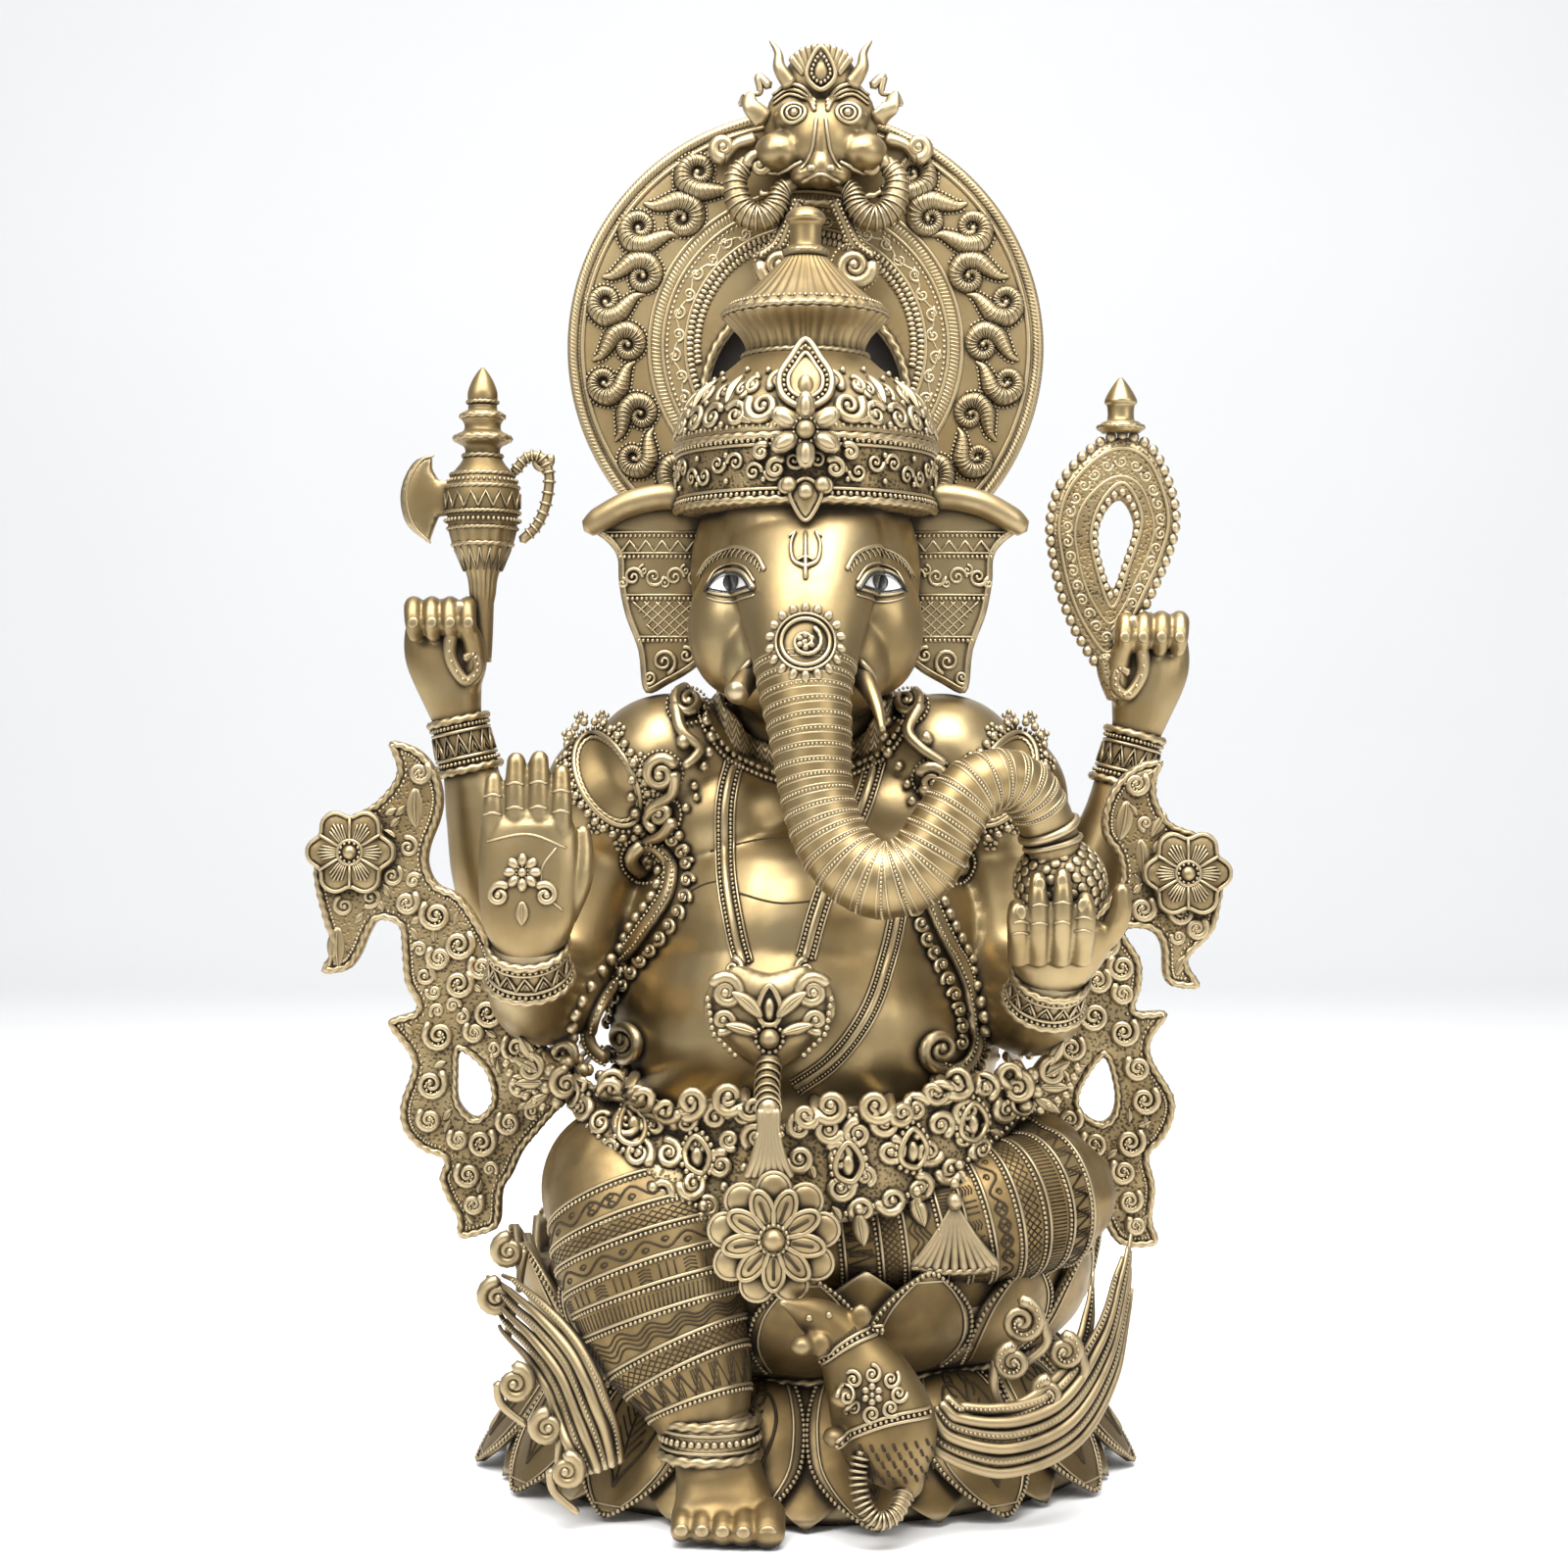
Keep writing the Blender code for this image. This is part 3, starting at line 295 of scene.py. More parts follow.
def spline(stations, steps):
    """Catmull-Rom through the stations, which may be points with any number of values."""
    s = np.asarray(stations, float)
    ends = np.vstack([2 * s[0] - s[1], s, 2 * s[-1] - s[-2]])
    t = np.linspace(0, 1, steps, endpoint=False)[:, None]
    spans = [catmull(a, b, c, d, t) for a, b, c, d in zip(ends, ends[1:], ends[2:], ends[3:])]
    return np.vstack([*spans, s[-1:]])


def loop_spline(points, steps):
    """Catmull-Rom round a closed outline."""
    s = np.asarray(points, float)
    t = np.linspace(0, 1, steps, endpoint=False)[:, None]
    return np.vstack([catmull(*(s[(k + j - 1) % len(s)] for j in range(4)), t) for k in range(len(s))])


def spaced(points, gap, closed=False):
    """Points at equal gaps along a line."""
    p = np.asarray(points, float)
    if closed:
        p = np.vstack([p, p[:1]])
    lengths = np.concatenate([[0], np.cumsum(np.linalg.norm(np.diff(p, axis=0), axis=1))])
    count = max(2, int(round(lengths[-1] / gap)) + (0 if closed else 1))
    at = np.linspace(0, lengths[-1], count, endpoint=not closed)
    return np.stack([np.interp(at, lengths, p[:, k]) for k in range(p.shape[1])], axis=1)


def frames(points, closed=False, hint=None):
    """Along, across and deep directions at each point of a line, with as little twist as can be."""
    p = np.asarray(points, float)
    if closed:
        along = np.roll(p, -1, axis=0) - np.roll(p, 1, axis=0)
    else:
        along = np.gradient(p, axis=0)
    along = unit(along)
    if hint is not None:
        hint = np.broadcast_to(np.asarray(hint, float), along.shape)
        across = hint - along * np.sum(along * hint, axis=1, keepdims=True)
    else:
        across = np.zeros_like(along)
        start = np.cross(along[0], (0, 1, 0) if abs(along[0][1]) < 0.8 else (1, 0, 0))
        for k, a in enumerate(along):
            start = unit(start - a * np.dot(start, a))
            across[k] = start
    across = unit(across)
    return along, across, np.cross(along, across)


def tube(work, points, radius, sides=8, closed=False, hint=None, flat=1.0):
    """A round or flattened bar along a line. radius is a number, or one for each point."""
    p = np.asarray(points, float)
    r = np.broadcast_to(np.asarray(radius, float), (len(p),)).copy()
    along, across, deep = frames(p, closed, hint)
    angles = circle(sides)
    f = np.broadcast_to(np.asarray(flat, float), (len(p),))
    ring = (across[:, None, :] * (np.cos(angles)[None, :, None] * r[:, None, None])
            + deep[:, None, :] * (np.sin(angles)[None, :, None] * (r * f)[:, None, None]))
    verts = (p[:, None, :] + ring).reshape(-1, 3)
    n = len(p)
    faces = wall(n, sides, closed)
    if not closed:
        verts = np.vstack([verts, p[0] - along[0] * r[0] * 0.6, p[-1] + along[-1] * r[-1] * 0.6])
        for k in range(sides):
            j = (k + 1) % sides
            faces.append((k, n * sides, j))
            faces.append(((n - 1) * sides + k, (n - 1) * sides + j, n * sides + 1))
    work.add(verts, faces)
    return work


def limb(work, stations, sides=24, steps=8, hint=(1, 0, 0)):
    """A swept body part. Each station is x, y, z, half-width along hint, half-depth across it."""
    s = spline(stations, steps)
    tube(work, s[:, :3], s[:, 3], sides, hint=hint, flat=s[:, 4] / s[:, 3])
    for end in (s[0], s[-1]):
        ball(work, end[:3], (min(end[3], end[4]),) * 3, 12)
    return work


def ball(work, centre, radii, segments=16):
    rings = segments // 2
    verts, faces = [(0, 0, 1)], []
    for i in range(1, rings):
        polar = math.pi * i / rings
        verts += [(math.sin(polar) * math.cos(TURN * k / segments),
                   math.sin(polar) * math.sin(TURN * k / segments), math.cos(polar))
                  for k in range(segments)]
    verts.append((0, 0, -1))
    last = len(verts) - 1
    for k in range(segments):
        j = (k + 1) % segments
        faces.append((0, 1 + k, 1 + j))
        for i in range(rings - 2):
            a, b = 1 + i * segments, 1 + (i + 1) * segments
            faces.append((a + k, b + k, b + j, a + j))
        faces.append((last, last - segments + j, last - segments + k))
    work.add(np.array(verts) * radii + centre, faces)
    return work


def lathe(work, profile, centre=(0, -48), segments=96, wave=None):
    """A turned form about a vertical axis, open at neither end. wave(angle, r, z) may shape it."""
    rows = []
    for r, z in profile:
        angles = circle(segments)
        rr = r if wave is None else wave(angles, r, z)
        rows.append(np.stack([centre[0] + rr * np.sin(angles), centre[1] - rr * np.cos(angles),
                              np.full(segments, z)], axis=1))
    verts = np.vstack([*rows, rows[0].mean(axis=0), rows[-1].mean(axis=0)])
    faces = wall(len(profile), segments)
    total = len(profile) * segments
    for k in range(segments):
        j = (k + 1) % segments
        faces.append((k, total, j))
        faces.append((total - segments + k, total - segments + j, total + 1))
    work.add(verts, faces)
    return work


BEAD_POINTS, BEAD_FACES = [], []


def make_bead():
    bm = bmesh.new()
    bmesh.ops.create_uvsphere(bm, u_segments=6, v_segments=5, radius=1)
    BEAD_POINTS.extend(tuple(v.co) for v in bm.verts)
    BEAD_FACES.extend(tuple(v.index for v in f.verts) for f in bm.faces)
    bm.free()


make_bead()
BEAD_POINTS = np.array(BEAD_POINTS)


def beads(work, points, radius):
    """A small round bead at every point."""
    p = np.asarray(points, float)
    r = np.broadcast_to(np.asarray(radius, float), (len(p),))
    for centre, size in zip(p, r):
        work.add(BEAD_POINTS * size + centre, BEAD_FACES)
    return work


def rope(work, points, radius, closed=False):
    """A twisted edging of two strands."""
    line = spaced(points, radius * 0.42, closed)
    _, across, deep = frames(line, closed)
    n, sides = len(line), 8
    angles = circle(sides)
    twist = np.arange(n)[:, None] * 0.85
    if closed:
        twist = np.arange(n)[:, None] * (TURN * round(n * 0.85 / TURN) / n)
    r = radius * (1 + 0.20 * np.cos(2 * angles[None, :] + twist))
    ring = (across[:, None, :] * (np.cos(angles)[None, :] * r)[:, :, None]
            + deep[:, None, :] * (np.sin(angles)[None, :] * r)[:, :, None])
    verts = (line[:, None, :] + ring).reshape(-1, 3)
    faces = wall(n, sides, closed)
    if not closed:
        faces += [tuple(range(sides)), tuple((n - 1) * sides + k for k in reversed(range(sides)))]
    work.add(verts, faces)
    return work


def ring_points(radius, z, centre, count):
    """A level ring of points, from the front."""
    angles = circle(count)
    return np.stack([centre[0] + radius * np.sin(angles), centre[1] - radius * np.cos(angles),
                     np.full(count, z)], axis=1)


# ---- ornament, drawn flat as (x, z) and then laid on a surface -------------------------------
def volute(centre, radius, turns=1.5, start=0.0, way=1, inner=0.12, count=26):
    """A scroll that winds in from radius to inner * radius. start is in degrees from up."""
    t = np.linspace(0, 1, count)
    r = radius * (1 - t * (1 - inner))
    a = math.radians(start) + way * t * turns * TURN
    return np.stack([centre[0] + r * np.sin(a), centre[1] + r * np.cos(a)], axis=1)


def taper(count, thick, thin):
    return np.linspace(thick, thin, count)


def flat_at(y):
    """Lays (x, z) drawing on an upright plane."""
    def lay(xz):
        x, z = np.asarray(xz, float).T
        return np.stack([x, np.full(len(x), y), z], axis=1)
    return lay


class Drape:
    """Lays (x, z) drawing on the front of a body, standing lift millimetres off it."""

    def __init__(self, *objs):
        points, faces, count = [], [], 0
        for obj in objs:
            co = np.empty(len(obj.data.vertices) * 3)
            obj.data.vertices.foreach_get("co", co)
            points.append((co.reshape(-1, 3) - ORIGIN) / UNIT)
            faces += [tuple(v + count for v in p.vertices) for p in obj.data.polygons]
            count += len(obj.data.vertices)
        self.tree = BVHTree.FromPolygons([tuple(p) for p in np.vstack(points)], faces)

    def lay(self, xz, lift=0.0):
        """The points where the drawing meets the body. Points that miss it keep the last depth."""
        found, last = [], 0.0
        for x, z in xz:
            hit, normal, _, _ = self.tree.ray_cast(Vector((x, -500, z)), Vector((0, 1, 0)))
            if hit is None:
                found.append((x, last - lift, z))
                continue
            last = hit.y
            outward = normal if normal.y < 0 else -normal
            found.append(tuple(hit + outward * lift))
        return np.array(found)

    def at(self, lift):
        return lambda xz: self.lay(xz, lift)


def inset(outline, distance, gap):
    """Points inside a closed outline at a distance from its edge, at equal gaps."""
    line = spaced(outline, gap, closed=True)
    ahead = unit(np.roll(line, -1, axis=0) - np.roll(line, 1, axis=0))
    area = 0.5 * np.sum(line[:, 0] * np.roll(line[:, 1], -1) - line[:, 1] * np.roll(line[:, 0], -1))
    inward = np.stack([-ahead[:, 1], ahead[:, 0]], axis=1) * (1 if area > 0 else -1)
    moved = line + inward * distance
    dense = spaced(outline, 1.0, closed=True)
    near = np.array([np.min(np.linalg.norm(dense - p, axis=1)) for p in moved])
    return moved[near > distance * 0.93]


def runs(points, gap):
    """Splits a line wherever it jumps further than gap."""
    jumps = np.where(np.linalg.norm(np.diff(points, axis=0), axis=1) > gap)[0] + 1
    return [run for run in np.split(points, jumps) if len(run) > 2]


def panel(work, outline, front, back, holes=(), dome=0.0, cell=2.5, hump=12.0):
    """A flat casting with rounded edges, whose front swells by dome away from its edges."""
    edge = spaced(outline, cell, closed=True)
    edges = [edge, *[spaced(h, cell, closed=True) for h in holes]]
    bm = bmesh.new()
    for line in edges:
        verts = [bm.verts.new((x, z, 0)) for x, z in line]
        for a, b in zip(verts, verts[1:] + verts[:1]):
            bm.edges.new((a, b))
    bmesh.ops.triangle_fill(bm, use_beauty=True, use_dissolve=False, edges=bm.edges)
    long = [e for e in bm.edges if e.calc_length() > cell * 1.8]
    for _ in range(6):
        if not long:
            break
        bmesh.ops.subdivide_edges(bm, edges=long, cuts=1, use_grid_fill=False)
        bmesh.ops.triangulate(bm, faces=bm.faces)
        bmesh.ops.beautify_fill(bm, faces=bm.faces, edges=bm.edges)
        long = [e for e in bm.edges if e.calc_length() > cell * 1.8]
    dense = np.vstack([spaced(line, 1.5, closed=True) for line in edges])
    flat = np.array([(v.co.x, v.co.y) for v in bm.verts])
    depth = np.array([np.min((dense[:, 0] - x) ** 2 + (dense[:, 1] - z) ** 2) for x, z in flat]) ** 0.5
    swell = np.sin(np.clip(depth / hump, 0, 1) * math.pi / 2)
    rim = 1.2 * (1 - np.clip(depth / 2.0, 0, 1)) ** 2
    n = len(flat)
    fronts = np.stack([flat[:, 0], front - dome * swell + rim, flat[:, 1]], axis=1)
    backs = np.stack([flat[:, 0], back - rim, flat[:, 1]], axis=1)
    bm.verts.index_update()
    faces = [tuple(v.index for v in f.verts) for f in bm.faces]
    rims = [tuple(v.index for v in e.verts) for e in bm.edges if len(e.link_faces) == 1]
    bm.free()
    both = faces + [tuple(n + k for k in reversed(f)) for f in faces]
    both += [(a, b, n + b, n + a) for a, b in rims]
    work.add(np.vstack([fronts, backs]), both)
    return work


def scroll(work, lay, centre, radius, turns=1.5, start=0.0, way=1, thick=2.4, thin=1.0, sides=6, flat=1.0):
    line = lay(volute(centre, radius, turns, start, way))
    tube(work, line, taper(len(line), thick, thin), sides, flat=flat)
    beads(work, line[-1:], thin * 1.9)
    return work


def stroke(work, lay, stations, thick, thin=None, steps=6, sides=6):
    """A drawn line of (x, z) stations, laid as a bar that may taper."""
    line = lay(spline(stations, steps))
    tube(work, line, taper(len(line), thick, thin or thick), sides)
    return work


def leaf(work, lay, foot, angle, length, width, curl=0.0, thick=1.6):
    """A leaf with a raised rib. angle is in degrees clockwise from up."""
    t = np.linspace(0, 1, 12)
    bend = np.radians(angle + curl * t)
    step = length / len(t)
    x = foot[0] + np.cumsum(np.sin(bend)) * step
    z = foot[1] + np.cumsum(np.cos(bend)) * step
    line = lay(np.stack([x, z], axis=1))
    w = width / 2 * np.sin(np.pi * (t * 0.86 + 0.10)) ** 0.8
    tube(work, line, np.maximum(w, 0.4), 8, flat=thick / np.maximum(w, 0.4) * 0.8, hint=leaf_hint(line))
    tube(work, line + (0, -thick * 0.9, 0), np.maximum(0.16 * w, 0.5), 5)
    return work


def leaf_hint(line):
    along = np.gradient(line, axis=0)
    return np.cross(along, (0, 1, 0))


def rosette(work, lay, centre, radius, petals=8, thick=2.5):
    """A round flower with a bead at its middle."""
    for k in range(petals):
        a = TURN * k / petals
        middle = (centre[0] + math.sin(a) * radius * 0.62, centre[1] + math.cos(a) * radius * 0.62)
        spot = lay([middle])[0]
        size = radius * math.sin(math.pi / petals) * 0.72
        oriented_petal(work, spot, a, radius * 0.36, size, thick)
    spot, knob = lay([centre])[0], radius * 0.24
    ball(work, spot - (0, thick * 0.3, 0), (knob, thick * 1.1, knob), 12)
    beads(work, [lay([(centre[0] + math.sin(a) * knob * 1.25,
                                centre[1] + math.cos(a) * knob * 1.25)])[0] - (0, thick * 0.4, 0)
                 for a in circle(10)], radius * 0.05)
    return work


def turned(points, angle):
    """Points turned clockwise about the y axis, as seen from the front."""
    c, s = math.cos(angle), math.sin(angle)
    x, y, z = points.T
    return np.stack([x * c + z * s, y, -x * s + z * c], axis=1)


def oriented_petal(work, spot, angle, length, width, thick):
    """A small domed petal whose length points along angle, in radians clockwise from up."""
    work.add(turned(BEAD_POINTS * (width, thick, length), angle) + spot, BEAD_FACES)


def sheet(work, front, offset):
    """A closed sheet: a grid of points, its copy moved by offset, and a rim between them."""
    rows, columns = front.shape[:2]
    verts = np.vstack([front.reshape(-1, 3), (front + offset).reshape(-1, 3)])
    n = rows * columns
    faces = []
    for i in range(rows - 1):
        for k in range(columns - 1):
            a = i * columns + k
            faces.append((a, a + 1, a + columns + 1, a + columns))
            faces.append((n + a, n + a + columns, n + a + columns + 1, n + a + 1))
    ring = ([k for k in range(columns)] + [i * columns + columns - 1 for i in range(1, rows)]
            + [(rows - 1) * columns + k for k in range(columns - 2, -1, -1)]
            + [i * columns for i in range(rows - 2, 0, -1)])
    for a, b in zip(ring, ring[1:] + ring[:1]):
        faces.append((a, b, n + b, n + a))
    work.add(verts, faces)
    return work


# ---- finishes --------------------------------------------------------------------------------
def front_plane(m):
    x, _, z = m.parts(m.place())
    return x * 1000, z * 1000


def stippled(scale):
    def engraving(m):
        cells = m.node("TexVoronoi", None, {"Scale": scale, "Vector": m.place()})
        return m.ramp(cells, 0.15, 0.6)
    return engraving


def scaled(pitch):
    """Small overlapping scales."""
    def engraving(m):
        x, z = front_plane(m)
        arcs = m.wave(z + m.math("ABSOLUTE", m.math("SINE", x * (math.pi / pitch))) * pitch, pitch)
        return m.clamp(arcs * 1.4)
    return engraving


SMOOTH = brass("smooth_brass", shade=0.30, polish=0.22)
RELIEF = brass("relief_brass", shade=0.55, reach=0.006, polish=0.28)
GROUND = brass("stippled_ground", shade=0.75, engraving=stippled(420.0), depth=0.8, reach=0.008)
SCALED = brass("scaled_brass", shade=0.55, engraving=scaled(5.0), depth=0.9, reach=0.006)
AGED = brass("aged_brass", BROWN, shade=0.6, polish=0.30)
AGED_RELIEF = brass("aged_relief", BROWN, shade=0.8, reach=0.006, polish=0.32)


# ---- body ------------------------------------------------------------------------------------
RIGHT_REAR = [
    (-96, 24, 428, 32, 30), (-122, 22, 404, 33, 31), (-150, 14, 366, 33, 31), (-172, 4, 338, 32, 31),
    (-186, -2, 342, 31, 30), (-198, -6, 370, 28, 27), (-207, -9, 404, 22, 21), (-214, -10, 440, 17, 17),
]
LEFT_REAR = [
    (96, 24, 428, 32, 30), (122, 22, 404, 33, 31), (148, 12, 372, 32, 30), (166, 4, 348, 31, 30),
    (178, -1, 352, 30, 29), (189, -5, 378, 26, 25), (197, -8, 406, 20, 20), (203, -9, 436, 17, 17),
]
RIGHT_FRONT = [
    (-96, -10, 430, 38, 34), (-122, -18, 402, 36, 33), (-140, -28, 352, 33, 32), (-152, -44, 312, 33, 33),
    (-158, -74, 297, 33, 32), (-161, -110, 302, 30, 29), (-162, -138, 314, 24, 23),
               (-162, -152, 326, 20, 19),
]
LEFT_FRONT = [
    (96, -10, 430, 38, 34), (116, -18, 402, 36, 33), (126, -28, 352, 33, 32), (130, -42, 312, 33, 33),
    (134, -72, 292, 33, 32), (139, -102, 290, 29, 28), (142, -122, 297, 23, 22), (143, -134, 306, 19, 18),
]
TRUNK = [
    (0, -88, 590, 44, 22), (0, -104, 566, 46, 26), (0, -120, 540, 42, 29), (0, -134, 512, 35, 28),
    (0, -146, 482, 28, 26), (3, -155, 452, 24, 24), (6, -162, 422, 21.5, 22), (13, -168, 397, 21.5, 21.5),
    (26, -174, 378, 22, 21.5), (46, -178, 369, 22.5, 22), (66, -179, 378, 22, 21.5),
         (80, -178, 400, 20.5, 20),
    (95, -174, 421, 19, 18.5), (114, -167, 428, 18, 17.5), (130, -158, 420, 17.5, 17),
         (141, -150, 402, 16.5, 16),
    (146, -147, 386, 15.5, 15),
]


def body():
    work = Work()
    for centre, radii in (
        ((0, 8, 165), (126, 98, 62)), ((0, -16, 272), (124, 124, 108)), ((0, -12, 330), (116, 112, 84)),
        ((0, 6, 400), (112, 66, 72)), ((-92, 14, 424), (44, 42, 38)), ((92, 14, 424), (44, 42, 38)),
        ((-50, -40, 402), (52, 44, 40)), ((50, -40, 402), (52, 44, 40)), ((0, 2, 462), (56, 46, 36)),
        ((-84, -34, 440), (50, 48, 42)), ((84, -34, 440), (50, 48, 42)),
        ((-122, -22, 414), (44, 46, 48)), ((122, -22, 414), (44, 46, 48)),
        ((-48, 42, 448), (13, 18, 16)), ((48, 42, 448), (13, 18, 16)),
        ((0, 30, 300), (104, 72, 130)),
    ):
        ball(work, centre, radii, 40)
    for arm in (RIGHT_REAR, LEFT_REAR, RIGHT_FRONT, LEFT_FRONT):
        limb(work, arm)
    obj = work.build("torso_and_arms", SMOOTH, "torso", "right_rear_arm", "left_rear_arm",
                     "right_front_arm", "left_front_arm")
    return fuse(obj, 2.9, passes=12, factor=0.6)


def head():
    work = Work()
    for centre, radii in (
        ((0, -48, 556), (72, 70, 80)), ((0, -82, 580), (52, 40, 42)), ((-42, -84, 520), (30, 32, 42)),
        ((42, -84, 520), (30, 32, 42)), ((-30, -100, 500), (22, 26, 30)), ((30, -100, 500), (22, 26, 30)),
        ((0, -46, 500), (56, 50, 42)), ((0, -20, 470), (48, 42, 30)),
    ):
        ball(work, centre, radii, 32)
    limb(work, TRUNK, sides=40, steps=10, hint=(1, 0, 0.2))
    skin = work.build("head_and_trunk", SMOOTH, "head", "trunk")
    fuse(skin, 2.0, passes=8, factor=0.6)
    return skin


def trunk_rings():
    """Close pairs of fine ridges with a row of beads between them, all the way down the trunk."""
    line = spline(TRUNK, 40)
    path = line[:, :3]
    lengths = np.concatenate([[0], np.cumsum(np.linalg.norm(np.diff(path, axis=0), axis=1))])
    _, across, deep = frames(path, hint=(1, 0, 0.2))
    work = Work()

    def ring(distance, lift, count=44):
        k = int(np.clip(np.searchsorted(lengths, distance), 0, len(path) - 1))
        return hoop(path[k], across[k], deep[k], line[k, 3] + lift, line[k, 4] + lift, count)

    start, pitch = 112.0, 8.6
    for distance in np.arange(start, lengths[-1] - 22, pitch):
        for shift in (-1.9, 1.9):
            tube(work, ring(distance + shift, -0.5), 0.85, 4, closed=True)
        beads(work, ring(distance, -0.35, 58), 1.05)
    work.build("trunk_ring_beads", RELIEF)


def trunk_trim():
    """The collars round the plain turned-over tip."""
    work = Work()
    line = spline(TRUNK, 10)
    for place, extra in ((-9, 2.6), (-4, 2.0)):
        at = line[place]
        along = unit((line[place] - line[place - 2])[:3])
        across = unit(np.cross(along, (0, 1, 0)))
        ring = hoop(at[:3], across, np.cross(along, across), at[3] + 0.6, at[3] + 0.6, 40)
        tube(work, ring, extra, 8, closed=True)
    work.build("trunk_collars", RELIEF)


def face(skin):
    """Eyes with raised lids, brows, the forehead mark, the round boss on the trunk, and tusks."""
    drape = Drape(*skin)
    work = Work()
    for side, hand in ((-1, "right"), (1, "left")):
        whites = Work()
        almond = [drape.lay([(side * (44.5 + 14 * u), 540 - 2.6 * (1 - u * u)
                              + v * (0.6 + 13.6 * (1 - u * u) ** 0.8))
                             for v in np.linspace(0, 1, 9)], 0.9) for u in np.linspace(-1, 1, 29) * side]
        sheet(whites, np.array(almond), np.array((0, 3.0, 0)))
        whites.build(hand + "_eye_white", ENAMEL, hand + "_eye")
        inner, outer = side * 30, side * 59
        upper = [(inner, 540), (side * 36, 549), (side * 45, 552.6), (side * 54, 549), (outer, 541)]
        lower = [(inner, 540), (side * 38, 538.6), (side * 47, 537.8), (side * 54, 539), (outer, 541)]
        stroke(work, drape.at(1.4), upper, 1.9, 1.3)
        stroke(work, drape.at(1.0), lower, 1.4, 1.0)
        pupils = Work()
        steps = np.linspace(-1, 1, 13)
        iris = [drape.lay([(44.0 * side + 5.2 * u * math.sqrt(1 - v * v / 2),
                            545.3 + 5.2 * v * math.sqrt(1 - u * u / 2))
                           for v in steps], 1.5) for u in steps]
        sheet(pupils, np.array(iris), np.array((0, 2.0, 0)))
        stroke(pupils, drape.at(3.0), [(x, z - 1.8) for x, z in upper], 1.1, 0.9)
        stroke(pupils, drape.at(2.4), [(x, z + 1.5) for x, z in lower], 0.7, 0.6)
        pupils.build(hand + "_pupil", JET)
        stroke(work, drape.at(0.8), [(x, z + 4.4) for x, z in upper], 1.0, 0.7)
        stroke(work, drape.at(0.5), [(x, z - 4.0) for x, z in lower], 0.8, 0.6)
        brow = mirrored(side, (24, 551), (30, 561), (44, 567), (58, 562), (66, 552))
        stroke(work, drape.at(0.8), brow, 1.5, 0.9)
        dense = spline(brow, 5)
        for (x, z), (nx, _) in zip(dense[2:-2], dense[3:-1]):
            stroke(work, drape.at(0.5), [(x, z - 1), (x + (nx - x) * 0.8, z - 3.4), (nx, z - 5.4)], 0.6,
                   0.5, steps=2)
    stroke(work, drape.at(1.0), [(0, 545), (0, 574)], 1.5, 1.1)
    stroke(work, drape.at(1.0), [(-5, 556), (0, 558), (5, 556)], 1.1, 1.0)
    for side in (-1, 1):
        stroke(work, drape.at(1.0), [(0, 552), (side * 7, 556), (side * 8.5, 566), (side * 6, 574)], 1.4,
               0.9)
        stroke(work, drape.at(1.0), mirrored(side, (6, 574), (9.5, 571)), 1.2, 0.7)
    boss = drape.lay([(0, 507)], 0)[0]
    for radius, thick in ((13.5, 1.3), (16.5, 0.9)):
        tube(work, drape.lay(oval((boss[0], 507), radius, radius, 48), 1.6), thick, 6, closed=True)
    for k in range(18):
        angle = TURN * k / 18
        spot = drape.lay([(boss[0] + 20 * math.sin(angle), 507 + 20 * math.cos(angle))], 0.6)[0]
        oriented_petal(work, spot, angle, 3.6, 3.0, 1.2)
    scroll(work, drape.at(1.8), (boss[0], 507), 9.5, 1.6, 30, 1, 1.5, 0.8)
    rosette(work, drape.at(1.6), (boss[0], 507), 6.0, 6, 1.2)
    work.build("face_relief", RELIEF)
    tusk_work = Work()
    tube(tusk_work, spline([(-31, -118, 492), (-37, -130, 484), (-41, -138, 478)], 6), 7.6, 20)
    tusk_work.build("right_tusk_stub", SMOOTH, "right_tusk")
    tusk_work = Work()
    line = spline([(31, -118, 492), (37, -132, 482), (42, -144, 470), (45, -153, 456)], 6)
    tube(tusk_work, line, taper(len(line), 7.8, 2.0), 20)
    tusk_work.build("left_tusk_whole", SMOOTH, "left_tusk")
    work = Work()
    for side in (-1, 1):
        ring = spline([(side * 27, -116, 500), (side * 33, -127, 497), (side * 40, -125, 489),
                       (side * 39, -116, 483), (side * 30, -113, 487)], 6)
        tube(work, ring, 2.2, 8, closed=True)
    work.build("tusk_collars", RELIEF)


def plain(name, colour, roughness, metallic=0.0):
    """An even finish with slight cloudiness."""
    m = Maker(name)
    cloud = m.noise(140.0, 3.0)
    dark = tuple(c * 0.72 for c in colour[:3]) + (1,)
    m.put(m.mix(m.ramp(cloud, 0.35, 0.75), colour, dark), m.shader.inputs["Base Color"])
    m.put(m.clamp(roughness + cloud * 0.12), m.shader.inputs["Roughness"])
    m.shader.inputs["Metallic"].default_value = metallic
    return m.material


ENAMEL = plain("white_enamel", (0.86, 0.84, 0.78, 1), 0.12)
JET = plain("black_enamel", (0.012, 0.010, 0.010, 1), 0.22)
# Near-black painted shadow for the aureole's back pan, which fills the shaded hollow behind its opening.
SHADOW_BLACK = plain("painted_shadow_sheet", (0.016, 0.012, 0.009, 1), 0.65, 0.4)
STEEL = plain("steel", (0.42, 0.42, 0.43, 1), 0.35, 1.0)
# Dark lines laid on the surface where grooves are cut: the grooves' patina together with their painted
# shade.
GROOVE_PATINA_AND_SHADE = plain("engraved_line_patina_and_shade", (0.052, 0.034, 0.014, 1), 0.55, 0.5)

body_skin = body()
head_skin = head()
trunk_rings()
trunk_trim()
face((head_skin,))


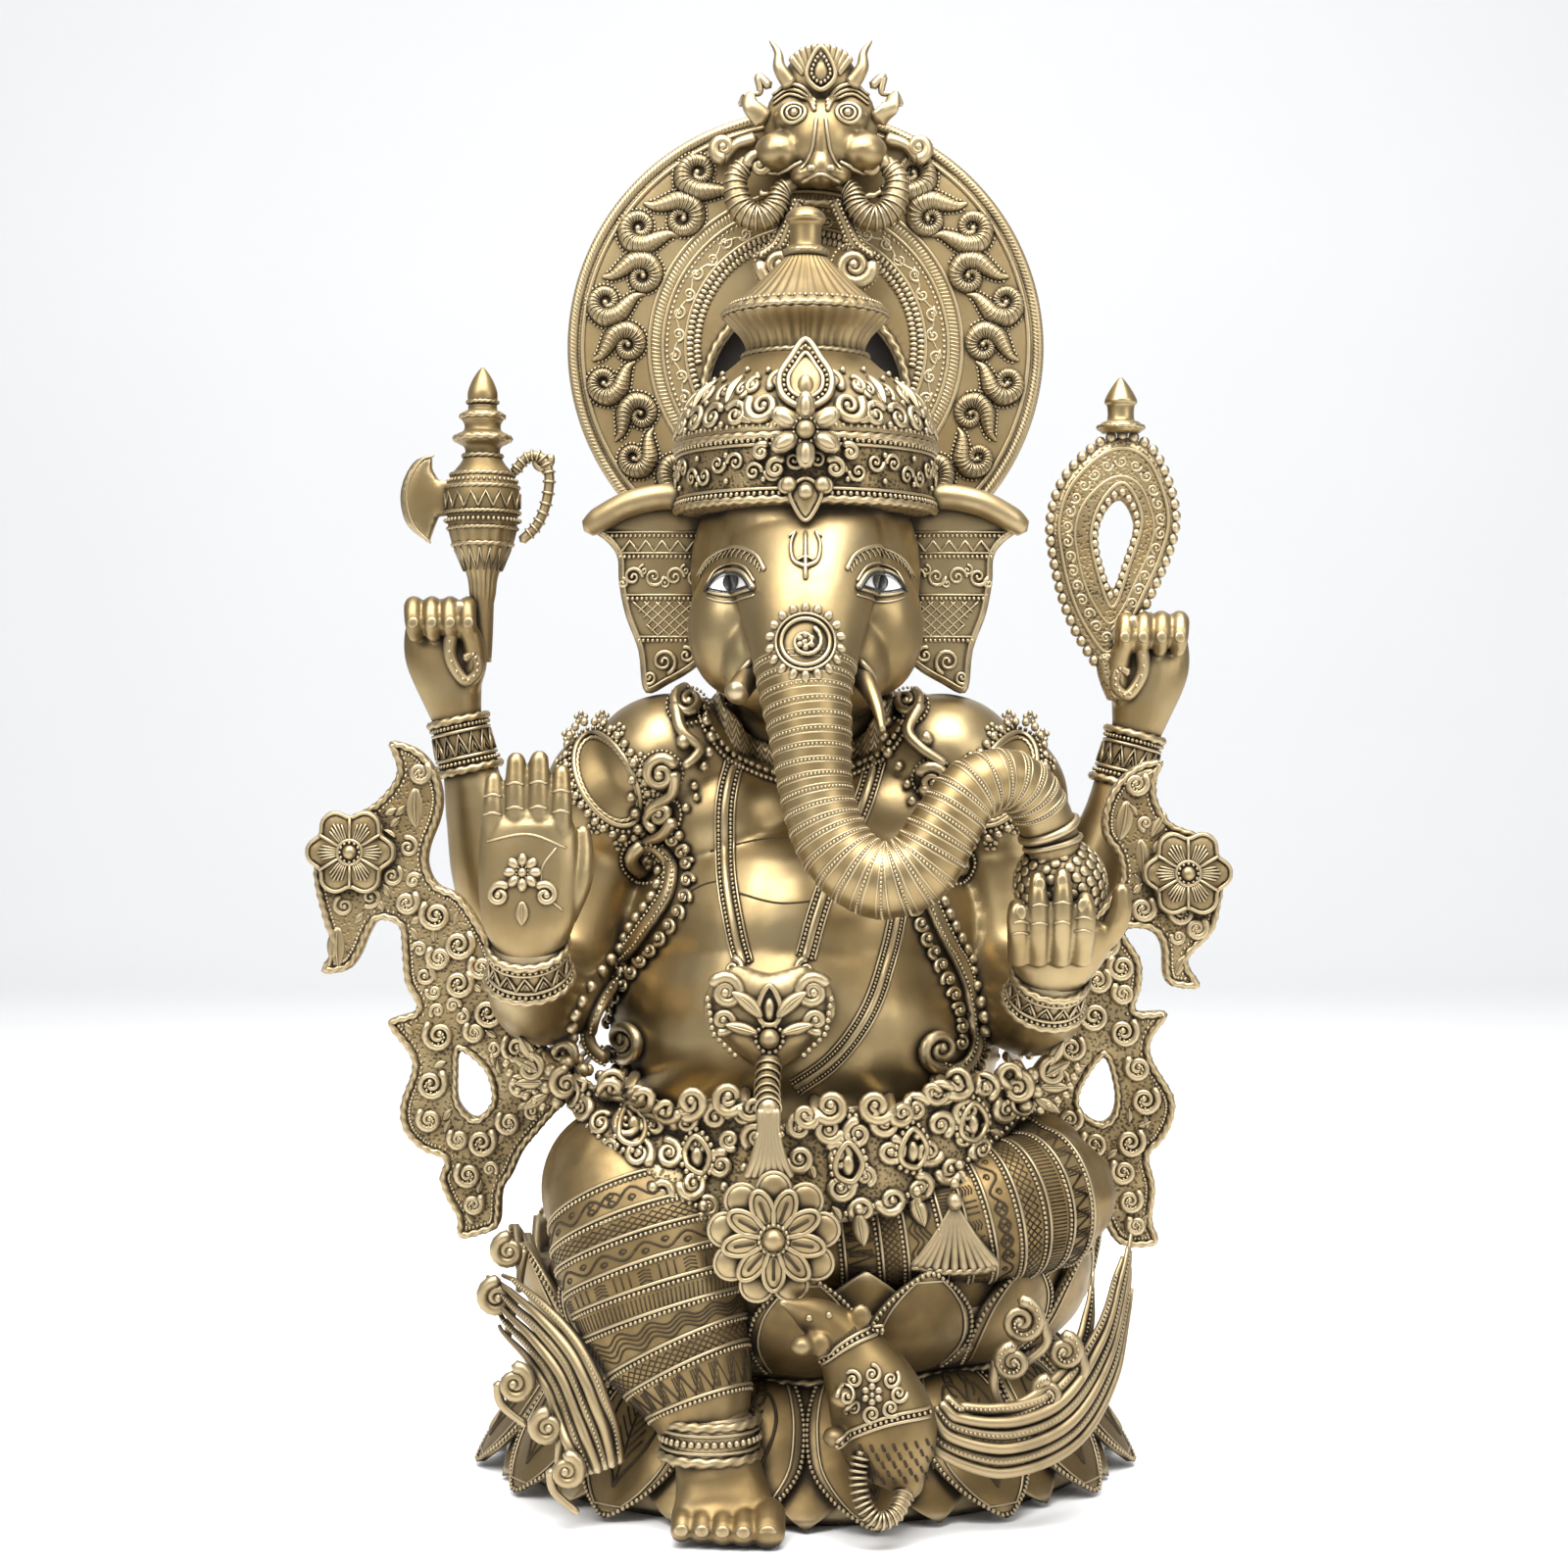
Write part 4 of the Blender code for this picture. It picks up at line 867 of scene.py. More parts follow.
# ---- crown -----------------------------------------------------------------------------------
CROWN_AXIS = (0, -48)
BAND_RADIUS = 80.0


def round_crown(radius_at):
    """Lays drawing of (arc length, height) round the crown, from its front."""
    def lay(uv, lift=0.0):
        points = []
        for u, z in uv:
            r = radius_at(z) + lift
            angle = u / BAND_RADIUS
            points.append((CROWN_AXIS[0] + r * math.sin(angle), CROWN_AXIS[1] - r * math.cos(angle), z))
        return np.array(points)
    return lay


DOME = [(80, 634), (79, 642), (75, 653), (68, 663), (58, 673), (46, 683), (38, 690)]


def dome_radius(z):
    heights = [p[1] for p in DOME]
    return float(np.interp(z, heights, [p[0] for p in DOME]))


def crown():
    work = Work()
    lathe(work, spline([(68, 590), (77, 592), (79, 596), (79, 630), (76, 634), (68, 634)], 4))
    work.build("crown_band_skin", GROUND, "crown_band")
    edges = Work()
    for z, size in ((594, 2.6), (600.5, 1.2), (627, 1.2), (632, 2.6)):
        ring = ring_points(BAND_RADIUS, z, CROWN_AXIS, 180)
        if size > 2:
            rope(edges, ring, size, closed=True)
        else:
            tube(edges, ring, size, 6, closed=True)
    beads(edges, ring_points(BAND_RADIUS + 1, 597.6, CROWN_AXIS, 130), 1.5)
    beads(edges, ring_points(BAND_RADIUS + 1, 629.4, CROWN_AXIS, 130), 1.5)
    lay = round_crown(lambda z: BAND_RADIUS)
    span = 25.0
    for k in range(20):
        u = (k + 0.5) * TURN * BAND_RADIUS / 20
        way = 1 if k % 2 else -1
        for side in (-1, 1):
            centre = (u + side * 6.0, 613.8 + side * way * 3.2)
            scroll(edges, lambda xz: lay(xz, 0.8), centre, 5.8, 1.35, 90 * side, side * way, 1.5, 0.8)
        beads(edges, lay([(u + span / 2, 606), (u + span / 2, 621.5)], 1.0), 1.8)
    edges.build("crown_band_relief", RELIEF)

    dome = Work()
    profile = spline([(70, 634.6), *[(r, z) for r, z in DOME], (36, 690.4)], 6)
    lathe(dome, profile, CROWN_AXIS)
    dome.build("crown_dome_skin", RELIEF, "crown_dome")
    over = Work()
    lay_dome = round_crown(dome_radius)
    for k in range(14):
        angle = (k + 0.5) * TURN / 14
        if abs(math.sin(angle / 2)) < 0.2:
            way = 1 if math.sin(angle) > 0 else -1
            for (du, z, r, start, turn, thick) in ((27, 650, 10, 60, 1, 3.4), (20, 667, 7, 150, -1, 2.6),
                                                   (38, 664, 5.5, -20, 1, 2.2)):
                scroll(over, lambda xz: lay_dome(xz, 1.6), (way * du, z), r, 1.6, way * start, way * turn,
                       thick, 1.4, 8)
            leaf(over, lambda xz: lay_dome(xz, 1.6), (way * 32, 640), way * 60, 16, 7)
            beads(over, lay_dome([(way * 14, 645), (way * 31, 674), (way * 43, 652)], 2.2), 2.4)
            continue
        u = angle * BAND_RADIUS
        for side in (-1, 1):
            scroll(over, lambda xz: lay_dome(xz, 1.4), (u + side * 9.0, 645.5), 8.0, 1.5, -side * 60,
                   side, 2.6, 1.2)
            scroll(over, lambda xz: lay_dome(xz, 1.2), (u + side * 7.5, 662), 6.2, 1.3, side * 160, -side,
                   2.0, 1.0)
        leaf(over, lambda xz: lay_dome(xz, 1.4), (u, 652), 0, 20, 8)
        beads(over, lay_dome([(u, 640), (u, 676), (u + 17, 655), (u + 15, 671)], 2.0), 2.1)
    ring = ring_points(38.5, 690, CROWN_AXIS, 110)
    rope(over, ring, 1.8, closed=True)
    beads(over, ring_points(79.4, 638.0, CROWN_AXIS, 110), 1.9)
    over.build("crown_dome_scrolls", RELIEF)

    front = Work()
    y = CROWN_AXIS[1] - BAND_RADIUS
    for k in range(6):
        a = TURN * k / 6
        spot = np.array((14.0 * math.sin(a), y - 6.5, 634 + 14.0 * math.cos(a)))
        oriented_petal(front, spot, a, 9.5, 6.6, 4.0)
        inner = spot - (0, 3.2, 0)
        oriented_petal(front, inner, a, 6.8, 4.2, 2.0)
    ball(front, (0, y - 9, 634), (5.6, 5.0, 5.6), 20)
    beads(front, ring_circle((0, y - 8, 634), 7.2, 14), 1.3)
    for side in (-1, 1):
        for dx, z, r in ((17, 612, 6.0), (26, 622, 5.0), (11, 601, 4.2)):
            scroll(front, lambda xz: lay(xz, 2.6), (side * dx, z), r, 1.4, -side * 40, side, 2.3, 1.1)
    for a in (130, 180, 230):
        x, z = 13 * math.sin(math.radians(a)), 610 + 12 * math.cos(math.radians(a))
        ball(front, (x, y - 3.5, z), (4.8, 3.6, 4.8), 12)
    tear = np.array([(0, 581), (7, 590), (9, 599), (0, 606), (-9, 599), (-7, 590)], float)
    panel(front, loop_spline(tear, 6), y - 1.0, y + 3.0, dome=2.5, cell=2.2, hump=6)
    tube(front, flat_at(y - 2.2)(loop_spline(tear, 8)), 1.3, 6, closed=True)
    front.build("crown_front_flower", RELIEF)

    jewel = Work()
    outline = loop_spline([(0, 692), (9, 680), (15.5, 668), (13, 655), (0, 648), (-13, 655), (-15.5, 668),
                           (-9, 680)], 6)
    base_y = CROWN_AXIS[1] - dome_radius(668)

    def tilt(xz):
        return np.array([(x, base_y - 7.0 + (z - 668) * 0.50, z) for x, z in xz])

    for scale, size in ((1.0, 2.2), (0.66, 1.5)):
        tube(jewel, tilt(grown(outline, (0, 666), scale)), size, 8, closed=True)
    beads(jewel, tilt(spaced(grown(outline, (0, 666), 0.83), 3.3, closed=True)), 1.4)
    body = Work()
    ball(body, (0, base_y - 3.6, 666), (13.5, 6.5, 19), 24)
    sheared = body.points[0]
    sheared[:, 1] += (sheared[:, 2] - 666) * 0.50
    jewel.add(sheared, body.faces)
    ball(jewel, (0, base_y - 8.5 - 2, 661), (5, 4, 8), 16)
    jewel.build("crown_jewel", RELIEF)


def ring_circle(centre, radius, count):
    """Points on an upright circle that faces forwards."""
    a = circle(count)
    return np.stack([centre[0] + radius * np.sin(a), np.full(count, centre[1]),
                     centre[2] + radius * np.cos(a)], axis=1)


def crown_top():
    """The ribbed neck, the flared rim, the ribbed cone and the finial."""
    def ribs(angles, r, z):
        return r * (1 + 0.035 * np.abs(np.sin(angles * 18))) - 0.6

    neck = Work()
    lathe(neck, spline([(36, 690.6), (37, 697), (41, 704), (48, 711), (50.5, 714)], 5), CROWN_AXIS, 216,
          ribs)
    lathe(neck, spline([(50, 714), (51.5, 717), (47, 721), (40, 726), (30, 735), (20, 745), (14, 751.6)],
                       5),
          CROWN_AXIS, 216, ribs)
    rope(neck, ring_points(51, 716, CROWN_AXIS, 160), 1.8, closed=True)
    beads(neck, ring_points(47.5, 721, CROWN_AXIS, 90), 1.3)
    neck.build("crown_cap_skin", RELIEF, "crown_cap")
    tip = Work()
    lathe(tip, spline([(13.5, 752.6), (14.5, 755), (12, 758), (9.8, 760), (9.8, 770), (10.6, 773),
                       (12.6, 775.5), (11.5, 779), (7, 782.5), (1, 784)], 5), CROWN_AXIS, 40)
    rope(tip, ring_points(13.5, 755.5, CROWN_AXIS, 60), 1.3, closed=True)
    tip.build("crown_finial_skin", SMOOTH, "crown_finial")


# ---- aureole ---------------------------------------------------------------------------------
AUREOLE_CENTRE, AUREOLE_RADIUS, AUREOLE_FRONT = 714.0, 158.0, 63.0


def round_aureole(radius, degrees):
    """The (x, z) place at a radius and an angle from straight up."""
    a = math.radians(degrees)
    return radius * math.sin(a), AUREOLE_CENTRE + radius * math.cos(a)


def aureole_arc(radius, low, high, count=160):
    return np.array([round_aureole(radius, d) for d in np.linspace(low, high, count)])


ARCH_CENTRE, ARCH_HALF = 682.0, 64.0


def arch_line(grow, count=60, foot=604.0):
    """The opening's outline, grown by a margin."""
    r = ARCH_HALF + grow
    arc = [(r * math.sin(math.radians(a)), ARCH_CENTRE + r * math.cos(math.radians(a)))
           for a in np.linspace(-104, 104, count)]
    return np.array([(-r + 3, foot), *arc, (r - 3, foot)])


def aureole():
    front = AUREOLE_FRONT
    outer = [tuple(p) for p in aureole_arc(AUREOLE_RADIUS - 1.5, -146, 146, 90)]
    legs = [(59, 582), (59, 441), (37, 441), (37, 560), (-37, 560), (-37, 441), (-59, 441), (-59, 582)]
    hole = [(x, z) for x, z in arch_line(0, 30, 600)]
    plate_work = Work()
    panel(plate_work, [*outer, *legs], front + 1.5, front + 10.5, holes=[hole], cell=5.0, dome=1.5, hump=16)
    plate_work.build("aureole_plate", RELIEF, "aureole")

    work = Work()
    at = flat_at(front + 0.6)
    tube(work, flat_at(front + 3)(aureole_arc(AUREOLE_RADIUS - 4.2, -143, 143)), 4.0, 10)
    for d in np.arange(-142, 142.1, 0.95):
        ends = np.array([round_aureole(AUREOLE_RADIUS - 7.6, d), round_aureole(AUREOLE_RADIUS - 4.2,
                                                                               d + 0.9),
                         round_aureole(AUREOLE_RADIUS - 0.9, d + 1.8)])
        tube(work, flat_at(front - 0.6)(ends) + [(0, 1.6, 0), (0, -0.4, 0), (0, 1.8, 0)], 0.75, 4)
    tube(work, at(aureole_arc(147.6, -140, 140)), 1.8, 8)
    tube(work, at(aureole_arc(103.5, -128, 128)), 1.8, 8)
    tube(work, at(aureole_arc(94.5, -124, 124)), 1.6, 8)
    for d in np.arange(-124, 124.1, 1.5):
        tube(work, at([round_aureole(95.5, d), round_aureole(102.5, d + 1.0)]), 0.9, 5)
    tube(work, at(aureole_arc(79.5, -118, 118)), 1.6, 8)
    beads(work, at([round_aureole(91.8, d) for d in np.arange(-124, 124.1, 2.3)]), 1.5)
    for k, d in enumerate(np.arange(-122, 122.1, 9.4)):
        way = 1 if k % 2 else -1
        x, z = round_aureole(85.8 + way * 1.1, d)
        scroll(work, at, (x, z), 4.6, 1.4, d + 90 * way, way, 1.5, 0.8)
        mid = [round_aureole(85.8 + way * 3.4, d - 3), round_aureole(85.8, d + 4.7),
               round_aureole(85.8 - way * 3.4, d + 8)]
        stroke(work, at, mid, 1.2, 0.8, steps=4)
    for d in np.arange(-118, 118.1, 2.7):
        for r in (76.5, 71.6):
            if abs(d) < 100 or r > 74:
                x, z = round_aureole(r, d + (1.35 if r < 74 else 0))
                oriented_petal(work, np.array((x, front, z)), math.radians(d), 3.0, 1.9, 1.7)
    rope(work, flat_at(front - 0.4)(arch_line(3.4, 90, 612)), 2.6)
    work.build("aureole_rims", RELIEF)

    flames = Work()
    for side in (-1, 1):
        for k in range(10):
            degrees = 32 + k * 11.4
            inward = k % 2 == 0
            size = 12.4 - 0.24 * k
            flame(flames, round_aureole(134 if inward else 119, side * degrees), degrees, side, size,
                  inward, at)
    flames.build("aureole_flames", RELIEF)


FLAME = [
    (-1.95, 1.00, 0.08), (-1.45, 0.72, 0.26), (-1.05, 0.10, 0.44), (-0.68, -0.52, 0.54), (0.0, -0.84, 0.52),
    (0.66, -0.50, 0.43), (0.82, 0.12, 0.35), (0.48, 0.62, 0.29), (-0.04, 0.66, 0.25), (-0.34, 0.32, 0.22),
    (-0.28, -0.06, 0.20), (0.0, -0.16, 0.18), (0.16, 0.02, 0.17),
]


def flame(work, centre, degrees, side, size, inward, at):
    """A comma-shaped scroll with a ribbed body: a coiled head and a swinging tail that ends in a point."""
    out = math.radians(degrees) * side
    radial, around = np.array((math.sin(out), math.cos(out))), np.array((math.cos(out),
                                                                         -math.sin(out))) * side
    way = -1 if inward else 1
    line = spline(FLAME, 6)
    flat = np.array(centre) + (np.outer(-line[:, 0] * way, radial)
                               + np.outer(line[:, 1] * way, around)) * size
    laid = at(flat) + (0, -size * 0.10, 0)
    tube(work, laid, line[:, 2] * size, 10, flat=0.85, hint=leaf_hint(laid))
    beads(work, laid[-1:], size * 0.20)
    ahead = unit(np.gradient(flat, axis=0))
    across = np.stack([-ahead[:, 1], ahead[:, 0]], axis=1)
    for k in range(6, len(flat) - 10, 2):
        width = line[k, 2] * size
        y = laid[k, 1]
        rib = [(*(flat[k] + across[k] * width * 0.95 * s + ahead[k] * width * 0.3 * (1 - s * s)),
                y - width * 0.90 * math.sqrt(max(0.0, 1 - 0.85 * s * s))) for s in (-1, -0.5, 0, 0.5, 1)]
        tube(work, [(x, depth, z) for x, z, depth in rib], 0.62, 4)
    for way, last in ((1, 20), (-1, 44)):
        edge = flat[3:-last] + across[3:-last] * (line[3:-last, 2:3] * size + 1.2) * way
        beads(work, at(spaced(edge, 2.7)) + (0, -0.5, 0), 1.15)


# ---- lion mask -------------------------------------------------------------------------------
MASK_X = 10.0


def lion_mask():
    def spots(side, *places):
        """Places measured from the mask's middle."""
        return [(MASK_X + x, *rest) for x, *rest in mirrored(side, *places)]

    work = Work()
    for centre, radii in (
        ((0, 54, 858), (38, 12, 38)), ((0, 44, 848), (24, 20, 26)), ((0, 52, 888), (24, 14, 22)),
        ((-27, 44, 838), (17, 18, 14)), ((27, 44, 838), (17, 18, 14)), ((0, 36, 826), (11, 14, 13)),
        ((0, 37, 844), (7, 14, 20)), ((-11, 38, 822), (9, 11, 7)), ((11, 38, 822), (9, 11, 7)),
        ((-19, 42, 860), (12, 13, 10)), ((19, 42, 860), (12, 13, 10)),
    ):
        ball(work, (MASK_X + centre[0], centre[1], centre[2]), radii, 28)
    skin = work.build("lion_face", SMOOTH, "lion_mask")
    fuse(skin, 1.7, passes=6)
    drape = Drape(skin)
    relief = Work()
    for side in (-1, 1):
        eye = (MASK_X + side * 17.5, 861)
        for r, thick in ((7.6, 1.5), (4.6, 1.1)):
            tube(relief, drape.lay(oval(eye, r, r * 0.82, 28), 0.8), thick, 6, closed=True)
        ball(relief, drape.lay([eye], 0.4)[0], (2.8, 2.6, 2.8), 14)
        brow = spots(side, (4, 862), (9, 872), (20, 877), (31, 871))
        for step in range(3):
            stroke(relief, drape.at(1.0), [(x, z + 3.2 * step) for x, z in brow], 1.6, 0.9)
        stroke(relief, drape.at(0.6), spots(side, (3, 856), (5, 840), (8, 830), (13, 824)), 1.3, 1.0)
        whisker = spots(side, (12, 829), (22, 826), (33, 824), (40, 830))
        stroke(relief, drape.at(0.8), whisker, 1.7, 0.9)
        horn = spots(side, (20, 46, 884), (27, 44, 894), (28, 46, 904), (33, 50, 913))
        line = spline(horn, 6)
        tube(relief, line, taper(len(line), 6.0, 1.0), 12)
        ear = spots(side, (38, 50, 862), (46, 48, 870), (48, 52, 878), (53, 54, 872))
        line = spline(ear, 6)
        tube(relief, line, taper(len(line), 7.5, 2.0), 12, flat=0.5, hint=(1, 0, 0.6))
        curl = spots(side, (44, 850), (56, 846), (64, 836))
        stroke(relief, flat_at(56), curl, 5.0, 3.0)
        scroll(relief, flat_at(55), (MASK_X + side * 64, 844), 7.5, 1.4, side * 180, -side, 4.4, 2.0, 8)
        mane = spots(side, (34, 884), (41, 890), (40, 880), (47, 879))
        stroke(relief, flat_at(52), mane, 3.4, 1.6)
        nostril = drape.lay(spots(side, (6, 824)), 0.3)[0]
        ball(relief, nostril, (3.4, 2.2, 2.4), 12)
    for k in range(11):
        a = math.radians(-50 + 10 * k)
        foot = (MASK_X + 15 * math.sin(a), 884 + 8 * math.cos(a))
        top = (MASK_X + 25 * math.sin(a), 884 + 24 * math.cos(a))
        stroke(relief, flat_at(40), [foot, ((foot[0] + top[0]) / 2, (foot[1] + top[1]) / 2), top], 2.2,
               2.6, sides=8)
    drop = loop_spline([(MASK_X, 905), (MASK_X + 8, 893), (MASK_X + 8.5, 884), (MASK_X, 877),
                        (MASK_X - 8.5, 884), (MASK_X - 8, 893)], 6)
    tube(relief, flat_at(33)(drop), 1.7, 8, closed=True)
    ball(relief, (MASK_X, 37, 889), (7.5, 5, 11), 18)
    beads(relief, flat_at(31.6)(spaced(grown(drop, (MASK_X, 889), 0.66), 2.9, closed=True)), 1.2)
    stroke(relief, drape.at(0.8), [(MASK_X - 12, 817), (MASK_X, 820), (MASK_X + 12, 817)], 1.4, 1.4)
    rope(relief, flat_at(44)(spline([(MASK_X - 40, 812), (MASK_X - 20, 807), (MASK_X, 806),
                                     (MASK_X + 20, 807), (MASK_X + 40, 812)], 6)), 2.4)
    relief.build("lion_relief", RELIEF)
    scrolls = Work()
    for side in (-1, 1):
        x = MASK_X - 3
        arm = [(x + side * 45, 44, 832), (x + side * 53, 42, 820), (x + side * 49, 40, 801),
               (x + side * 37, 38, 794), (x + side * 27, 38, 801), (x + side * 23, 40, 812),
               (x + side * 15, 42, 818)]
        line = spline(arm, 8)
        n = len(line)
        tube(scrolls, line, fade(n, [0, 0.3, 0.7, 1], [5.5, 8.5, 7.0, 4.0]), 14)
        for k in range(3, n - 4, 2):
            ribbed(scrolls, line[k], line[k + 1] - line[k], np.interp(k / n, [0, 0.3, 0.7, 1],
                                                                      [5.8, 8.9, 7.4, 4.4]))
        scroll(scrolls, flat_at(40), (x + side * 37, 829), 8.5, 1.3, side * 90, -side, 4.0, 2.0, sides=10)
        strand = spline([(x + side * 14, 806), (x + side * 20, 792), (x + side * 26, 778),
                         (x + side * 36, 770)], 8)
        tube(scrolls, flat_at(43)(strand), 4.2, 10)
        for way in (-4.6, 0, 4.6):
            beads(scrolls, flat_at(41.5 if way else 38.4)(spaced(strand + (way, 0), 3.0)), 1.4)
        scroll(scrolls, flat_at(40), (x + side * 25, 763), 12.0, 1.7, side * 80, side, 4.6, 2.2, sides=10)
        around = oval((x + side * 25, 763), 15.6, 15.6, 30)
        beads(scrolls, flat_at(42)(spaced(around, 3.0, closed=True)), 1.2)
    for k in range(4):
        stroke(scrolls, flat_at(50), [(-9 + 6 * k, 802), (-8 + 5.4 * k, 785), (-7 + 4.8 * k, 768)], 2.4,
               1.6)
    scrolls.build("lion_scrolls", RELIEF)


def ribbed(work, centre, along, radius):
    """A thin ring round a bar."""
    along = unit(along)
    across = unit(np.cross(along, (0, 1, 0)))
    tube(work, hoop(centre, across, np.cross(along, across), radius, radius, 16), 0.9, 5, closed=True)


# ---- ears ------------------------------------------------------------------------------------
EAR = [
    (-60, 600), (-84, 607), (-112, 606), (-132, 594), (-137, 586), (-124, 576), (-117, 566), (-116, 550),
    (-112, 530), (-104, 508), (-100, 482), (-84, 488), (-68, 498), (-58, 512), (-56, 560),
]


def ears():
    for side in (-1, 1):
        outline = loop_spline(mirrored(-side, *EAR), 5)
        work = Work()
        panel(work, outline, -48.5, -40.5, cell=3.4, dome=2.6, hump=20)
        name = "right_ear" if side < 0 else "left_ear"
        work.build(name + "_skin", SMOOTH, name)
        trim = Work()
        at = flat_at(-51.2)
        roll = [(side * 60, -50, 598), (side * 84, -53, 603), (side * 108, -54, 599),
                (side * 126, -52, 590), (side * 135, -49, 584)]
        line = spline(roll, 8)
        tube(trim, line, fade(len(line), [0, 0.2, 0.8, 1], [5, 8, 8, 6]), 18)
        for z, left, right in ((579, 62, 124), (566, 60, 117), (540, 58, 113), (514, 60, 105)):
            row = np.array([(side * x, z) for x in np.arange(left, right, 2.9)])
            beads(trim, at(row), 1.25)
            tube(trim, at([(side * left, z + 2.4), (side * right, z + 2.4)]), 0.7, 5)
        for k in range(5):
            x = 64 + 10 * k
            chevron = [(side * x, 569.5), (side * (x + 5), 576), (side * (x + 10), 569.5)]
            tube(trim, at(np.array(chevron)), 1.0, 5)
        for k in range(4):
            centre = (side * (68 + 13 * k), 553.5)
            way = 1 if k % 2 else -1
            scroll(trim, at, centre, 6.0, 1.5, 90, way * side, 1.4, 0.7)
            scroll(trim, at, (centre[0] + side * 6.5, 549.5 if way > 0 else 557.5), 3.4, 1.2, 0,
                   -way * side, 1.1, 0.6)
        for k in range(-3, 7):
            for slope in (-1, 1):
                foot = 62 + k * 7
                line = np.array([(side * (foot + 24 * s * (slope > 0) + 24 * (1 - s) * (slope < 0)),
                                  516 + 22 * s)
                                 for s in np.linspace(0, 1, 12)])
                keep = line[(np.abs(line[:, 0]) > 59) & (np.abs(line[:, 0]) < 60
                                                         + (line[:, 1] - 470) * 0.72)]
                if len(keep) > 2:
                    tube(trim, at(keep), 0.7, 4)
        scroll(trim, at, (side * 88, 501), 8.0, 1.7, side * 200, side, 1.6, 0.8)
        scroll(trim, at, (side * 74, 505), 5.2, 1.4, side * 20, -side, 1.4, 0.8)
        scroll(trim, at, (side * 97, 491), 4.2, 1.3, side * 160, side, 1.3, 0.7)
        for run in runs(inset(outline, 3.2, 2.9), 9):
            low = run[run[:, 1] < 584]
            for piece in runs(low, 9):
                tube(trim, at(piece), 0.9, 5)
        trim.build(name + "_relief", RELIEF)


# ---- arms, cuffs and hands -------------------------------------------------------------------
def cuff(name, low, high, r_low, r_high):
    """A band between two roped rings, with a row of raised triangles."""
    work = Work()
    low, high = np.array(low, float), np.array(high, float)
    along = unit(high - low)
    across = unit(np.cross(along, (0, 1, 0)))
    deep = np.cross(along, across)

    def ring(share, grow, count=72):
        r = r_low + (r_high - r_low) * share + grow
        return hoop(low + (high - low) * share, across, deep, r, r, count)

    def spot(share, angle, grow):
        r = r_low + (r_high - r_low) * share + grow
        return low + (high - low) * share + (np.cos(angle) * across + np.sin(angle) * deep) * r

    line = np.linspace(low, high, 5)
    tube(work, line, np.linspace(r_low, r_high, 5) - 0.6, 40)
    for share, size in ((0.02, 2.4), (0.26, 1.2), (0.76, 1.2), (0.98, 2.4)):
        if size > 2:
            rope(work, ring(share, 0.6), size, closed=True)
        else:
            tube(work, ring(share, 0.2), size, 6, closed=True)
    beads(work, ring(0.16, 0.8, 44), 1.3)
    beads(work, ring(0.86, 0.8, 44), 1.3)
    for k in range(14):
        a, b = TURN * k / 14, TURN * (k + 1) / 14
        tube(work, [spot(0.32, a, 0.4), spot(0.70, (a + b) / 2, 0.4), spot(0.32, b, 0.4)], 1.0, 5)
        tube(work, [spot(0.36, (a + b) / 2 - 0.1, 0.2), spot(0.54, (a + b) / 2, 0.2),
                             spot(0.36, (a + b) / 2 + 0.1, 0.2)], 0.7, 4)
    return work.build(name + "_skin", RELIEF, name)


def armlets():
    """The plain oval plates on the shoulders, with beaded borders and a fringe of flowerets."""
    drape = Drape(body_skin)
    work = Work()
    for side in (-1, 1):
        centre = (side * 122, 428)
        plate = turned(flat_at(0)(oval((0, 0), 17, 31, 60)), side * 0.5)[:, ::2] + centre
        tube(work, drape.lay(plate, 0.8), 1.8, 8, closed=True)
        for scale, gap, size in ((1.13, 3.4, 1.5), (1.27, 6.6, 2.9)):
            beads(work, drape.lay(spaced(grown(plate, centre, scale), gap, closed=True), 1.0), size)
        rope(work, drape.lay(spaced(grown(plate, centre, 0.9), 1.6, closed=True), 0.5), 1.3, closed=True)
        for spot in plate[::5]:
            rosette(work, drape.at(1.0), grown(spot, centre, 1.44), 5.0, 5, 1.6)
    work.build("shoulder_plates", RELIEF)


def finger_line(work, points, radius, tip):
    line = spline(points, 8)
    r = fade(len(line), [0, 0.5, 1], [radius, radius * 0.97, tip])
    tube(work, line, r, 14)
    ball(work, line[-1], (tip,) * 3, 14)


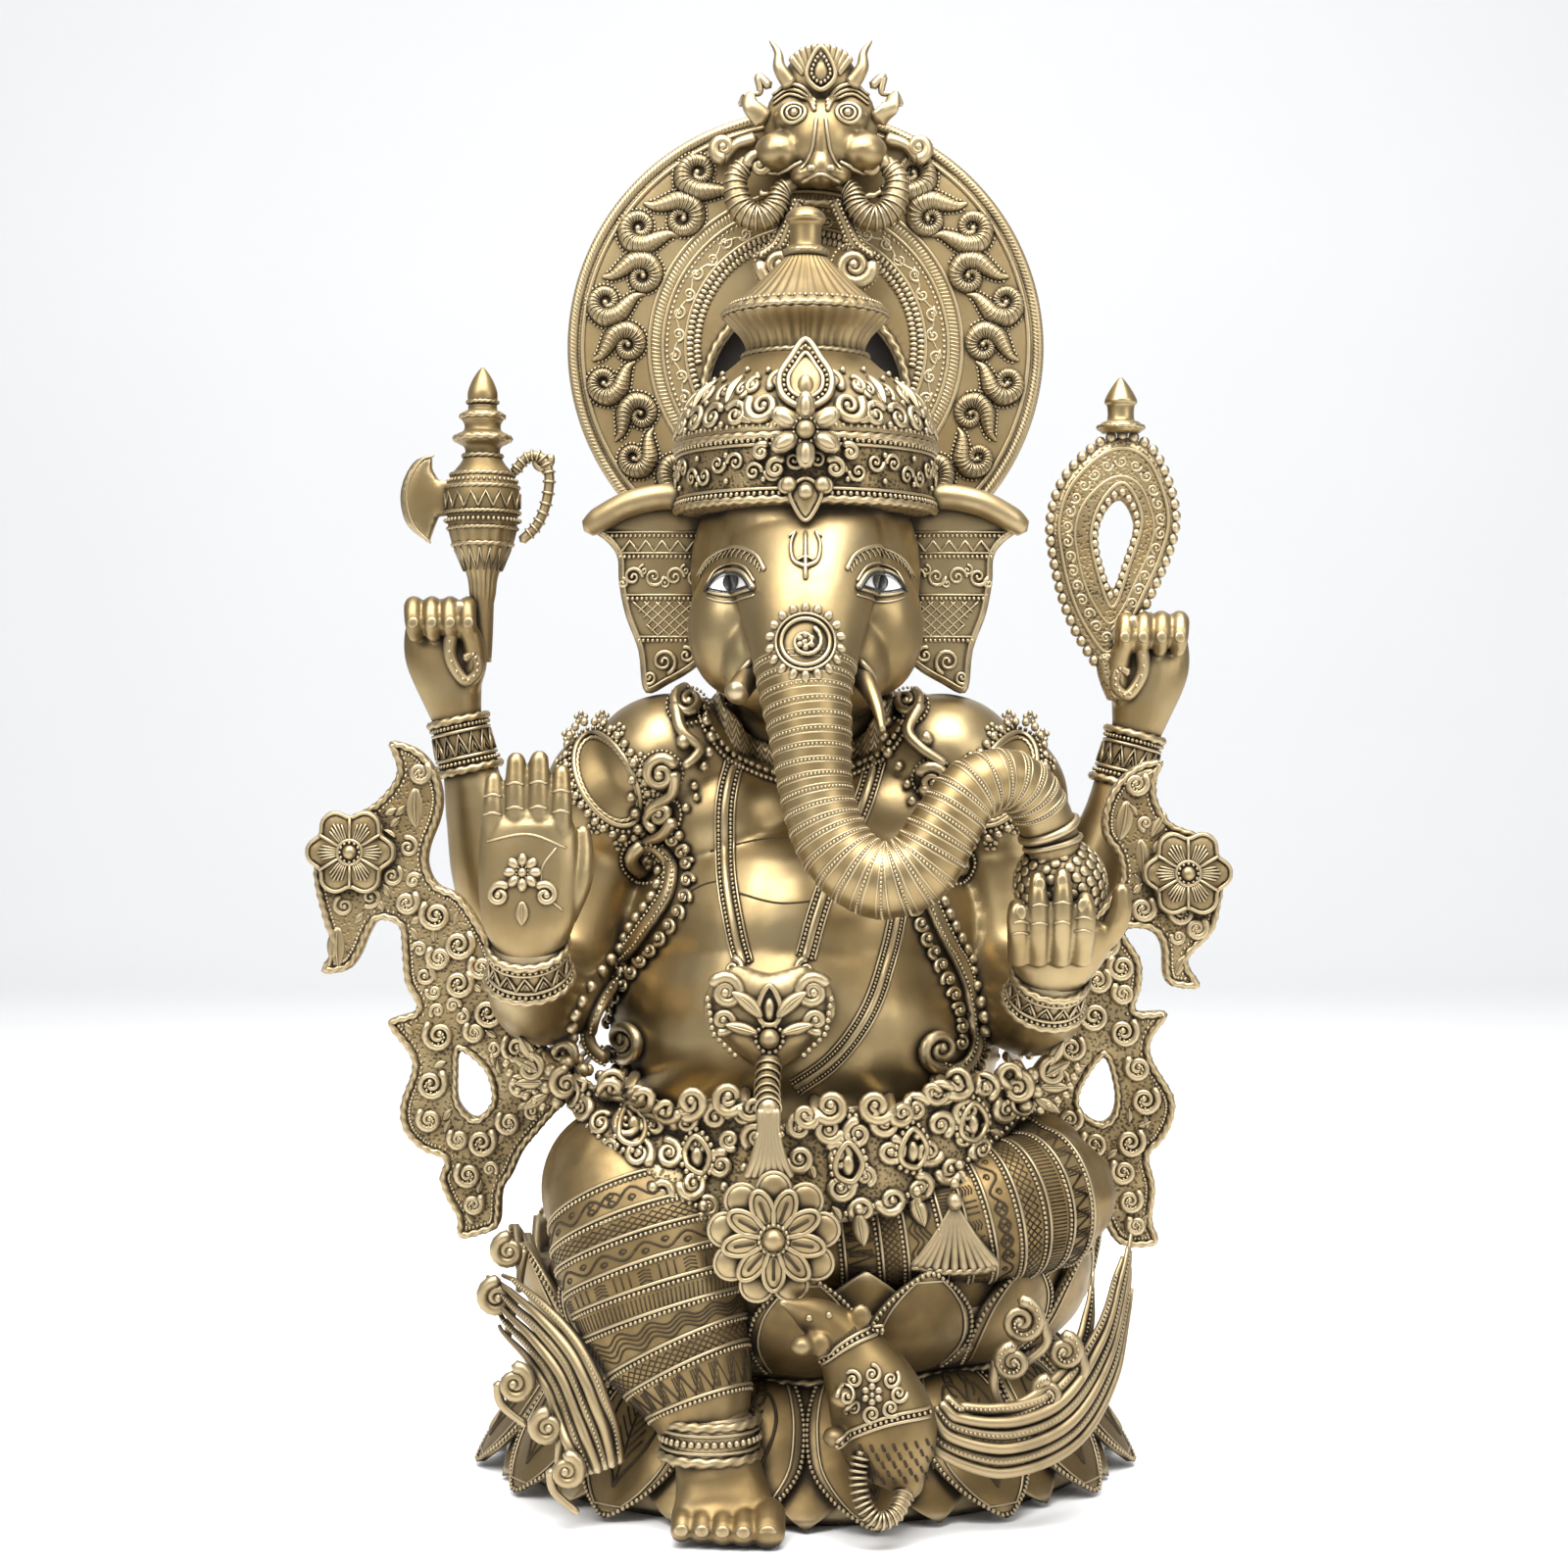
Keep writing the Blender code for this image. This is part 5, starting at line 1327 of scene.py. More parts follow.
def fist(name, wrist, side):
    x, y, z = wrist
    work = Work()
    limb(work, [(x, y, z - 4, 14.5, 14.5), (x + side * 4, y - 2, z + 14, 19, 14),
                (x + side * 9, y - 2, z + 40, 25, 13.5), (x + side * 10, y - 2, z + 58, 24, 10.5),
                (x + side * 10, y - 2, z + 66, 20, 8)])
    for k in range(4):
        fx = x + side * (27 - 11.5 * k)
        finger_line(work, [(fx, y, z + 60), (fx, y - 7, z + 71), (fx, y - 17, z + 70),
                           (fx - side * 1, y - 22, z + 60), (fx - side * 2, y - 18, z + 53)], 6.0, 5.0)
    finger_line(work, [(x - side * 6, y - 5, z + 18), (x - side * 12, y - 12, z + 36),
                       (x - side * 10, y - 18, z + 52), (x - side * 3, y - 20, z + 60)], 7.4, 5.0)
    hand = work.build(name + "_skin", SMOOTH, name)
    fuse(hand, 1.3, passes=4)
    trim = Work()
    drape = Drape(hand)
    for k in range(4):
        fx = x + side * (27 - 11.5 * k) - side * 1.5
        nail = drape.lay([(fx, z + 60)], -0.2)[0]
        ball(trim, nail, (3.5, 1.0, 3.6), 12)
    stem = [(x - side * 4, y - 19, z + 72), (x + side * 2, y - 19, z + 55), (x + side * 3, y - 17, z + 38),
            (x - side * 6, y - 16, z + 24), (x - side * 14, y - 17, z + 30),
            (x - side * 12, y - 18, z + 40), (x - side * 6, y - 18, z + 38)]
    line = spline(stem, 8)
    tube(trim, line, taper(len(line), 4.8, 3.0), 12)
    for spot in line[2:-6:3]:
        ball(trim, spot + (0, -3.4, 0), (1.4, 1.4, 1.4), 8)
    trim.build(name + "_stem", RELIEF)


def blessing_hand():
    work = Work()
    limb(work, [(-162, -157, 328, 19, 16), (-161, -162, 345, 27, 14.5), (-161, -163.5, 372, 29, 11.5),
                (-161, -163, 398, 28, 9), (-161, -163, 404, 25, 7)], sides=30)
    for x, top, radius in ((-181, 431, 6.6), (-168, 442, 7.0), (-154.5, 443, 7.0), (-141.5, 435, 6.6)):
        finger_line(work, [(x, -163, 392), (x, -164, (394 + top) / 2), (x, -162, top - 4)], radius,
                    radius - 1.4)
    finger_line(work, [(-141, -159, 348), (-133, -158, 366), (-130, -157, 382), (-130, -156, 396)], 8.4,
                5.4)
    hand = work.build("right_front_hand_skin", SMOOTH, "right_front_hand")
    fuse(hand, 1.2, passes=4)
    drape = Drape(hand)
    trim = Work()
    for x, top in ((-181, 431), (-168, 442), (-154.5, 443), (-141.5, 435)):
        for share in (0.30, 0.62):
            z = 398 + (top - 398) * share
            stroke(trim, drape.at(0.1), [(x - 5.0, z - 0.6), (x, z + 0.6), (x + 5.0, z - 0.6)], 0.8, 0.8)
    for line in ([(-184, 392), (-160, 396), (-138, 388)], [(-140, 352), (-150, 362), (-152, 376),
                                                           (-144, 388)]):
        stroke(trim, drape.at(0.1), line, 0.8, 0.7)
    rosette(trim, drape.at(1.2), (-163, 374), 11.5, 8, 2.4)
    scroll(trim, drape.at(1.2), (-176, 361), 6.5, 1.4, 40, -1, 2.6, 1.3)
    scroll(trim, drape.at(1.2), (-150, 361), 6.5, 1.4, -40, 1, 2.6, 1.3)
    leaf(trim, drape.at(1.2), (-163, 358), 180, 14, 8)
    trim.build("right_palm_rosette", RELIEF)


def offering_hand():
    work = Work()
    limb(work, [(143, -133, 308, 19, 17), (146, -140, 322, 27, 17), (150, -142, 338, 31, 19),
                (151, -142, 344, 28, 18)],
         sides=30)
    for x, top, lean in ((124, 354, -1), (135, 370, -0.4), (148, 372, 0.3), (160, 358, 1)):
        finger_line(work, [(x, -156, 322), (x + lean, -167, 338), (x + lean * 2, -170, (346 + top) / 2),
                           (x + lean * 2, -167, top)], 6.6, 4.8)
    finger_line(work, [(166, -142, 326), (178, -145, 338), (184, -148, 350), (185, -150, 362)], 8.0, 5.4)
    hand = work.build("left_front_hand_skin", SMOOTH, "left_front_hand")
    fuse(hand, 1.2, passes=4)
    drape = Drape(hand)
    trim = Work()
    for x, top in ((124, 354), (135, 370), (148, 372), (160, 358)):
        nail = drape.lay([(x, top - 3)], -0.2)[0]
        ball(trim, nail, (3.4, 1.0, 4.4), 12)
        for share in (0.35, 0.62):
            z = 330 + (top - 330) * share
            stroke(trim, drape.at(0.1), [(x - 4.6, z), (x, z + 1.0), (x + 4.6, z)], 0.7, 0.7)
    trim.build("left_front_nails", RELIEF)


def sweet_ball():
    """A round sweet, covered all over with small discs."""
    work = Work()
    centre, radius = np.array((150, -138, 366.0)), 26.4
    ball(work, centre, (radius,) * 3, 40)
    count, golden_angle = 190, math.pi * (3 - math.sqrt(5))
    for k in range(count):
        z = 1 - 2 * (k + 0.5) / count
        angle = k * golden_angle
        r = math.sqrt(1 - z * z)
        normal = np.array((r * math.cos(angle), r * math.sin(angle), z))
        disc(work, centre + normal * (radius + 0.2), normal, 3.1, 1.5)
    work.build("sweet_ball_skin", RELIEF, "sweet_ball")


def disc(work, centre, normal, radius, thick):
    """A small round-edged disc that lies along a normal."""
    side = unit(np.cross(normal, (0.3, 0.2, 0.9)))
    other = np.cross(normal, side)
    rows = [(radius * 0.92, -0.6), (radius, 0.5 * thick), (radius * 0.78, thick)]
    verts = np.vstack([hoop(centre + normal * h, side, other, r, r, 12) for r, h in rows])
    work.add(verts, [*wall(3, 12), tuple(range(12)), tuple(24 + k for k in reversed(range(12)))])


# ---- what the hands hold ---------------------------------------------------------------------
EWER_AXIS = (-204, -20)


def ewer():
    def flutes(angles, r, z):
        return r + (0.5 if z > 585 else 0.9) * np.abs(np.sin(angles * 8)) * (540 < z < 590)

    work = Work()
    profile = [(5.5, 502), (6.5, 520), (7.5, 545), (9.5, 558), (16, 570), (20.5, 584), (23, 600), (23, 610),
               (19.5, 620), (13.5, 628), (11, 634), (12, 638), (17, 641), (17, 645), (12, 648), (11.5, 652),
               (13, 655), (13, 659), (9.5, 661), (9, 664)]
    lathe(work, spline(profile, 4), EWER_AXIS, 96, flutes)
    for z, r, size in ((576, 18.5, 1.5), (586, 21.8, 1.1), (596, 23.4, 1.1), (612, 22.6, 1.3),
                       (620, 19.8, 1.3), (643, 17.0, 2.0), (657, 13.0, 1.8), (632, 12.0, 1.4)):
        rope(work, ring_points(r, z, EWER_AXIS, 70), size, closed=True)
    beads(work, ring_points(23.6, 591, EWER_AXIS, 46), 1.2)
    beads(work, ring_points(21.6, 616, EWER_AXIS, 40), 1.2)
    for k in range(16):
        a, b = TURN * k / 16, TURN * (k + 1) / 16

        def spot(angle, r, z):
            return (EWER_AXIS[0] + r * math.sin(angle), EWER_AXIS[1] - r * math.cos(angle), z)
        tube(work, [spot(a, 23.7, 599), spot((a + b) / 2, 23.8, 608), spot(b, 23.7, 599)], 0.8, 5)
        tube(work, [spot(a, 17.5, 573), spot((a + b) / 2, 12, 560), spot(b, 17.5, 573)], 0.9, 5)
    work.build("ewer_skin", RELIEF, "ewer")
    tip = Work()
    lathe(tip, spline([(8.4, 664.6), (9.4, 668), (9.2, 673), (6.5, 680), (3, 685.5), (0.8, 688)], 5),
          EWER_AXIS, 36)
    rope(tip, ring_points(9.6, 666, EWER_AXIS, 40), 1.1, closed=True)
    tip.build("ewer_finial_skin", SMOOTH, "ewer_finial")
    handle = Work()
    line = spline([(-184, -20, 622), (-176, -20, 631), (-167, -20, 631), (-162, -20, 620), (-164, -20, 602),
                   (-170, -20, 588), (-179, -20, 579)], 8)
    tube(handle, line, 3.2, 12)
    for spot, ahead in zip(line[2:-2:3], line[3:-1:3]):
        ribbed(handle, spot, ahead - spot, 3.6)
    scroll(handle, flat_at(-20), (-167, 629), 6.5, 1.2, 60, 1, 2.6, 1.4, sides=8)
    handle.build("ewer_handle_skin", RELIEF, "ewer_handle")


def axe_blade():
    outer = [(-236, 632), (-246, 629), (-253.5, 617), (-255.5, 603), (-251, 588), (-238, 577)]
    inner = [(-235, 586), (-232, 594), (-223, 595), (-223, 616), (-232, 617), (-236, 624)]
    work = Work()
    outline = np.vstack([spline(outer, 6), np.array(inner)])
    panel(work, outline, -23.6, -16.6, cell=2.4, dome=1.6, hump=9)
    tube(work, flat_at(-24.4)(spline([(x + 4 if x < -240 else x + 1.5, z) for x, z in outer], 6)), 0.9, 6)
    work.build("axe_blade_skin", SMOOTH, "axe_blade")


NOOSE = [
    (200, 646), (181, 638), (162, 617), (154, 592), (156, 567), (163, 538), (174, 514), (189, 496),
    (202, 511), (215, 538), (228, 567), (234, 592), (229, 617), (218, 638),
]
NOOSE_MIDDLE = (196, 580)
NOOSE_EYE = [(199, 604), (189, 596), (184, 580), (188, 560), (194, 548), (201, 566), (207, 588)]


def noose():
    outline, eye = loop_spline(NOOSE, 6), loop_spline(NOOSE_EYE, 6)
    work = Work()
    panel(work, grown(outline, NOOSE_MIDDLE, 0.965), -24.0, -17.5, holes=[eye], cell=3.0, dome=1.2, hump=9)
    line = spline([(190, -21, 506), (191, -21, 494), (196, -20, 480)], 5)
    tube(work, line, fade(len(line), [0, 1], [7, 6]), 14)
    work.build("noose_plate", GROUND, "noose")
    trim = Work()
    at = flat_at(-24.6)
    beads(trim, flat_at(-21.5)(spaced(grown(outline, NOOSE_MIDDLE, 0.985), 7.4, closed=True)), 3.9)
    eye_middle = eye.mean(axis=0)
    beads(trim, flat_at(-23.6)(spaced(grown(eye, eye_middle, 1.18), 5.6, closed=True)), 3.0)
    tube(trim, at(grown(eye, eye_middle, 1.40)), 1.4, 8, closed=True)
    tube(trim, at(grown(outline, NOOSE_MIDDLE, 0.86)), 1.4, 8, closed=True)
    tube(trim, at((outline - (196, 580)) * 0.62 + (196, 578)), 1.1, 8, closed=True)
    middle = spaced((outline - (196, 580)) * 0.745 + (196, 579), 9.6, closed=True)
    for k, (x, z) in enumerate(middle):
        way = 1 if k % 2 else -1
        scroll(trim, at, (x, z), 3.9, 1.3, 57.3 * math.atan2(x - 196, z - 580) + 90 * way, way, 1.2, 0.7)
    leaf(trim, at, (196, 508), 0, 22, 7)
    trim.build("noose_pearls", RELIEF)
    tip = Work()
    lathe(tip, spline([(12, 646.6), (14.4, 649.5), (12, 653), (8.6, 655), (8.6, 663), (10.4, 666),
                       (8.5, 671), (4, 678), (1, 681.5)], 5), (199, -21), 40)
    rope(tip, ring_points(14, 650, (199, -21), 56), 1.5, closed=True)
    tip.build("noose_finial_skin", SMOOTH, "noose_finial")


# ---- side brackets ---------------------------------------------------------------------------
RIGHT_BRACKET = [
    (-257, 451), (-252, 432), (-266, 413), (-290, 400), (-302, 382), (-303, 364), (-297, 339),
    (-292, 324), (-299, 309), (-283, 310), (-275, 319), (-269, 333), (-263, 341), (-251, 337),
    (-249, 322), (-247, 302), (-240, 286), (-258, 278), (-245, 259), (-243, 248), (-250, 227),
    (-248, 211), (-237, 199), (-223, 193), (-226, 182), (-221, 168), (-215, 157), (-214, 145),
    (-200, 147), (-189, 153), (-187, 174), (-181, 184), (-174, 199), (-160, 216), (-142, 240),
    (-160, 262), (-183, 298), (-195, 328), (-212, 355), (-227, 363), (-233, 375), (-232, 387),
    (-226, 403), (-224, 418), (-229, 435), (-240, 447),
]
RIGHT_HOLE = [(-213, 260), (-215, 245), (-214, 229), (-204, 219), (-194, 228), (-194, 239), (-199, 250)]
LEFT_BRACKET = [
    (221, 439), (207, 438), (192, 426), (184, 410), (184, 393), (192, 381), (194, 366), (186, 353),
    (176, 341), (169, 319), (160, 279), (150, 262), (138, 240), (153, 201), (172, 182), (186, 151),
    (194, 141), (209, 139), (218, 143), (214, 156), (216, 176), (212, 195), (220, 204), (227, 218),
    (227, 233), (214, 255), (214, 268), (224, 284), (204, 285), (207, 299), (207, 316), (197, 333),
    (205, 336), (215, 333), (220, 324), (221, 307), (227, 300), (244, 300), (236, 316), (251, 333),
    (256, 350), (258, 372), (246, 392), (226, 401), (217, 416), (217, 429),
]
LEFT_HOLE = [(184, 256), (170, 237), (170, 224), (182, 216), (190, 222), (191, 237)]
RIGHT_SCROLLS = [
    (-238, 432, 6, 0), (-228, 344, 8.5, 1), (-214, 326, 8.5, 0), (-226, 318, 6.5, 1), (-214, 302, 8, 0),
    (-200, 312, 6.5, 1), (-226, 270, 8.5, 1), (-196, 284, 8.5, 0), (-204, 272, 5.5, 1), (-231, 240, 8.5, 0),
    (-178, 262, 8, 1), (-176, 240, 7.5, 0), (-232, 218, 6.5, 1), (-200, 204, 8, 0), (-214, 206, 5.5, 1),
    (-208, 184, 7, 1), (-205, 166, 5.5, 0), (-162, 240, 7, 1), (-183, 216, 6.5, 1), (-246, 352, 6.5, 0),
]
LEFT_SCROLLS = [
    (204, 425, 6.5, 1), (232, 346, 7, 0), (241, 336, 6, 1), (184, 326, 8, 1), (195, 312, 7.5, 0),
    (180, 304, 7, 1), (196, 296, 6, 0), (178, 282, 8.5, 0), (196, 272, 8, 1), (164, 262, 7, 1),
    (156, 243, 7.5, 0), (205, 250, 7, 0), (209, 230, 8, 1), (163, 218, 6.5, 1), (178, 203, 7.5, 0),
    (200, 204, 8, 1), (196, 186, 7, 0), (200, 168, 6.5, 1), (204, 153, 5, 0), (208, 348, 7, 1),
]
RIGHT_LEAVES = [(-246, 446, 205, 26), (-240, 424, 190, 26), (-288, 338, 190, 26), (-272, 344, 170, 18),
                (-246, 272, 330, 20), (-216, 156, 190, 12), (-246, 404, 140, 24)]
LEFT_LEAVES = [(216, 434, 235, 22), (198, 416, 180, 26), (206, 392, 165, 22), (240, 318, 60, 18),
               (228, 306, 20, 16), (218, 276, 60, 14), (206, 146, 10, 14), (222, 408, 200, 18)]


def within(spots, loop):
    """Which (x, z) spots lie inside a closed outline."""
    x, z = spots[:, 0][:, None], spots[:, 1][:, None]
    ax, az = loop[:, 0][None, :], loop[:, 1][None, :]
    bx, bz = np.roll(loop[:, 0], -1)[None, :], np.roll(loop[:, 1], -1)[None, :]
    spans = (az > z) != (bz > z)
    reach = ax + (z - az) * (bx - ax) / np.where(np.abs(bz - az) < 1e-9, 1e-9, bz - az)
    return (spans & (x < reach)).sum(axis=1) % 2 == 1


def clearance(spots, loop):
    """How far each spot is from an outline."""
    return np.linalg.norm(spots[:, None, :] - loop[None, :, :], axis=2).min(axis=1)


def bracket(name, outline, hole, scrolls, leaves):
    front = -62.0
    edge = loop_spline(outline, 4)
    gap = loop_spline(hole, 4)
    work = Work()
    panel(work, edge, front + 1.4, front + 10.8, holes=[gap], cell=3.2, dome=1.2, hump=8)
    work.build(name + "_plate", GROUND, name)
    trim = Work()
    at = flat_at(front + 0.6)
    for run in runs(inset(edge, 2.2, 1.6), 7):
        rope(trim, at(run), 2.1)
    for run in runs(inset(edge, 5.8, 2.6), 7):
        beads(trim, at(run), 1.15)
    rope(trim, at(spaced(grown(gap, gap.mean(axis=0), 1.12), 1.6, closed=True)), 1.9, closed=True)
    side = 1 if name.startswith("left") else -1
    taken = []
    for x, z, r, way in scrolls:
        turn = 1 if way else -1
        r *= 1.12
        scroll(trim, at, (x, z), r, 1.8, 40 * turn * side, turn * side, 2.9, 1.4, flat=1.2)
        beads(trim, flat_at(front - 1.4)(volute((x, z), r, 0.8, 40 * turn * side, turn * side)[::3]), 1.0)
        taken.append((x, z, r))
    for x, z, angle, length in leaves:
        tip = np.array([(x + math.sin(math.radians(angle)) * length,
                         z + math.cos(math.radians(angle)) * length)])
        if within(tip, edge)[0] and clearance(tip, edge)[0] > 4:
            leaf(trim, at, (x, z), angle, length, length * 0.46, curl=20 * side)
            taken.extend((x + (tip[0, 0] - x) * s, z + (tip[0, 1] - z) * s, length * 0.22)
                         for s in (0.1, 0.5, 0.9))
    draw = random.Random(5)
    low, high = edge.min(axis=0), edge.max(axis=0)
    for least, tries in ((6.0, 900), (4.2, 1500), (2.6, 2500)):
        spots = np.array([(draw.uniform(low[0], high[0]), draw.uniform(low[1], high[1]))
                          for _ in range(tries)])
        room = np.minimum(clearance(spots, edge), clearance(spots, gap)) - 6.5
        spots = spots[within(spots, edge) & ~within(spots, gap) & (room > least)]
        for spot in spots:
            x, z = float(spot[0]), float(spot[1])
            if min(math.hypot(x - a, z - b) - r for a, b, r in taken) < least + 0.6:
                continue
            taken.append((x, z, least))
            way = 1 if len(taken) % 2 else -1
            if least > 4:
                scroll(trim, at, (x, z), least + 0.4, 1.5, draw.uniform(0, 360), way, 2.0, 1.0)
            else:
                leaf(trim, at, (x - 2, z - 3), draw.uniform(-70, 70), 8.5, 5.0)
    trim.build(name + "_relief", RELIEF)


def flower(name, centre):
    """A six-petalled flower with engraved centre lines."""
    front = -62.5
    work = Work()

    def spot(r, a):
        return centre[0] + r * math.sin(a), centre[1] + r * math.cos(a)

    outline = np.array([spot(28.0 * (1 - 0.20 * abs(math.cos(3 * a)) ** 3), a) for a in circle(72)])
    panel(work, outline, front - 4.0, front - 0.3, cell=2.6, dome=2.6, hump=12)
    at = flat_at(front - 6.8)
    tube(work, flat_at(front - 5.2)(grown(outline, centre, 0.94)), 1.3, 6, closed=True)
    for k in range(6):
        a = TURN * (k + 0.5) / 6
        for spread in (-0.30, -0.15, 0.0, 0.15, 0.30):
            tube(work, at([spot(r, a + spread * (1 - 0.3 * r / 26))
                           for r in (8.5, 14, 20 - abs(spread) * 8)]),
                 0.7, 5)
        b = TURN * k / 6
        tube(work, at([spot(r, b) for r in (8, 15, 21)]), 1.1, 5)
    tube(work, at([spot(7.5, a) for a in circle(28)]), 1.2, 6, closed=True)
    ball(work, (centre[0], front - 6.4, centre[1]), (4.6, 4.0, 4.6), 16)
    beads(work, ring_circle((centre[0], front - 7.6, centre[1]), 6.0, 12), 1.0)
    return work.build(name + "_skin", RELIEF, name)


def brackets():
    bracket("right_bracket", RIGHT_BRACKET, RIGHT_HOLE, RIGHT_SCROLLS, RIGHT_LEAVES)
    bracket("left_bracket", LEFT_BRACKET, LEFT_HOLE, LEFT_SCROLLS, LEFT_LEAVES)
    flower("right_flower", (-280, 383))
    flower("left_flower", (235, 370))


# ---- collar, straps and garlands on the chest ------------------------------------------------
RIGHT_STEM = [
    (-99, 389), (-88, 386), (-81, 375), (-82, 357), (-96, 336), (-116, 310), (-131, 284), (-132, 267),
              (-122, 257),
    (-109, 258),
]
LEFT_STEM = [
    (84, 384), (76, 376), (72, 360), (78, 342), (88, 322), (98, 298), (102, 274), (98, 259), (88, 253),
             (79, 256),
]


def beaded_strap(work, lay, stations, half=3.6, size=1.25):
    """A narrow strap: a flat band between two rows of beads."""
    line = spline(stations, 10)
    ahead = unit(np.gradient(line, axis=0))
    side = np.stack([-ahead[:, 1], ahead[:, 0]], axis=1)
    tube(work, lay(line), half * 0.7, 8, flat=0.55)
    for way in (-1, 1):
        beads(work, lay(spaced(line + side * half * way, size * 2.1)), size)
        tube(work, lay(line + side * (half + 2.0) * way), 0.8, 5)


def garland(name, node, stem, side, upper, coils, pearls):
    """Scrolls from the shoulder down, then one long stem with pearls outside and coils inside."""
    work = Work()
    at = drape_chest.at(3.4)
    line = spline(stem, 12)
    ahead = unit(np.gradient(line, axis=0))
    outward = np.stack([ahead[:, 1], -ahead[:, 0]], axis=1) * -side
    n = len(line)
    tube(work, at(line), fade(n, [0, 0.15, 0.85, 1], [3.6, 4.8, 4.6, 3.6]), 10, flat=0.75)
    for shift in (-2.4, 2.4):
        beads(work, drape_chest.lay(spaced(line + outward * shift, 2.7), 6.2), 1.15)
    first = 16
    beads(work, drape_chest.lay(spaced(line[first:] + outward[first:] * 8.6, 8.0), 2.2), 3.9)
    inner = spaced(line[14:int(n * 0.72)] - outward[14:int(n * 0.72)] * 9.5, 9.6)
    for k, spot in enumerate(inner):
        scroll(work, drape_chest.at(2.4), spot, 4.3, 1.3, 30 * k, side, 1.7, 1.0)
        beads(work, drape_chest.lay([spot], 3.6), 2.1)
    end = line[-1]
    scroll(work, drape_chest.at(4.2), (end[0] - side * 1.0, end[1] + 10.5), 11.0, 1.6, 180, side, 4.0,
           2.0, 10)
    for x, z, r, start, way in upper:
        scroll(work, drape_chest.at(4.4), (x, z), r, 1.55, start, way, r * 0.40, r * 0.2, 10)
        around = oval((x, z), r + 3.4, r + 3.4, 26)
        beads(work, drape_chest.lay(spaced(around, 2.8, closed=True), 2.0), 1.15)
    for x, z, r in pearls:
        beads(work, drape_chest.lay([(x, z)], 2.6), r)
    for stations in coils:
        stroke(work, drape_chest.at(4.0), stations, 4.0, 2.8, sides=10)
    work.build(name, RELIEF, node)


def collar():
    work = Work()
    line = [(-56, 478), (-50, 462), (-34, 446), (0, 436), (34, 446), (50, 462), (56, 478)]
    dense = spline(line, 14)
    ahead = unit(np.gradient(dense, axis=0))
    down = np.stack([ahead[:, 1], -ahead[:, 0]], axis=1)
    tube(work, drape_chest.lay(dense, 0.6), 8.6, 10, flat=0.42, hint=(0, 0, 1))
    work.build("collar_band", SCALED, "collar")
    trim = Work()
    for distance, size in ((-8.8, 2.0), (9.2, 2.2), (13.2, 1.4)):
        beads(trim, drape_chest.lay(spaced(dense + down * distance, size * 2.15), 2.0), size)
    trim.build("collar_beads", RELIEF)


def chest():
    collar()
    work = Work()
    at = drape_chest.at(0.8)
    beaded_strap(work, at, [(-44, 440), (-49, 410), (-48, 372), (-42, 338), (-37, 318)])
    beaded_strap(work, at, [(44, 440), (33, 408), (16, 372), (6, 344), (0, 322)])
    beaded_strap(work, at, [(62, 392), (56, 352), (48, 318), (36, 288), (16, 262), (-6, 246)], 3.0, 1.0)
    # The chest lines are dark: the patina and painted shade of engraved lines.
    grooves = Work()
    for stations in ([(-58, 384), (-20, 392), (30, 388)], [(-42, 360), (-16, 354), (12, 356)],
                     [(-76, 356), (-62, 364), (-50, 367)]):
        stroke(grooves, drape_chest.at(0.0), stations, 0.7, 0.5, steps=10)
    grooves.build("chest_lines", GROOVE_PATINA_AND_SHADE)
    for x, z, way in ((-42, 314, 1), (0, 314, -1)):
        scroll(work, drape_chest.at(2.6), (x, z), 6.0, 1.4, 0, way, 2.4, 1.2)
    work.build("chest_straps", RELIEF)
    garland("right_garland_scrolls", "right_garland", RIGHT_STEM, -1,
            [(-73, 473, 9, 0, -1), (-88, 432, 9.5, 60, -1), (-87, 406, 8.5, 200, 1),
             (-99, 378, 12.5, 20, -1)],
            [[(-80, 470), (-76, 456), (-66, 446), (-74, 436)], [(-80, 432), (-82, 420), (-94, 412),
                                                                (-95, 402)],
             [(-79, 402), (-86, 394), (-99, 390)]],
            [(-62, 462, 3.6), (-59, 453, 3.6), (-60, 444, 3.6), (-63, 436, 3.4), (-75, 450, 5.0),
             (-104, 438, 3.2), (-105, 428, 3.2), (-106, 418, 3.4), (-105, 408, 3.6), (-104, 398, 3.6),
             (-68, 424, 3.0), (-66, 416, 2.8), (-72, 410, 3.0), (-76, 394, 3.2), (-72, 386, 2.8)])
    garland("left_garland_scrolls", "left_garland", LEFT_STEM, 1,
            [(64, 473, 8.5, 0, 1), (78, 428, 9.0, -60, 1), (84, 402, 8.0, -200, -1),
             (92, 376, 10.5, -20, 1)],
            [[(71, 470), (64, 456), (72, 446), (84, 438)], [(72, 424), (78, 414), (88, 408)]],
            [(52, 462, 3.6), (50, 453, 3.6), (52, 444, 3.6), (58, 436, 3.4), (74, 452, 5.0), (62, 424, 3.0),
             (96, 436, 3.2), (98, 426, 3.2), (64, 414, 3.0), (98, 414, 3.2), (104, 388, 3.2)])


# ---- brooch, belt and its flower -------------------------------------------------------------
BELT_PATH = [(-170, -50), (-158, -66), (-128, -116), (-84, -162), (-18, -186), (46, -178), (96, -142),
             (138, -94), (150, -76)]
BELT_TOP = [
    (-168, 258), (-150, 263), (-127, 249), (-99, 248), (-76, 238), (-53, 244), (-36, 242), (-18, 228),
    (5, 238), (28, 240), (45, 238), (79, 249), (108, 250), (134, 250), (148, 252),
]
BELT_FOOT = [
    (-168, 246), (-149, 240), (-126, 220), (-104, 207), (-92, 192), (-58, 176), (-18, 172), (22, 174),
             (62, 184),
    (90, 197), (118, 214), (134, 228), (148, 240),
]


def edge_at(edge, x):
    """The second value of a list of pairs where the first one is x."""
    return float(np.interp(x, [p[0] for p in edge], [p[1] for p in edge]))


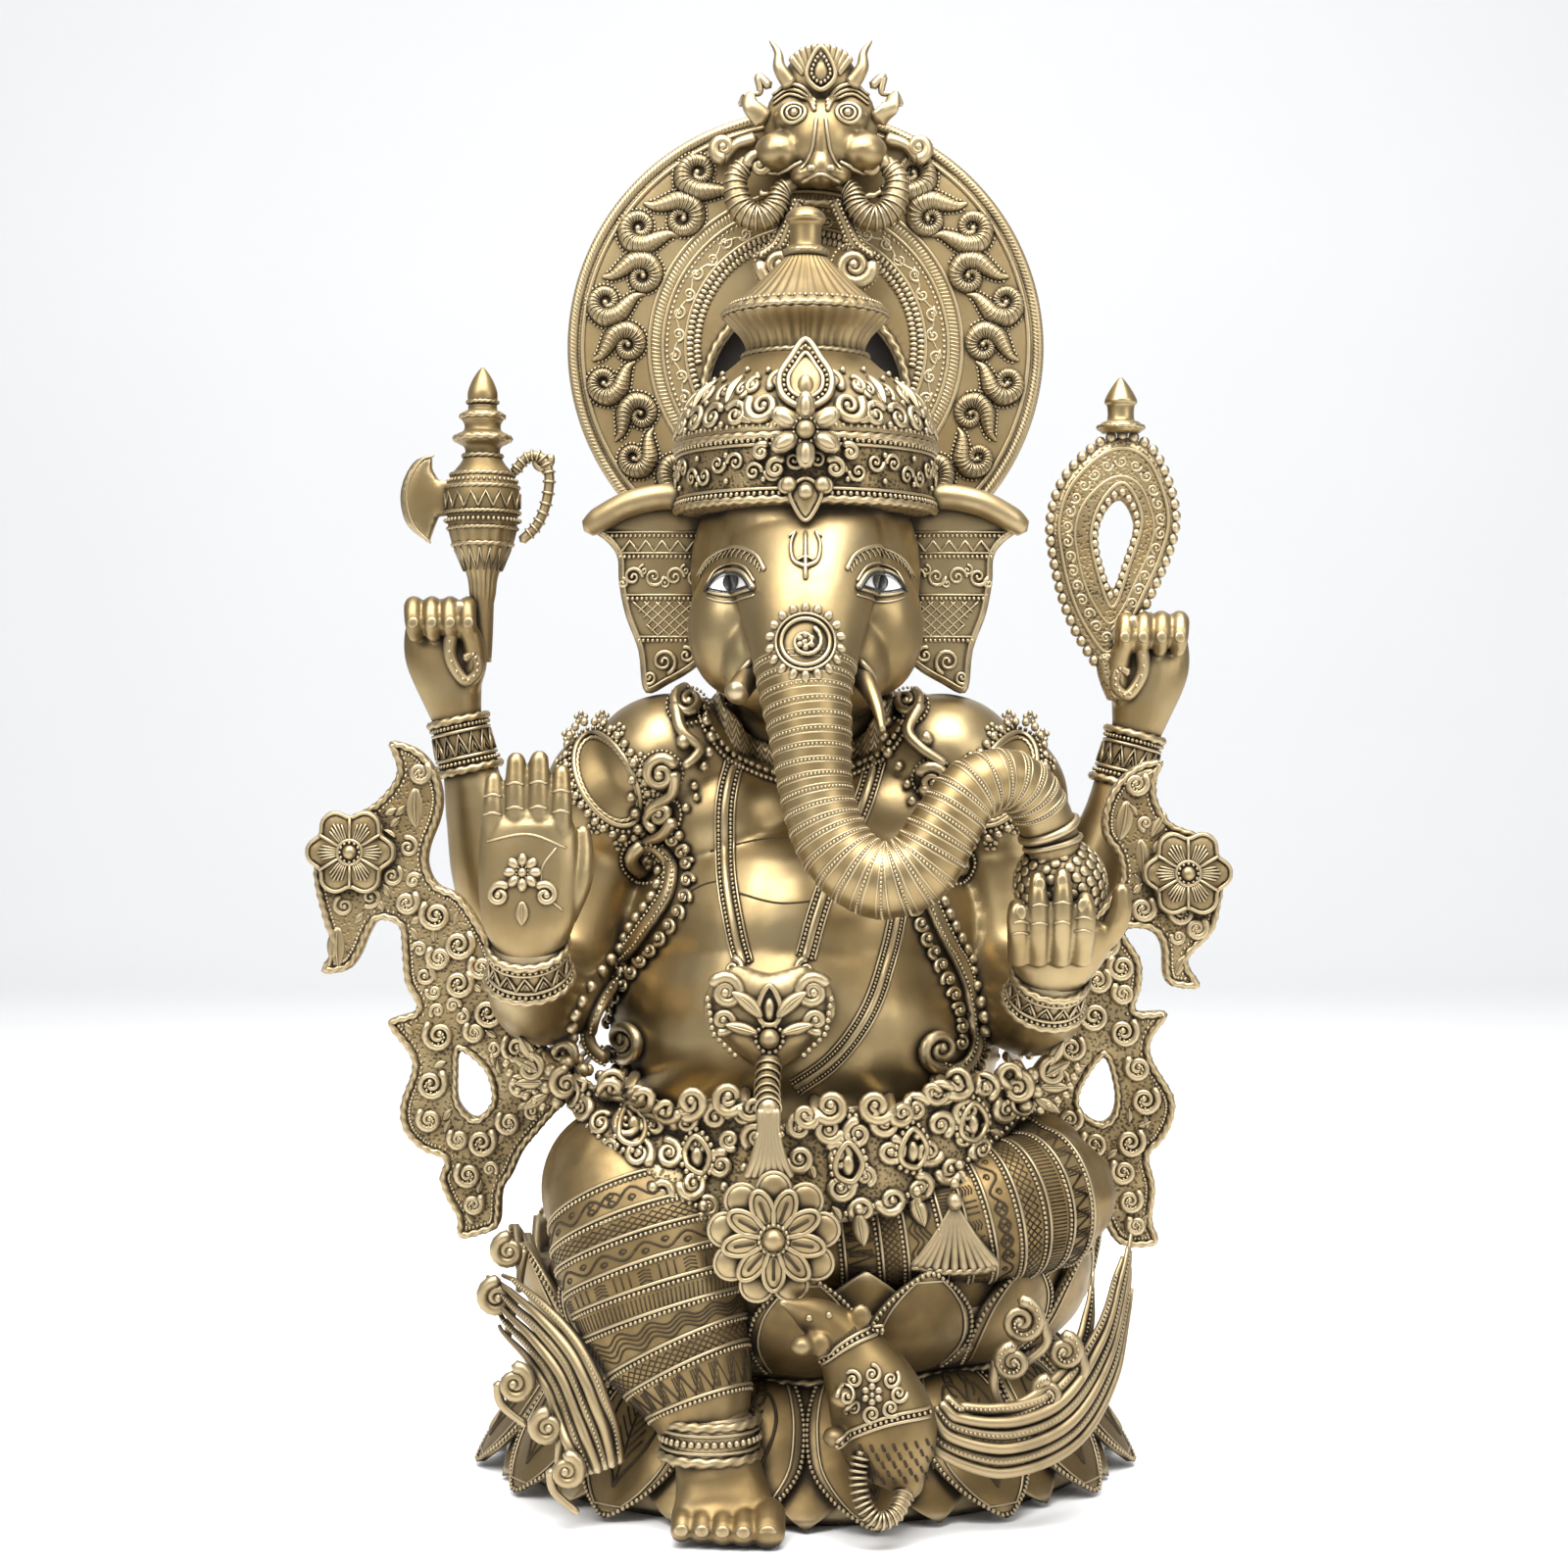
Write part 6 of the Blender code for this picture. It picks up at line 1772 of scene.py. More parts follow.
def on_belt(lift):
    """Lays drawing on the belt's curved front, clear of the knees under it."""
    def lay(xz):
        under = drape_legs.lay(xz, 0.0)
        rows = []
        for (x, z), spot in zip(xz, under):
            y = min(edge_at(BELT_PATH, x) - 3.0, spot[1] - 4.0 if abs(spot[2] - z) < 1 and spot[1] > -215
                    else 0.0)
            rows.append((x, y - lift, z))
        smooth = np.array(rows)
        if len(smooth) > 4:
            inner = (smooth[:-2, 1] + smooth[1:-1, 1] + smooth[2:, 1]) / 3
            smooth[1:-1, 1] = inner
        return smooth
    return lay


def belt():
    ground = Work()
    xs = np.linspace(-166, 146, 105)
    rows = 14
    lay = on_belt(0.0)
    columns = []
    for x in xs:
        low, high = edge_at(BELT_FOOT, x), edge_at(BELT_TOP, x)
        columns.append(np.array([(x, low + (high - low) * k / (rows - 1)) for k in range(rows)]))
    flat = np.vstack(columns)
    front = lay(flat).reshape(len(xs), rows, 3)
    for _ in range(6):
        front[1:-1, :, 1] = (front[:-2, :, 1] + front[1:-1, :, 1] * 2 + front[2:, :, 1]) / 4
        front[:, 1:-1, 1] = (front[:, :-2, 1] + front[:, 1:-1, 1] * 2 + front[:, 2:, 1]) / 4
    sheet(ground, front, np.array((0, 6.0, 0)))
    skin = ground.build("belt_ground", GROUND, "belt")
    drape = Drape(skin)
    work = Work()
    at = drape.at(1.4)
    placed = []
    shuffle = random.Random(11)
    for radius in (8.2, 6.0, 4.0):
        for _ in range(1500):
            x = shuffle.uniform(-160, 141)
            low, high = edge_at(BELT_FOOT, x), edge_at(BELT_TOP, x)
            z = shuffle.uniform(low + 3, high - 3)
            room = min([math.hypot(x - a, z - b) - r for a, b, r in placed] or [99.0])
            if room < radius or math.hypot(x + 18, z - 168) < 34 + radius:
                continue
            placed.append((x, z, radius))
    for k, (x, z, radius) in enumerate(placed):
        way = 1 if k % 2 else -1
        if radius > 5:
            scroll(work, at, (x, z), radius * 0.95, 1.7, shuffle.uniform(0, 360), way, 2.6 * radius / 7,
                   1.2, 7)
            beads(work, drape.lay([(x, z)], 2.6), radius * 0.26)
        elif k % 3:
            beads(work, drape.lay([(x, z)], 2.0), 3.0)
        else:
            leaf(work, at, (x, z - 3), shuffle.uniform(-60, 60), 9, 6)
    for edge, shift in ((BELT_TOP, 1.0), (BELT_FOOT, -1.0)):
        line = np.array([(x, edge_at(edge, x) + shift) for x in np.linspace(-162, 143, 120)])
        keep = [run for run in runs(line[np.hypot(line[:, 0] + 18, line[:, 1] - 168) > 33], 8)]
        for run in keep:
            beads(work, drape.lay(spaced(run, 7.2), 0.8), 3.6)
            beads(work, drape.lay(spaced(run - (0, shift * 6.0), 4.0), 1.2), 1.8)
    for k, x in enumerate((-146, -112, -66, -44, 14, 40, 88, 122)):
        z = edge_at(BELT_TOP, x) + 2
        way = 1 if k % 2 else -1
        scroll(work, drape.at(2.4), (x, z), 9.6, 1.7, 90 * way, way, 3.6, 1.6, 8)
        scroll(work, drape.at(2.4), (x + way * 14, z - 5), 7.0, 1.5, -90 * way, -way, 2.8, 1.4, 8)
    for x, turn in ((-86, 205), (-60, 190), (30, 170), (62, 160), (88, 150)):
        z = edge_at(BELT_FOOT, x) + 4
        leaf(work, drape.at(2.6), (x, z), turn, 19, 10, thick=2.6)
        beads(work, drape.lay([(x, z + 2)], 3.6), 3.4)
    for x in (-138, -100, -62, 24, 60, 96, 128):
        z = (edge_at(BELT_FOOT, x) + edge_at(BELT_TOP, x)) / 2
        paisley = loop_spline([(x, z + 13), (x + 8, z + 2), (x + 3, z - 9), (x - 6, z - 6),
                               (x - 7, z + 3)], 6)
        tube(work, drape.lay(paisley, 3.4), 1.8, 8, closed=True)
        beads(work, drape.lay(spaced(grown(paisley, (x, z), 1.3), 4.2, closed=True), 2.6), 1.8)
        ball(work, drape.lay([(x, z)], 2.6)[0], (3.6, 2.6, 6.0), 12)
    work.build("belt_scrolls", RELIEF)


def belt_flower():
    work = Work()
    centre, y = np.array((-18.0, 168.0)), -203.0
    slots = Work()
    for count, radius, length, width, thick, lift in ((9, 28, 9.0, 9.0, 3.0, 0),
                                                      (9, 18.0, 10.5, 5.6, 3.2, 4.0)):
        for k in range(count):
            a = TURN * (k + (0.5 if lift else 0.0)) / count
            spot = np.array((centre[0] + radius * math.sin(a), y - lift, centre[1] + radius * math.cos(a)))
            petal_ball(work, spot, a, length, width, thick)
            ring = flat_at(0)(oval((0, 0), width, length, 22) * 1.04)
            rim = turned(ring, a) + spot - (0, 0.4, 0)
            if lift:
                tube(work, rim - (0, 1.0, 0), 1.5, 8, closed=True)
                inner = np.array((math.sin(a), 0, math.cos(a)))
                tube(slots, [spot + inner * reach - (0, 3.2, 0) for reach in (-7.0, 0.0, 4.5)], 0.9, 5)
            else:
                tube(work, rim, 1.2, 6, closed=True)
    disc(work, np.array((centre[0], y + 4, centre[1])), np.array((0.0, -1.0, 0.0)), 30, 3.0)
    ball(work, (centre[0], y - 7, centre[1]), (6.4, 5.4, 6.4), 20)
    beads(work, ring_circle((centre[0], y - 6.5, centre[1]), 8.2, 18), 1.3)
    work.build("belt_flower_petals", RELIEF, "belt_flower")
    # The slots are dark lines: the patina and painted shade of cut slots.
    slots.build("belt_flower_slots", GROOVE_PATINA_AND_SHADE)


def petal_ball(work, spot, angle, length, width, thick):
    """A larger and smoother petal of the same kind."""
    part = Work()
    ball(part, (0, 0, 0), (width, thick, length), 16)
    work.add(turned(part.points[0], angle) + spot, part.faces)


def brooch():
    work = Work()
    x0 = -21.0
    outline = loop_spline([
        (x0, 314), (x0 - 20, 318), (x0 - 36, 306), (x0 - 38, 290), (x0 - 26, 274), (x0 - 12, 262),
                           (x0, 256),
        (x0 + 12, 262), (x0 + 26, 274), (x0 + 38, 290), (x0 + 36, 306), (x0 + 20, 318),
    ], 4)
    panel(work, outline, -152, -138, cell=3.4, dome=6, hump=14)
    at = flat_at(-158)
    for side in (-1, 1):
        scroll(work, at, (x0 + side * 25, 304), 9.5, 1.8, side * 60, -side, 4.0, 1.8, 8)
        scroll(work, at, (x0 + side * 27, 287), 7.0, 1.5, side * 160, side, 3.0, 1.4, 8)
        leaf(work, flat_at(-161), (x0 + side * 4, 288), side * 35, 24, 9, curl=side * 25, thick=3.0)
        leaf(work, flat_at(-161), (x0 + side * 6, 280), side * 75, 20, 8, thick=3.0)
        beads(work, at(spaced([(x0 + side * 36, 300), (x0 + side * 33, 280), (x0 + side * 20, 267)],
                              4.2)), 2.0)
    tear = loop_spline([(x0, 308), (x0 + 6.5, 296), (x0 + 4, 286), (x0 - 4, 286), (x0 - 6.5, 296)], 6)
    tube(work, flat_at(-160)(tear), 1.7, 8, closed=True)
    ball(work, (x0, -158, 294), (3.6, 4, 7), 16)
    ball(work, (x0, -160, 277), (6.0, 6, 6.0), 20)
    beads(work, ring_circle((x0, -160, 277), 8.0, 14), 1.5)
    neck = spline([(x0, -156, 264), (x0 - 1, -166, 254), (x0 - 1, -182, 246), (x0, -197, 240)], 8)
    tube(work, neck, 6.0, 14)
    for p, q in zip(neck[3:-1:4], neck[4::4]):
        ribbed(work, p, q - p, 7.2)
    for k in range(-3, 4):
        strand = spline([(x0 + k * 1.6, -197, 240), (x0 + k * 1.7, -199, 226), (x0 + k * 2.8, -200, 212),
                         (x0 + k * 4.0, -199, 202)], 6)
        tube(work, strand, np.linspace(2.0, 2.7, len(strand)), 8)
    tube(work, flat_at(-199)(spline([(x0 - 7, 226), (x0, 224), (x0 + 7, 226)], 6)), 2.2, 8)
    work.build("navel_brooch_relief", RELIEF, "navel_brooch")


def hip_clasp():
    """The beaded clasps at the hips, where the belt's ends are gathered into knobs and drops."""
    work = Work()
    for side, x, z, y in ((-1, -143, 246, -112), (1, 126, 244, -116)):
        at = flat_at(y)
        for k in range(7):
            a = TURN * k / 7
            ball(work, (x + 12 * math.sin(a), y, z + 12 * math.cos(a)), (4.6, 4.2, 4.6), 12)
        scroll(work, flat_at(y - 4), (x, z), 9, 1.6, 0, side, 3.4, 1.6, 8)
        scroll(work, at, (x + side * 22, z + 9), 8, 1.5, 0, -side, 3.0, 1.4, 8)
        for k in range(4):
            leaf(work, at, (x + side * (10 + 3 * k), z - 6 + 6 * k), side * (120 - 30 * k), 18, 8,
                 thick=2.4)
        beads(work, at(spaced([(x + side * 14, z - 14), (x + side * 30, z - 4), (x + side * 36, z + 12)],
                              6.2)), 2.9)
    work.build("hip_clasps", RELIEF)


# ---- legs and feet ---------------------------------------------------------------------------
RIGHT_THIGH = [(-64, -26, 176, 46, 44), (-96, -80, 184, 50, 47), (-111, -122, 185, 50, 46),
               (-110, -138, 190, 46, 42)]
RIGHT_SHIN = [
    (-109, -138, 198, 44, 38), (-98, -153, 170, 53, 44), (-87, -164, 138, 53, 43),
    (-77, -172, 108, 47, 38), (-65, -180, 82, 36, 32), (-57, -187, 60, 27, 26),
]
LEFT_THIGH = [(64, -30, 170, 42, 42), (104, -62, 180, 45, 45), (136, -88, 181, 46, 42),
              (148, -100, 180, 42, 37)]
LEFT_CALF = [
    (152, -104, 178, 42, 36), (118, -128, 172, 41, 35), (75, -140, 163, 34, 32), (32, -146, 157, 29, 27),
    (-8, -148, 153, 23, 22),
]


def leg(name, node, thigh, shin, hint):
    work = Work()
    limb(work, thigh, sides=36, hint=(0, 0, 1))
    limb(work, shin, sides=36, hint=hint)
    return fuse(work.build(name, AGED, node), 2.6, passes=6)


def leg_bands(name, skin, stations, hint, start, bands):
    """Beaded rings round the leg, with a different engraved pattern between each pair."""
    dense = spline(stations, 30)
    path, radii = dense[:, :3], dense[:, 3:5]
    lengths = np.concatenate([[0], np.cumsum(np.linalg.norm(np.diff(path, axis=0), axis=1))])
    along, across, deep = frames(path, hint=hint)
    tree = Drape(skin).tree

    def around(distance, angle, lift):
        k = int(np.clip(np.searchsorted(lengths, distance), 1, len(path) - 1))
        way = across[k] * math.cos(angle) + deep[k] * math.sin(angle)
        out = path[k] + way * max(radii[k]) * 1.9 + along[k] * (distance - lengths[k])
        hit = tree.ray_cast(Vector(out), Vector(-way))[0]
        if hit is None:
            return path[k] + way * radii[k].mean()
        return np.array(hit) + way * lift

    def ring(distance, lift, count=90):
        return np.array([around(distance, TURN * j / count, lift) for j in range(count)])

    def edging(distance):
        tube(raised, ring(distance - 1.3, 0.3), 1.1, 5, closed=True)
        beads(raised, spaced(ring(distance + 1.1, 0.4), 2.9, closed=True), 1.25)

    raised, grooves = Work(), Work()
    distance = start
    for tall, pattern in bands:
        edging(distance)
        engrave(grooves, around, distance + 3.2, tall - 6.0, pattern)
        distance += tall
    edging(distance)
    raised.build(name, AGED_RELIEF)
    # The pattern lines are dark: the patina and painted shade of engraved grooves.
    grooves.build(name + "_engraving", GROOVE_PATINA_AND_SHADE)


def engrave(work, around, foot, tall, pattern):
    """Draws one band's pattern in dark lines on the surface, which paint in the patina and shade of cut
    grooves. A line's stations are (share of the band's height, share of a turn).
    """
    def line(stations, thick=0.65):
        tube(work, [around(foot + up * tall, TURN * turn, 0.0) for up, turn in stations], thick, 4)

    def waves(count, middle, swing, thick=0.65):
        for k in range(count):
            line([(middle + swing * math.sin(TURN * s), (k + s) / count) for s in np.linspace(0, 1, 9)],
                 thick)

    if pattern == "comb":
        for k in range(100):
            line([(0.04, k / 100), (0.96, (k + 0.3) / 100)], 0.5)
    elif pattern == "crossed":
        for k in range(46):
            line([(0, k / 46), (0.5, (k + 1) / 46), (1, (k + 2) / 46)], 0.5)
            line([(1, k / 46), (0.5, (k + 1) / 46), (0, (k + 2) / 46)], 0.5)
    elif pattern == "bars":
        for k in range(60):
            if k % 6 < 3:
                line([(0.04, k / 60), (0.96, k / 60)], 0.6)
            elif k % 6 == 4:
                for up in (0.1, 0.34, 0.58, 0.82):
                    line([(up + 0.14, (k - 0.8) / 60), (up, k / 60), (up + 0.14, (k + 0.8) / 60)], 0.5)
    elif pattern == "triangles":
        for k in range(18):
            low, peak, high = k / 18, (k + 0.5) / 18, (k + 1) / 18
            line([(0, low), (1, peak), (0, high)], 0.9)
            for share in (0.3, 0.55, 0.8):
                line([(0.04, low + (peak - low) * share), (share * 0.8, low + (peak - low) * share)], 0.45)
                line([(1 - share * 0.8, high + (peak - low) * (0.9 - share)),
                      (0.96, high + (peak - low) * (0.9 - share))],
                     0.45)
    elif pattern == "ripples":
        for middle in (0.2, 0.4, 0.6, 0.8):
            waves(13, middle, 0.15)
    else:
        waves(11, 0.5, 0.34, 0.8)
        for k in range(22):
            middle, up = (k + 0.5) / 22, (0.68 if k % 2 else 0.32)
            turns = np.linspace(0, 1.3 * TURN, 12)
            line([(up + 0.17 * (1 - 0.05 * j) * math.cos(t), middle + 0.010 * (1 - 0.05 * j) * math.sin(t))
                  for j, t in enumerate(turns)], 0.5)


def feet():
    work = Work()
    limb(work, [(-56, -188, 62, 24, 23), (-51, -190, 42, 24, 23), (-48, -197, 26, 26, 21),
                (-46, -210, 15, 29, 13), (-46, -220, 10, 29, 8)], sides=30)
    for k, x in enumerate((-69, -57.5, -46, -34.5, -21)):
        size = 6.6 + 0.5 * k + (k == 4) * 1.4
        tube(work, spline([(x, -208, 14), (x, -220, 12), (x, -230 + abs(k - 3) * 1.4, 8)], 6), size, 14)
        ball(work, (x, -231 + abs(k - 3) * 1.4, 8.2), (size * 0.98, size * 0.9, size * 0.86), 14)
    foot = work.build("right_foot_skin", AGED, "right_foot")
    fuse(foot, 1.5, passes=4)
    nails = Work()
    for k, x in enumerate((-69, -57.5, -46, -34.5, -21)):
        ball(nails, (x, -237.5 + abs(k - 3) * 1.4, 11.0), (4.2 + (k == 4), 1.6, 3.4), 12)
    for sx in (-58, -46, -34):
        tube(nails, spline([(sx, -205, 21), (sx + 1, -197, 30), (sx + 2, -192, 40)], 5), 0.9, 5)
    nails.build("right_toe_nails", AGED_RELIEF)
    anklet = Work()
    for z, r, size in ((63, 27.0, 2.6), (58.5, 27.5, 1.3), (53.5, 28.2, 2.2), (48.5, 27.5, 1.3),
                       (43.5, 27.6, 3.0)):
        ring = np.column_stack([oval((-54.5, -189), r, r * 0.94, 90), np.full(90, float(z))])
        if size > 2.5:
            rope(anklet, ring, size, closed=True)
        elif size > 2:
            beads(anklet, spaced(ring, 4.4, closed=True), size)
        else:
            tube(anklet, ring, size, 6, closed=True)
    tube(anklet, [(-54.5, -189, 63), (-54.5, -189, 53), (-54.5, -189, 43.0)], 26.4, 48)
    anklet.build("right_anklet_rings", AGED_RELIEF, "right_anklet")
    sole = Work()
    limb(sole, [(-4, -148, 153, 20, 19), (-24, -151, 149, 19, 18), (-40, -153, 146, 16, 14),
                (-48, -154, 144, 11, 9)],
         sides=26, hint=(0, 0, 1))
    for k in range(5):
        z = 134 + 6.4 * k
        ball(sole, (-50 + abs(k - 2), -160 + k, z), (6, 5.2, 3.8), 12)
    piece = sole.build("left_foot_skin", AGED, "left_foot")
    fuse(piece, 1.5, passes=4)


# ---- lotus base ------------------------------------------------------------------------------
PETALS, PETAL_TURN = 16, TURN / 16


def turned_ring(work, profile):
    """A closed profile of (radius, height) swept round the vertical axis."""
    segments = 192
    angles = circle(segments)
    rows = [np.stack([r * np.sin(angles), -r * np.cos(angles), np.full(segments, float(z))], axis=1)
            for r, z in profile]
    work.add(np.vstack(rows), wall(len(profile), segments, closed=True))


def petal_surface(middle, rows, half_angle, bulge):
    """A petal's (u, v) surface. rows are (v, radius, height, share of the half width)."""
    table = np.array(rows, float)

    def at(u, v, lift=0.0):
        r = np.interp(v, table[:, 0], table[:, 1])
        z = np.interp(v, table[:, 0], table[:, 2])
        w = np.interp(v, table[:, 0], table[:, 3])
        swell = bulge * (1 - u * u) * math.sin(math.pi * min(1.0, 0.12 + v * 0.88)) + lift
        angle = middle + half_angle * w * u
        slope = 0.75
        return np.array(((r + swell * slope) * math.sin(angle), -(r + swell * slope) * math.cos(angle),
                         z + swell * (0.5 if table[-1, 2] < table[0, 2] else -0.25)))
    return at


LOWER_ROWS = spline([
    (0, 146, 78, 0.66), (0.2, 156, 71, 0.86), (0.45, 171, 55, 1.0), (0.7, 187, 33, 0.94),
                     (0.86, 199, 17, 0.60),
    (0.95, 206, 7.4, 0.25), (1.0, 209.5, 2.2, 0.02),
], 4)
UPPER_ROWS = spline([
    (0, 146, 76, 0.66), (0.2, 160, 86, 0.86), (0.45, 173, 101, 1.0), (0.7, 181, 118, 0.86),
                     (0.86, 185, 131, 0.55),
    (0.95, 187, 139, 0.25), (1.0, 188.5, 144, 0.03),
], 4)


def lotus_petal(work, surface, thick):
    grid = np.array([[surface(u, v) for u in np.linspace(-1, 1, 13)] for v in np.linspace(0, 1, 22)])
    back = grid.copy()
    back[:, :, :2] -= unit(grid[:, :, :2]) * thick
    sheet(work, grid, back - grid)


def petal_trim(work, surface, bead, gap):
    edge = [surface(s, v, 0.6) for s, v in ([(-0.97, v) for v in np.linspace(0.12, 0.985, 36)]
                                            + [(0.97, v) for v in np.linspace(0.985, 0.12, 36)])]
    beads(work, spaced(edge, gap), bead)
    inner = [surface(s, v, 0.4) for s, v in ([(-0.80, v) for v in np.linspace(0.14, 0.94, 24)]
                                             + [(0.80, v) for v in np.linspace(0.94, 0.14, 24)])]
    tube(work, np.array(inner), 0.9, 5)


def heart(work, surface):
    """The leaf-shaped heart on a petal's face, with a rib and veins, drawn in dark lines that paint in the
    patina and shade of engraved grooves.
    """
    for side in (-1, 1):
        outline = [(0, 0.82), (side * 0.30, 0.66), (side * 0.44, 0.46), (side * 0.34, 0.30),
                   (side * 0.14, 0.30), (0, 0.42)]
        line = spline([(u * 1.15, 0.56 + (v - 0.56) * 1.15) for u, v in outline], 5)
        tube(work, [surface(u, v, 0.1) for u, v in line], 0.9, 5)
        for v in (0.44, 0.50, 0.56, 0.62, 0.68):
            vein = [(side * 0.03, v + 0.05), (side * 0.14, v), (side * 0.27, v - 0.06)]
            tube(work, [surface(u, w, 0.1) for u, w in vein], 0.55, 4)
        curl = volute((side * 0.20, 0.22), 0.13, 1.3, 0, side, count=16)
        tube(work, [surface(u, v, 0.1) for u, v in curl], 0.8, 5)
    tube(work, [surface(0, v, 0.1) for v in np.linspace(0.42, 0.86, 8)], 0.7, 5)


def lotus():
    ring = Work()
    turned_ring(ring, [(176, 0), (183, 0), (190, 6), (184, 28), (168, 54), (150, 72), (149, 76),
                       (120, 76), (120, 70), (143, 70), (160, 44)])
    lower, trim, hearts = Work(), Work(), Work()
    for k in range(PETALS):
        surface = petal_surface(PETAL_TURN * (k + 0.5), LOWER_ROWS, PETAL_TURN / 2, 6.5)
        lotus_petal(lower, surface, 5.0)
        petal_trim(trim, surface, 1.45, 3.2)
        heart(hearts, surface)
    for k in range(PETALS):
        surface = petal_surface(PETAL_TURN * k, [(v, r - 9, z, w) for v, r, z, w in LOWER_ROWS],
                                PETAL_TURN / 2, 5.0)
        lotus_petal(lower, surface, 5.0)
    ring.build("lotus_lower_ground", AGED, "lotus_lower_ring")
    lower.build("lotus_lower_petals", AGED)
    rope(trim, ring_points(151, 75, (0, 0), 260), 3.0, closed=True)
    trim.build("lotus_lower_beading", AGED_RELIEF)
    hearts.build("lotus_lower_hearts", GROOVE_PATINA_AND_SHADE)
    ring = Work()
    turned_ring(ring, [(120, 76.5), (149, 76.5), (168, 92), (176, 112), (176, 124), (14, 126), (14, 120),
                       (144, 120), (144, 82), (120, 82)])
    upper, trim = Work(), Work()
    for k in range(PETALS):
        surface = petal_surface(PETAL_TURN * k, UPPER_ROWS, PETAL_TURN / 2, 7.0)
        lotus_petal(upper, surface, 5.0)
        petal_trim(trim, surface, 1.6, 3.6)
    for k in range(PETALS):
        surface = petal_surface(PETAL_TURN * (k + 0.5), [(v, r - 8, z, w) for v, r, z, w in UPPER_ROWS],
                                PETAL_TURN / 2, 5.0)
        lotus_petal(upper, surface, 5.0)
    ring.build("lotus_upper_ground", AGED, "lotus_upper_ring")
    upper.build("lotus_upper_petals", AGED)
    trim.build("lotus_upper_beading", AGED_RELIEF)


# ---- mouse and sashes ------------------------------------------------------------------------
MOUSE = [
    (-13, -226, 136, 2.2, 2.2), (-7, -222, 133, 5, 4.6), (2, -216, 128, 10, 9), (14, -210, 119, 14, 13),
    (25, -208, 105, 19, 17), (36, -210, 86, 26, 22), (45, -213, 64, 29, 23), (52, -216, 46, 23, 19),
         (57, -218, 34, 12, 10),
]


def mouse():
    work = Work()
    limb(work, MOUSE, sides=30, hint=(1, 0, 0.3))
    for x, y, z in ((8, -224, 112), (31, -214, 126)):
        ball(work, (x, y, z), (6.4, 4.0, 7.2), 18)
    for x, y, z in ((-2, -226, 112), (20, -232, 84), (16, -230, 62)):
        ball(work, (x, y, z), (7, 8, 6), 14)
    skin = work.build("mouse_skin", AGED, "mouse")
    fuse(skin, 1.6, passes=5)
    drape = Drape(skin)
    trim = Work()
    for foot, top in (((6, 96), (44, 116)), ((16, 56), (70, 72))):
        line = np.array([(foot[0] + (top[0] - foot[0]) * s, foot[1] + (top[1] - foot[1]) * s
                          + 5 * math.sin(math.pi * s))
                         for s in np.linspace(0.02, 0.98, 26)])
        for shift in (0, 4.4):
            tube(trim, drape.lay(line + (0, shift), 0.6), 1.1, 6)
        beads(trim, drape.lay(spaced(line + (0, 2.2), 3.0), 0.8), 1.2)
    for k in range(8):
        a = TURN * k / 8
        reach = 14.5 if k % 4 else 17
        scroll(trim, drape.at(0.8), (37 + reach * math.sin(a), 86 + 10.5 * math.cos(a)), 4.8, 1.5,
               math.degrees(a), 1, 1.5, 0.9)
    rosette(trim, drape.at(0.8), (37, 86), 6.5, 6, 1.6)
    for x, z in ((2, 127), (13, 128)):
        ball(trim, drape.lay([(x, z)], 0.2)[0], (2.0, 1.6, 2.0), 12)
    fur = Work()
    for k in range(12):
        stroke(fur, drape.at(0.0), [(12 + 1.4 * k, 110 + k), (14 + 1.4 * k, 104 + k)], 0.6, 0.5, steps=3)
    for row in range(5):
        for k in range(7):
            x, z = 30 + 6.2 * k + (row % 2) * 3, 38 + 5.0 * row + 0.4 * k
            spot = drape.lay([(x, z), (x + 1.4, z - 3.6)], 0.3)
            if spot[0][1] < -206:
                tube(fur, spot, 0.8, 4)
    tail = spline([(56, -222, 32), (50, -232, 20), (40, -236, 17), (32, -235, 26), (29, -232, 40),
                   (31, -230, 54)], 8)
    tube(trim, tail, np.linspace(5.0, 2.6, len(tail)), 12)
    for p, q in zip(tail[2:-1:2], tail[3::2]):
        ribbed(trim, p, q - p, 4.6)
    trim.build("mouse_blanket", AGED_RELIEF)
    # The fur strokes are dark lines: the patina and painted shade of engraved grooves.
    fur.build("mouse_fur", GROOVE_PATINA_AND_SHADE)


def strands(work, stations, count, width, thick):
    """Parallel folds of cloth that run side by side along a path of x, y, z points."""
    line = spline(stations, 10)
    _, across, _ = frames(line, hint=(0, 0, 1))
    spread = fade(len(line), [0, 0.3, 0.8, 1], [0.55, 1.0, 0.9, 0.35])[:, None]
    for k in range(count):
        offset = (k - (count - 1) / 2) * width / (count - 1)
        bow = 3.5 * math.cos(math.pi * (k / (count - 1) - 0.5)) - (2.0 if k % 2 else 0.0)
        trim = len(line) - 3 * abs(k - count // 2)
        path = (line + across * offset * spread + np.array((0, -bow, 0)))[:trim]
        tube(work, path, fade(trim, [0, 0.5, 1], [thick * 0.8, thick, thick * 0.35]), 10)
        if k % 2:
            beads(work, spaced(path[2:-4] - (0, thick * 0.85, 0), 2.6), 1.05)


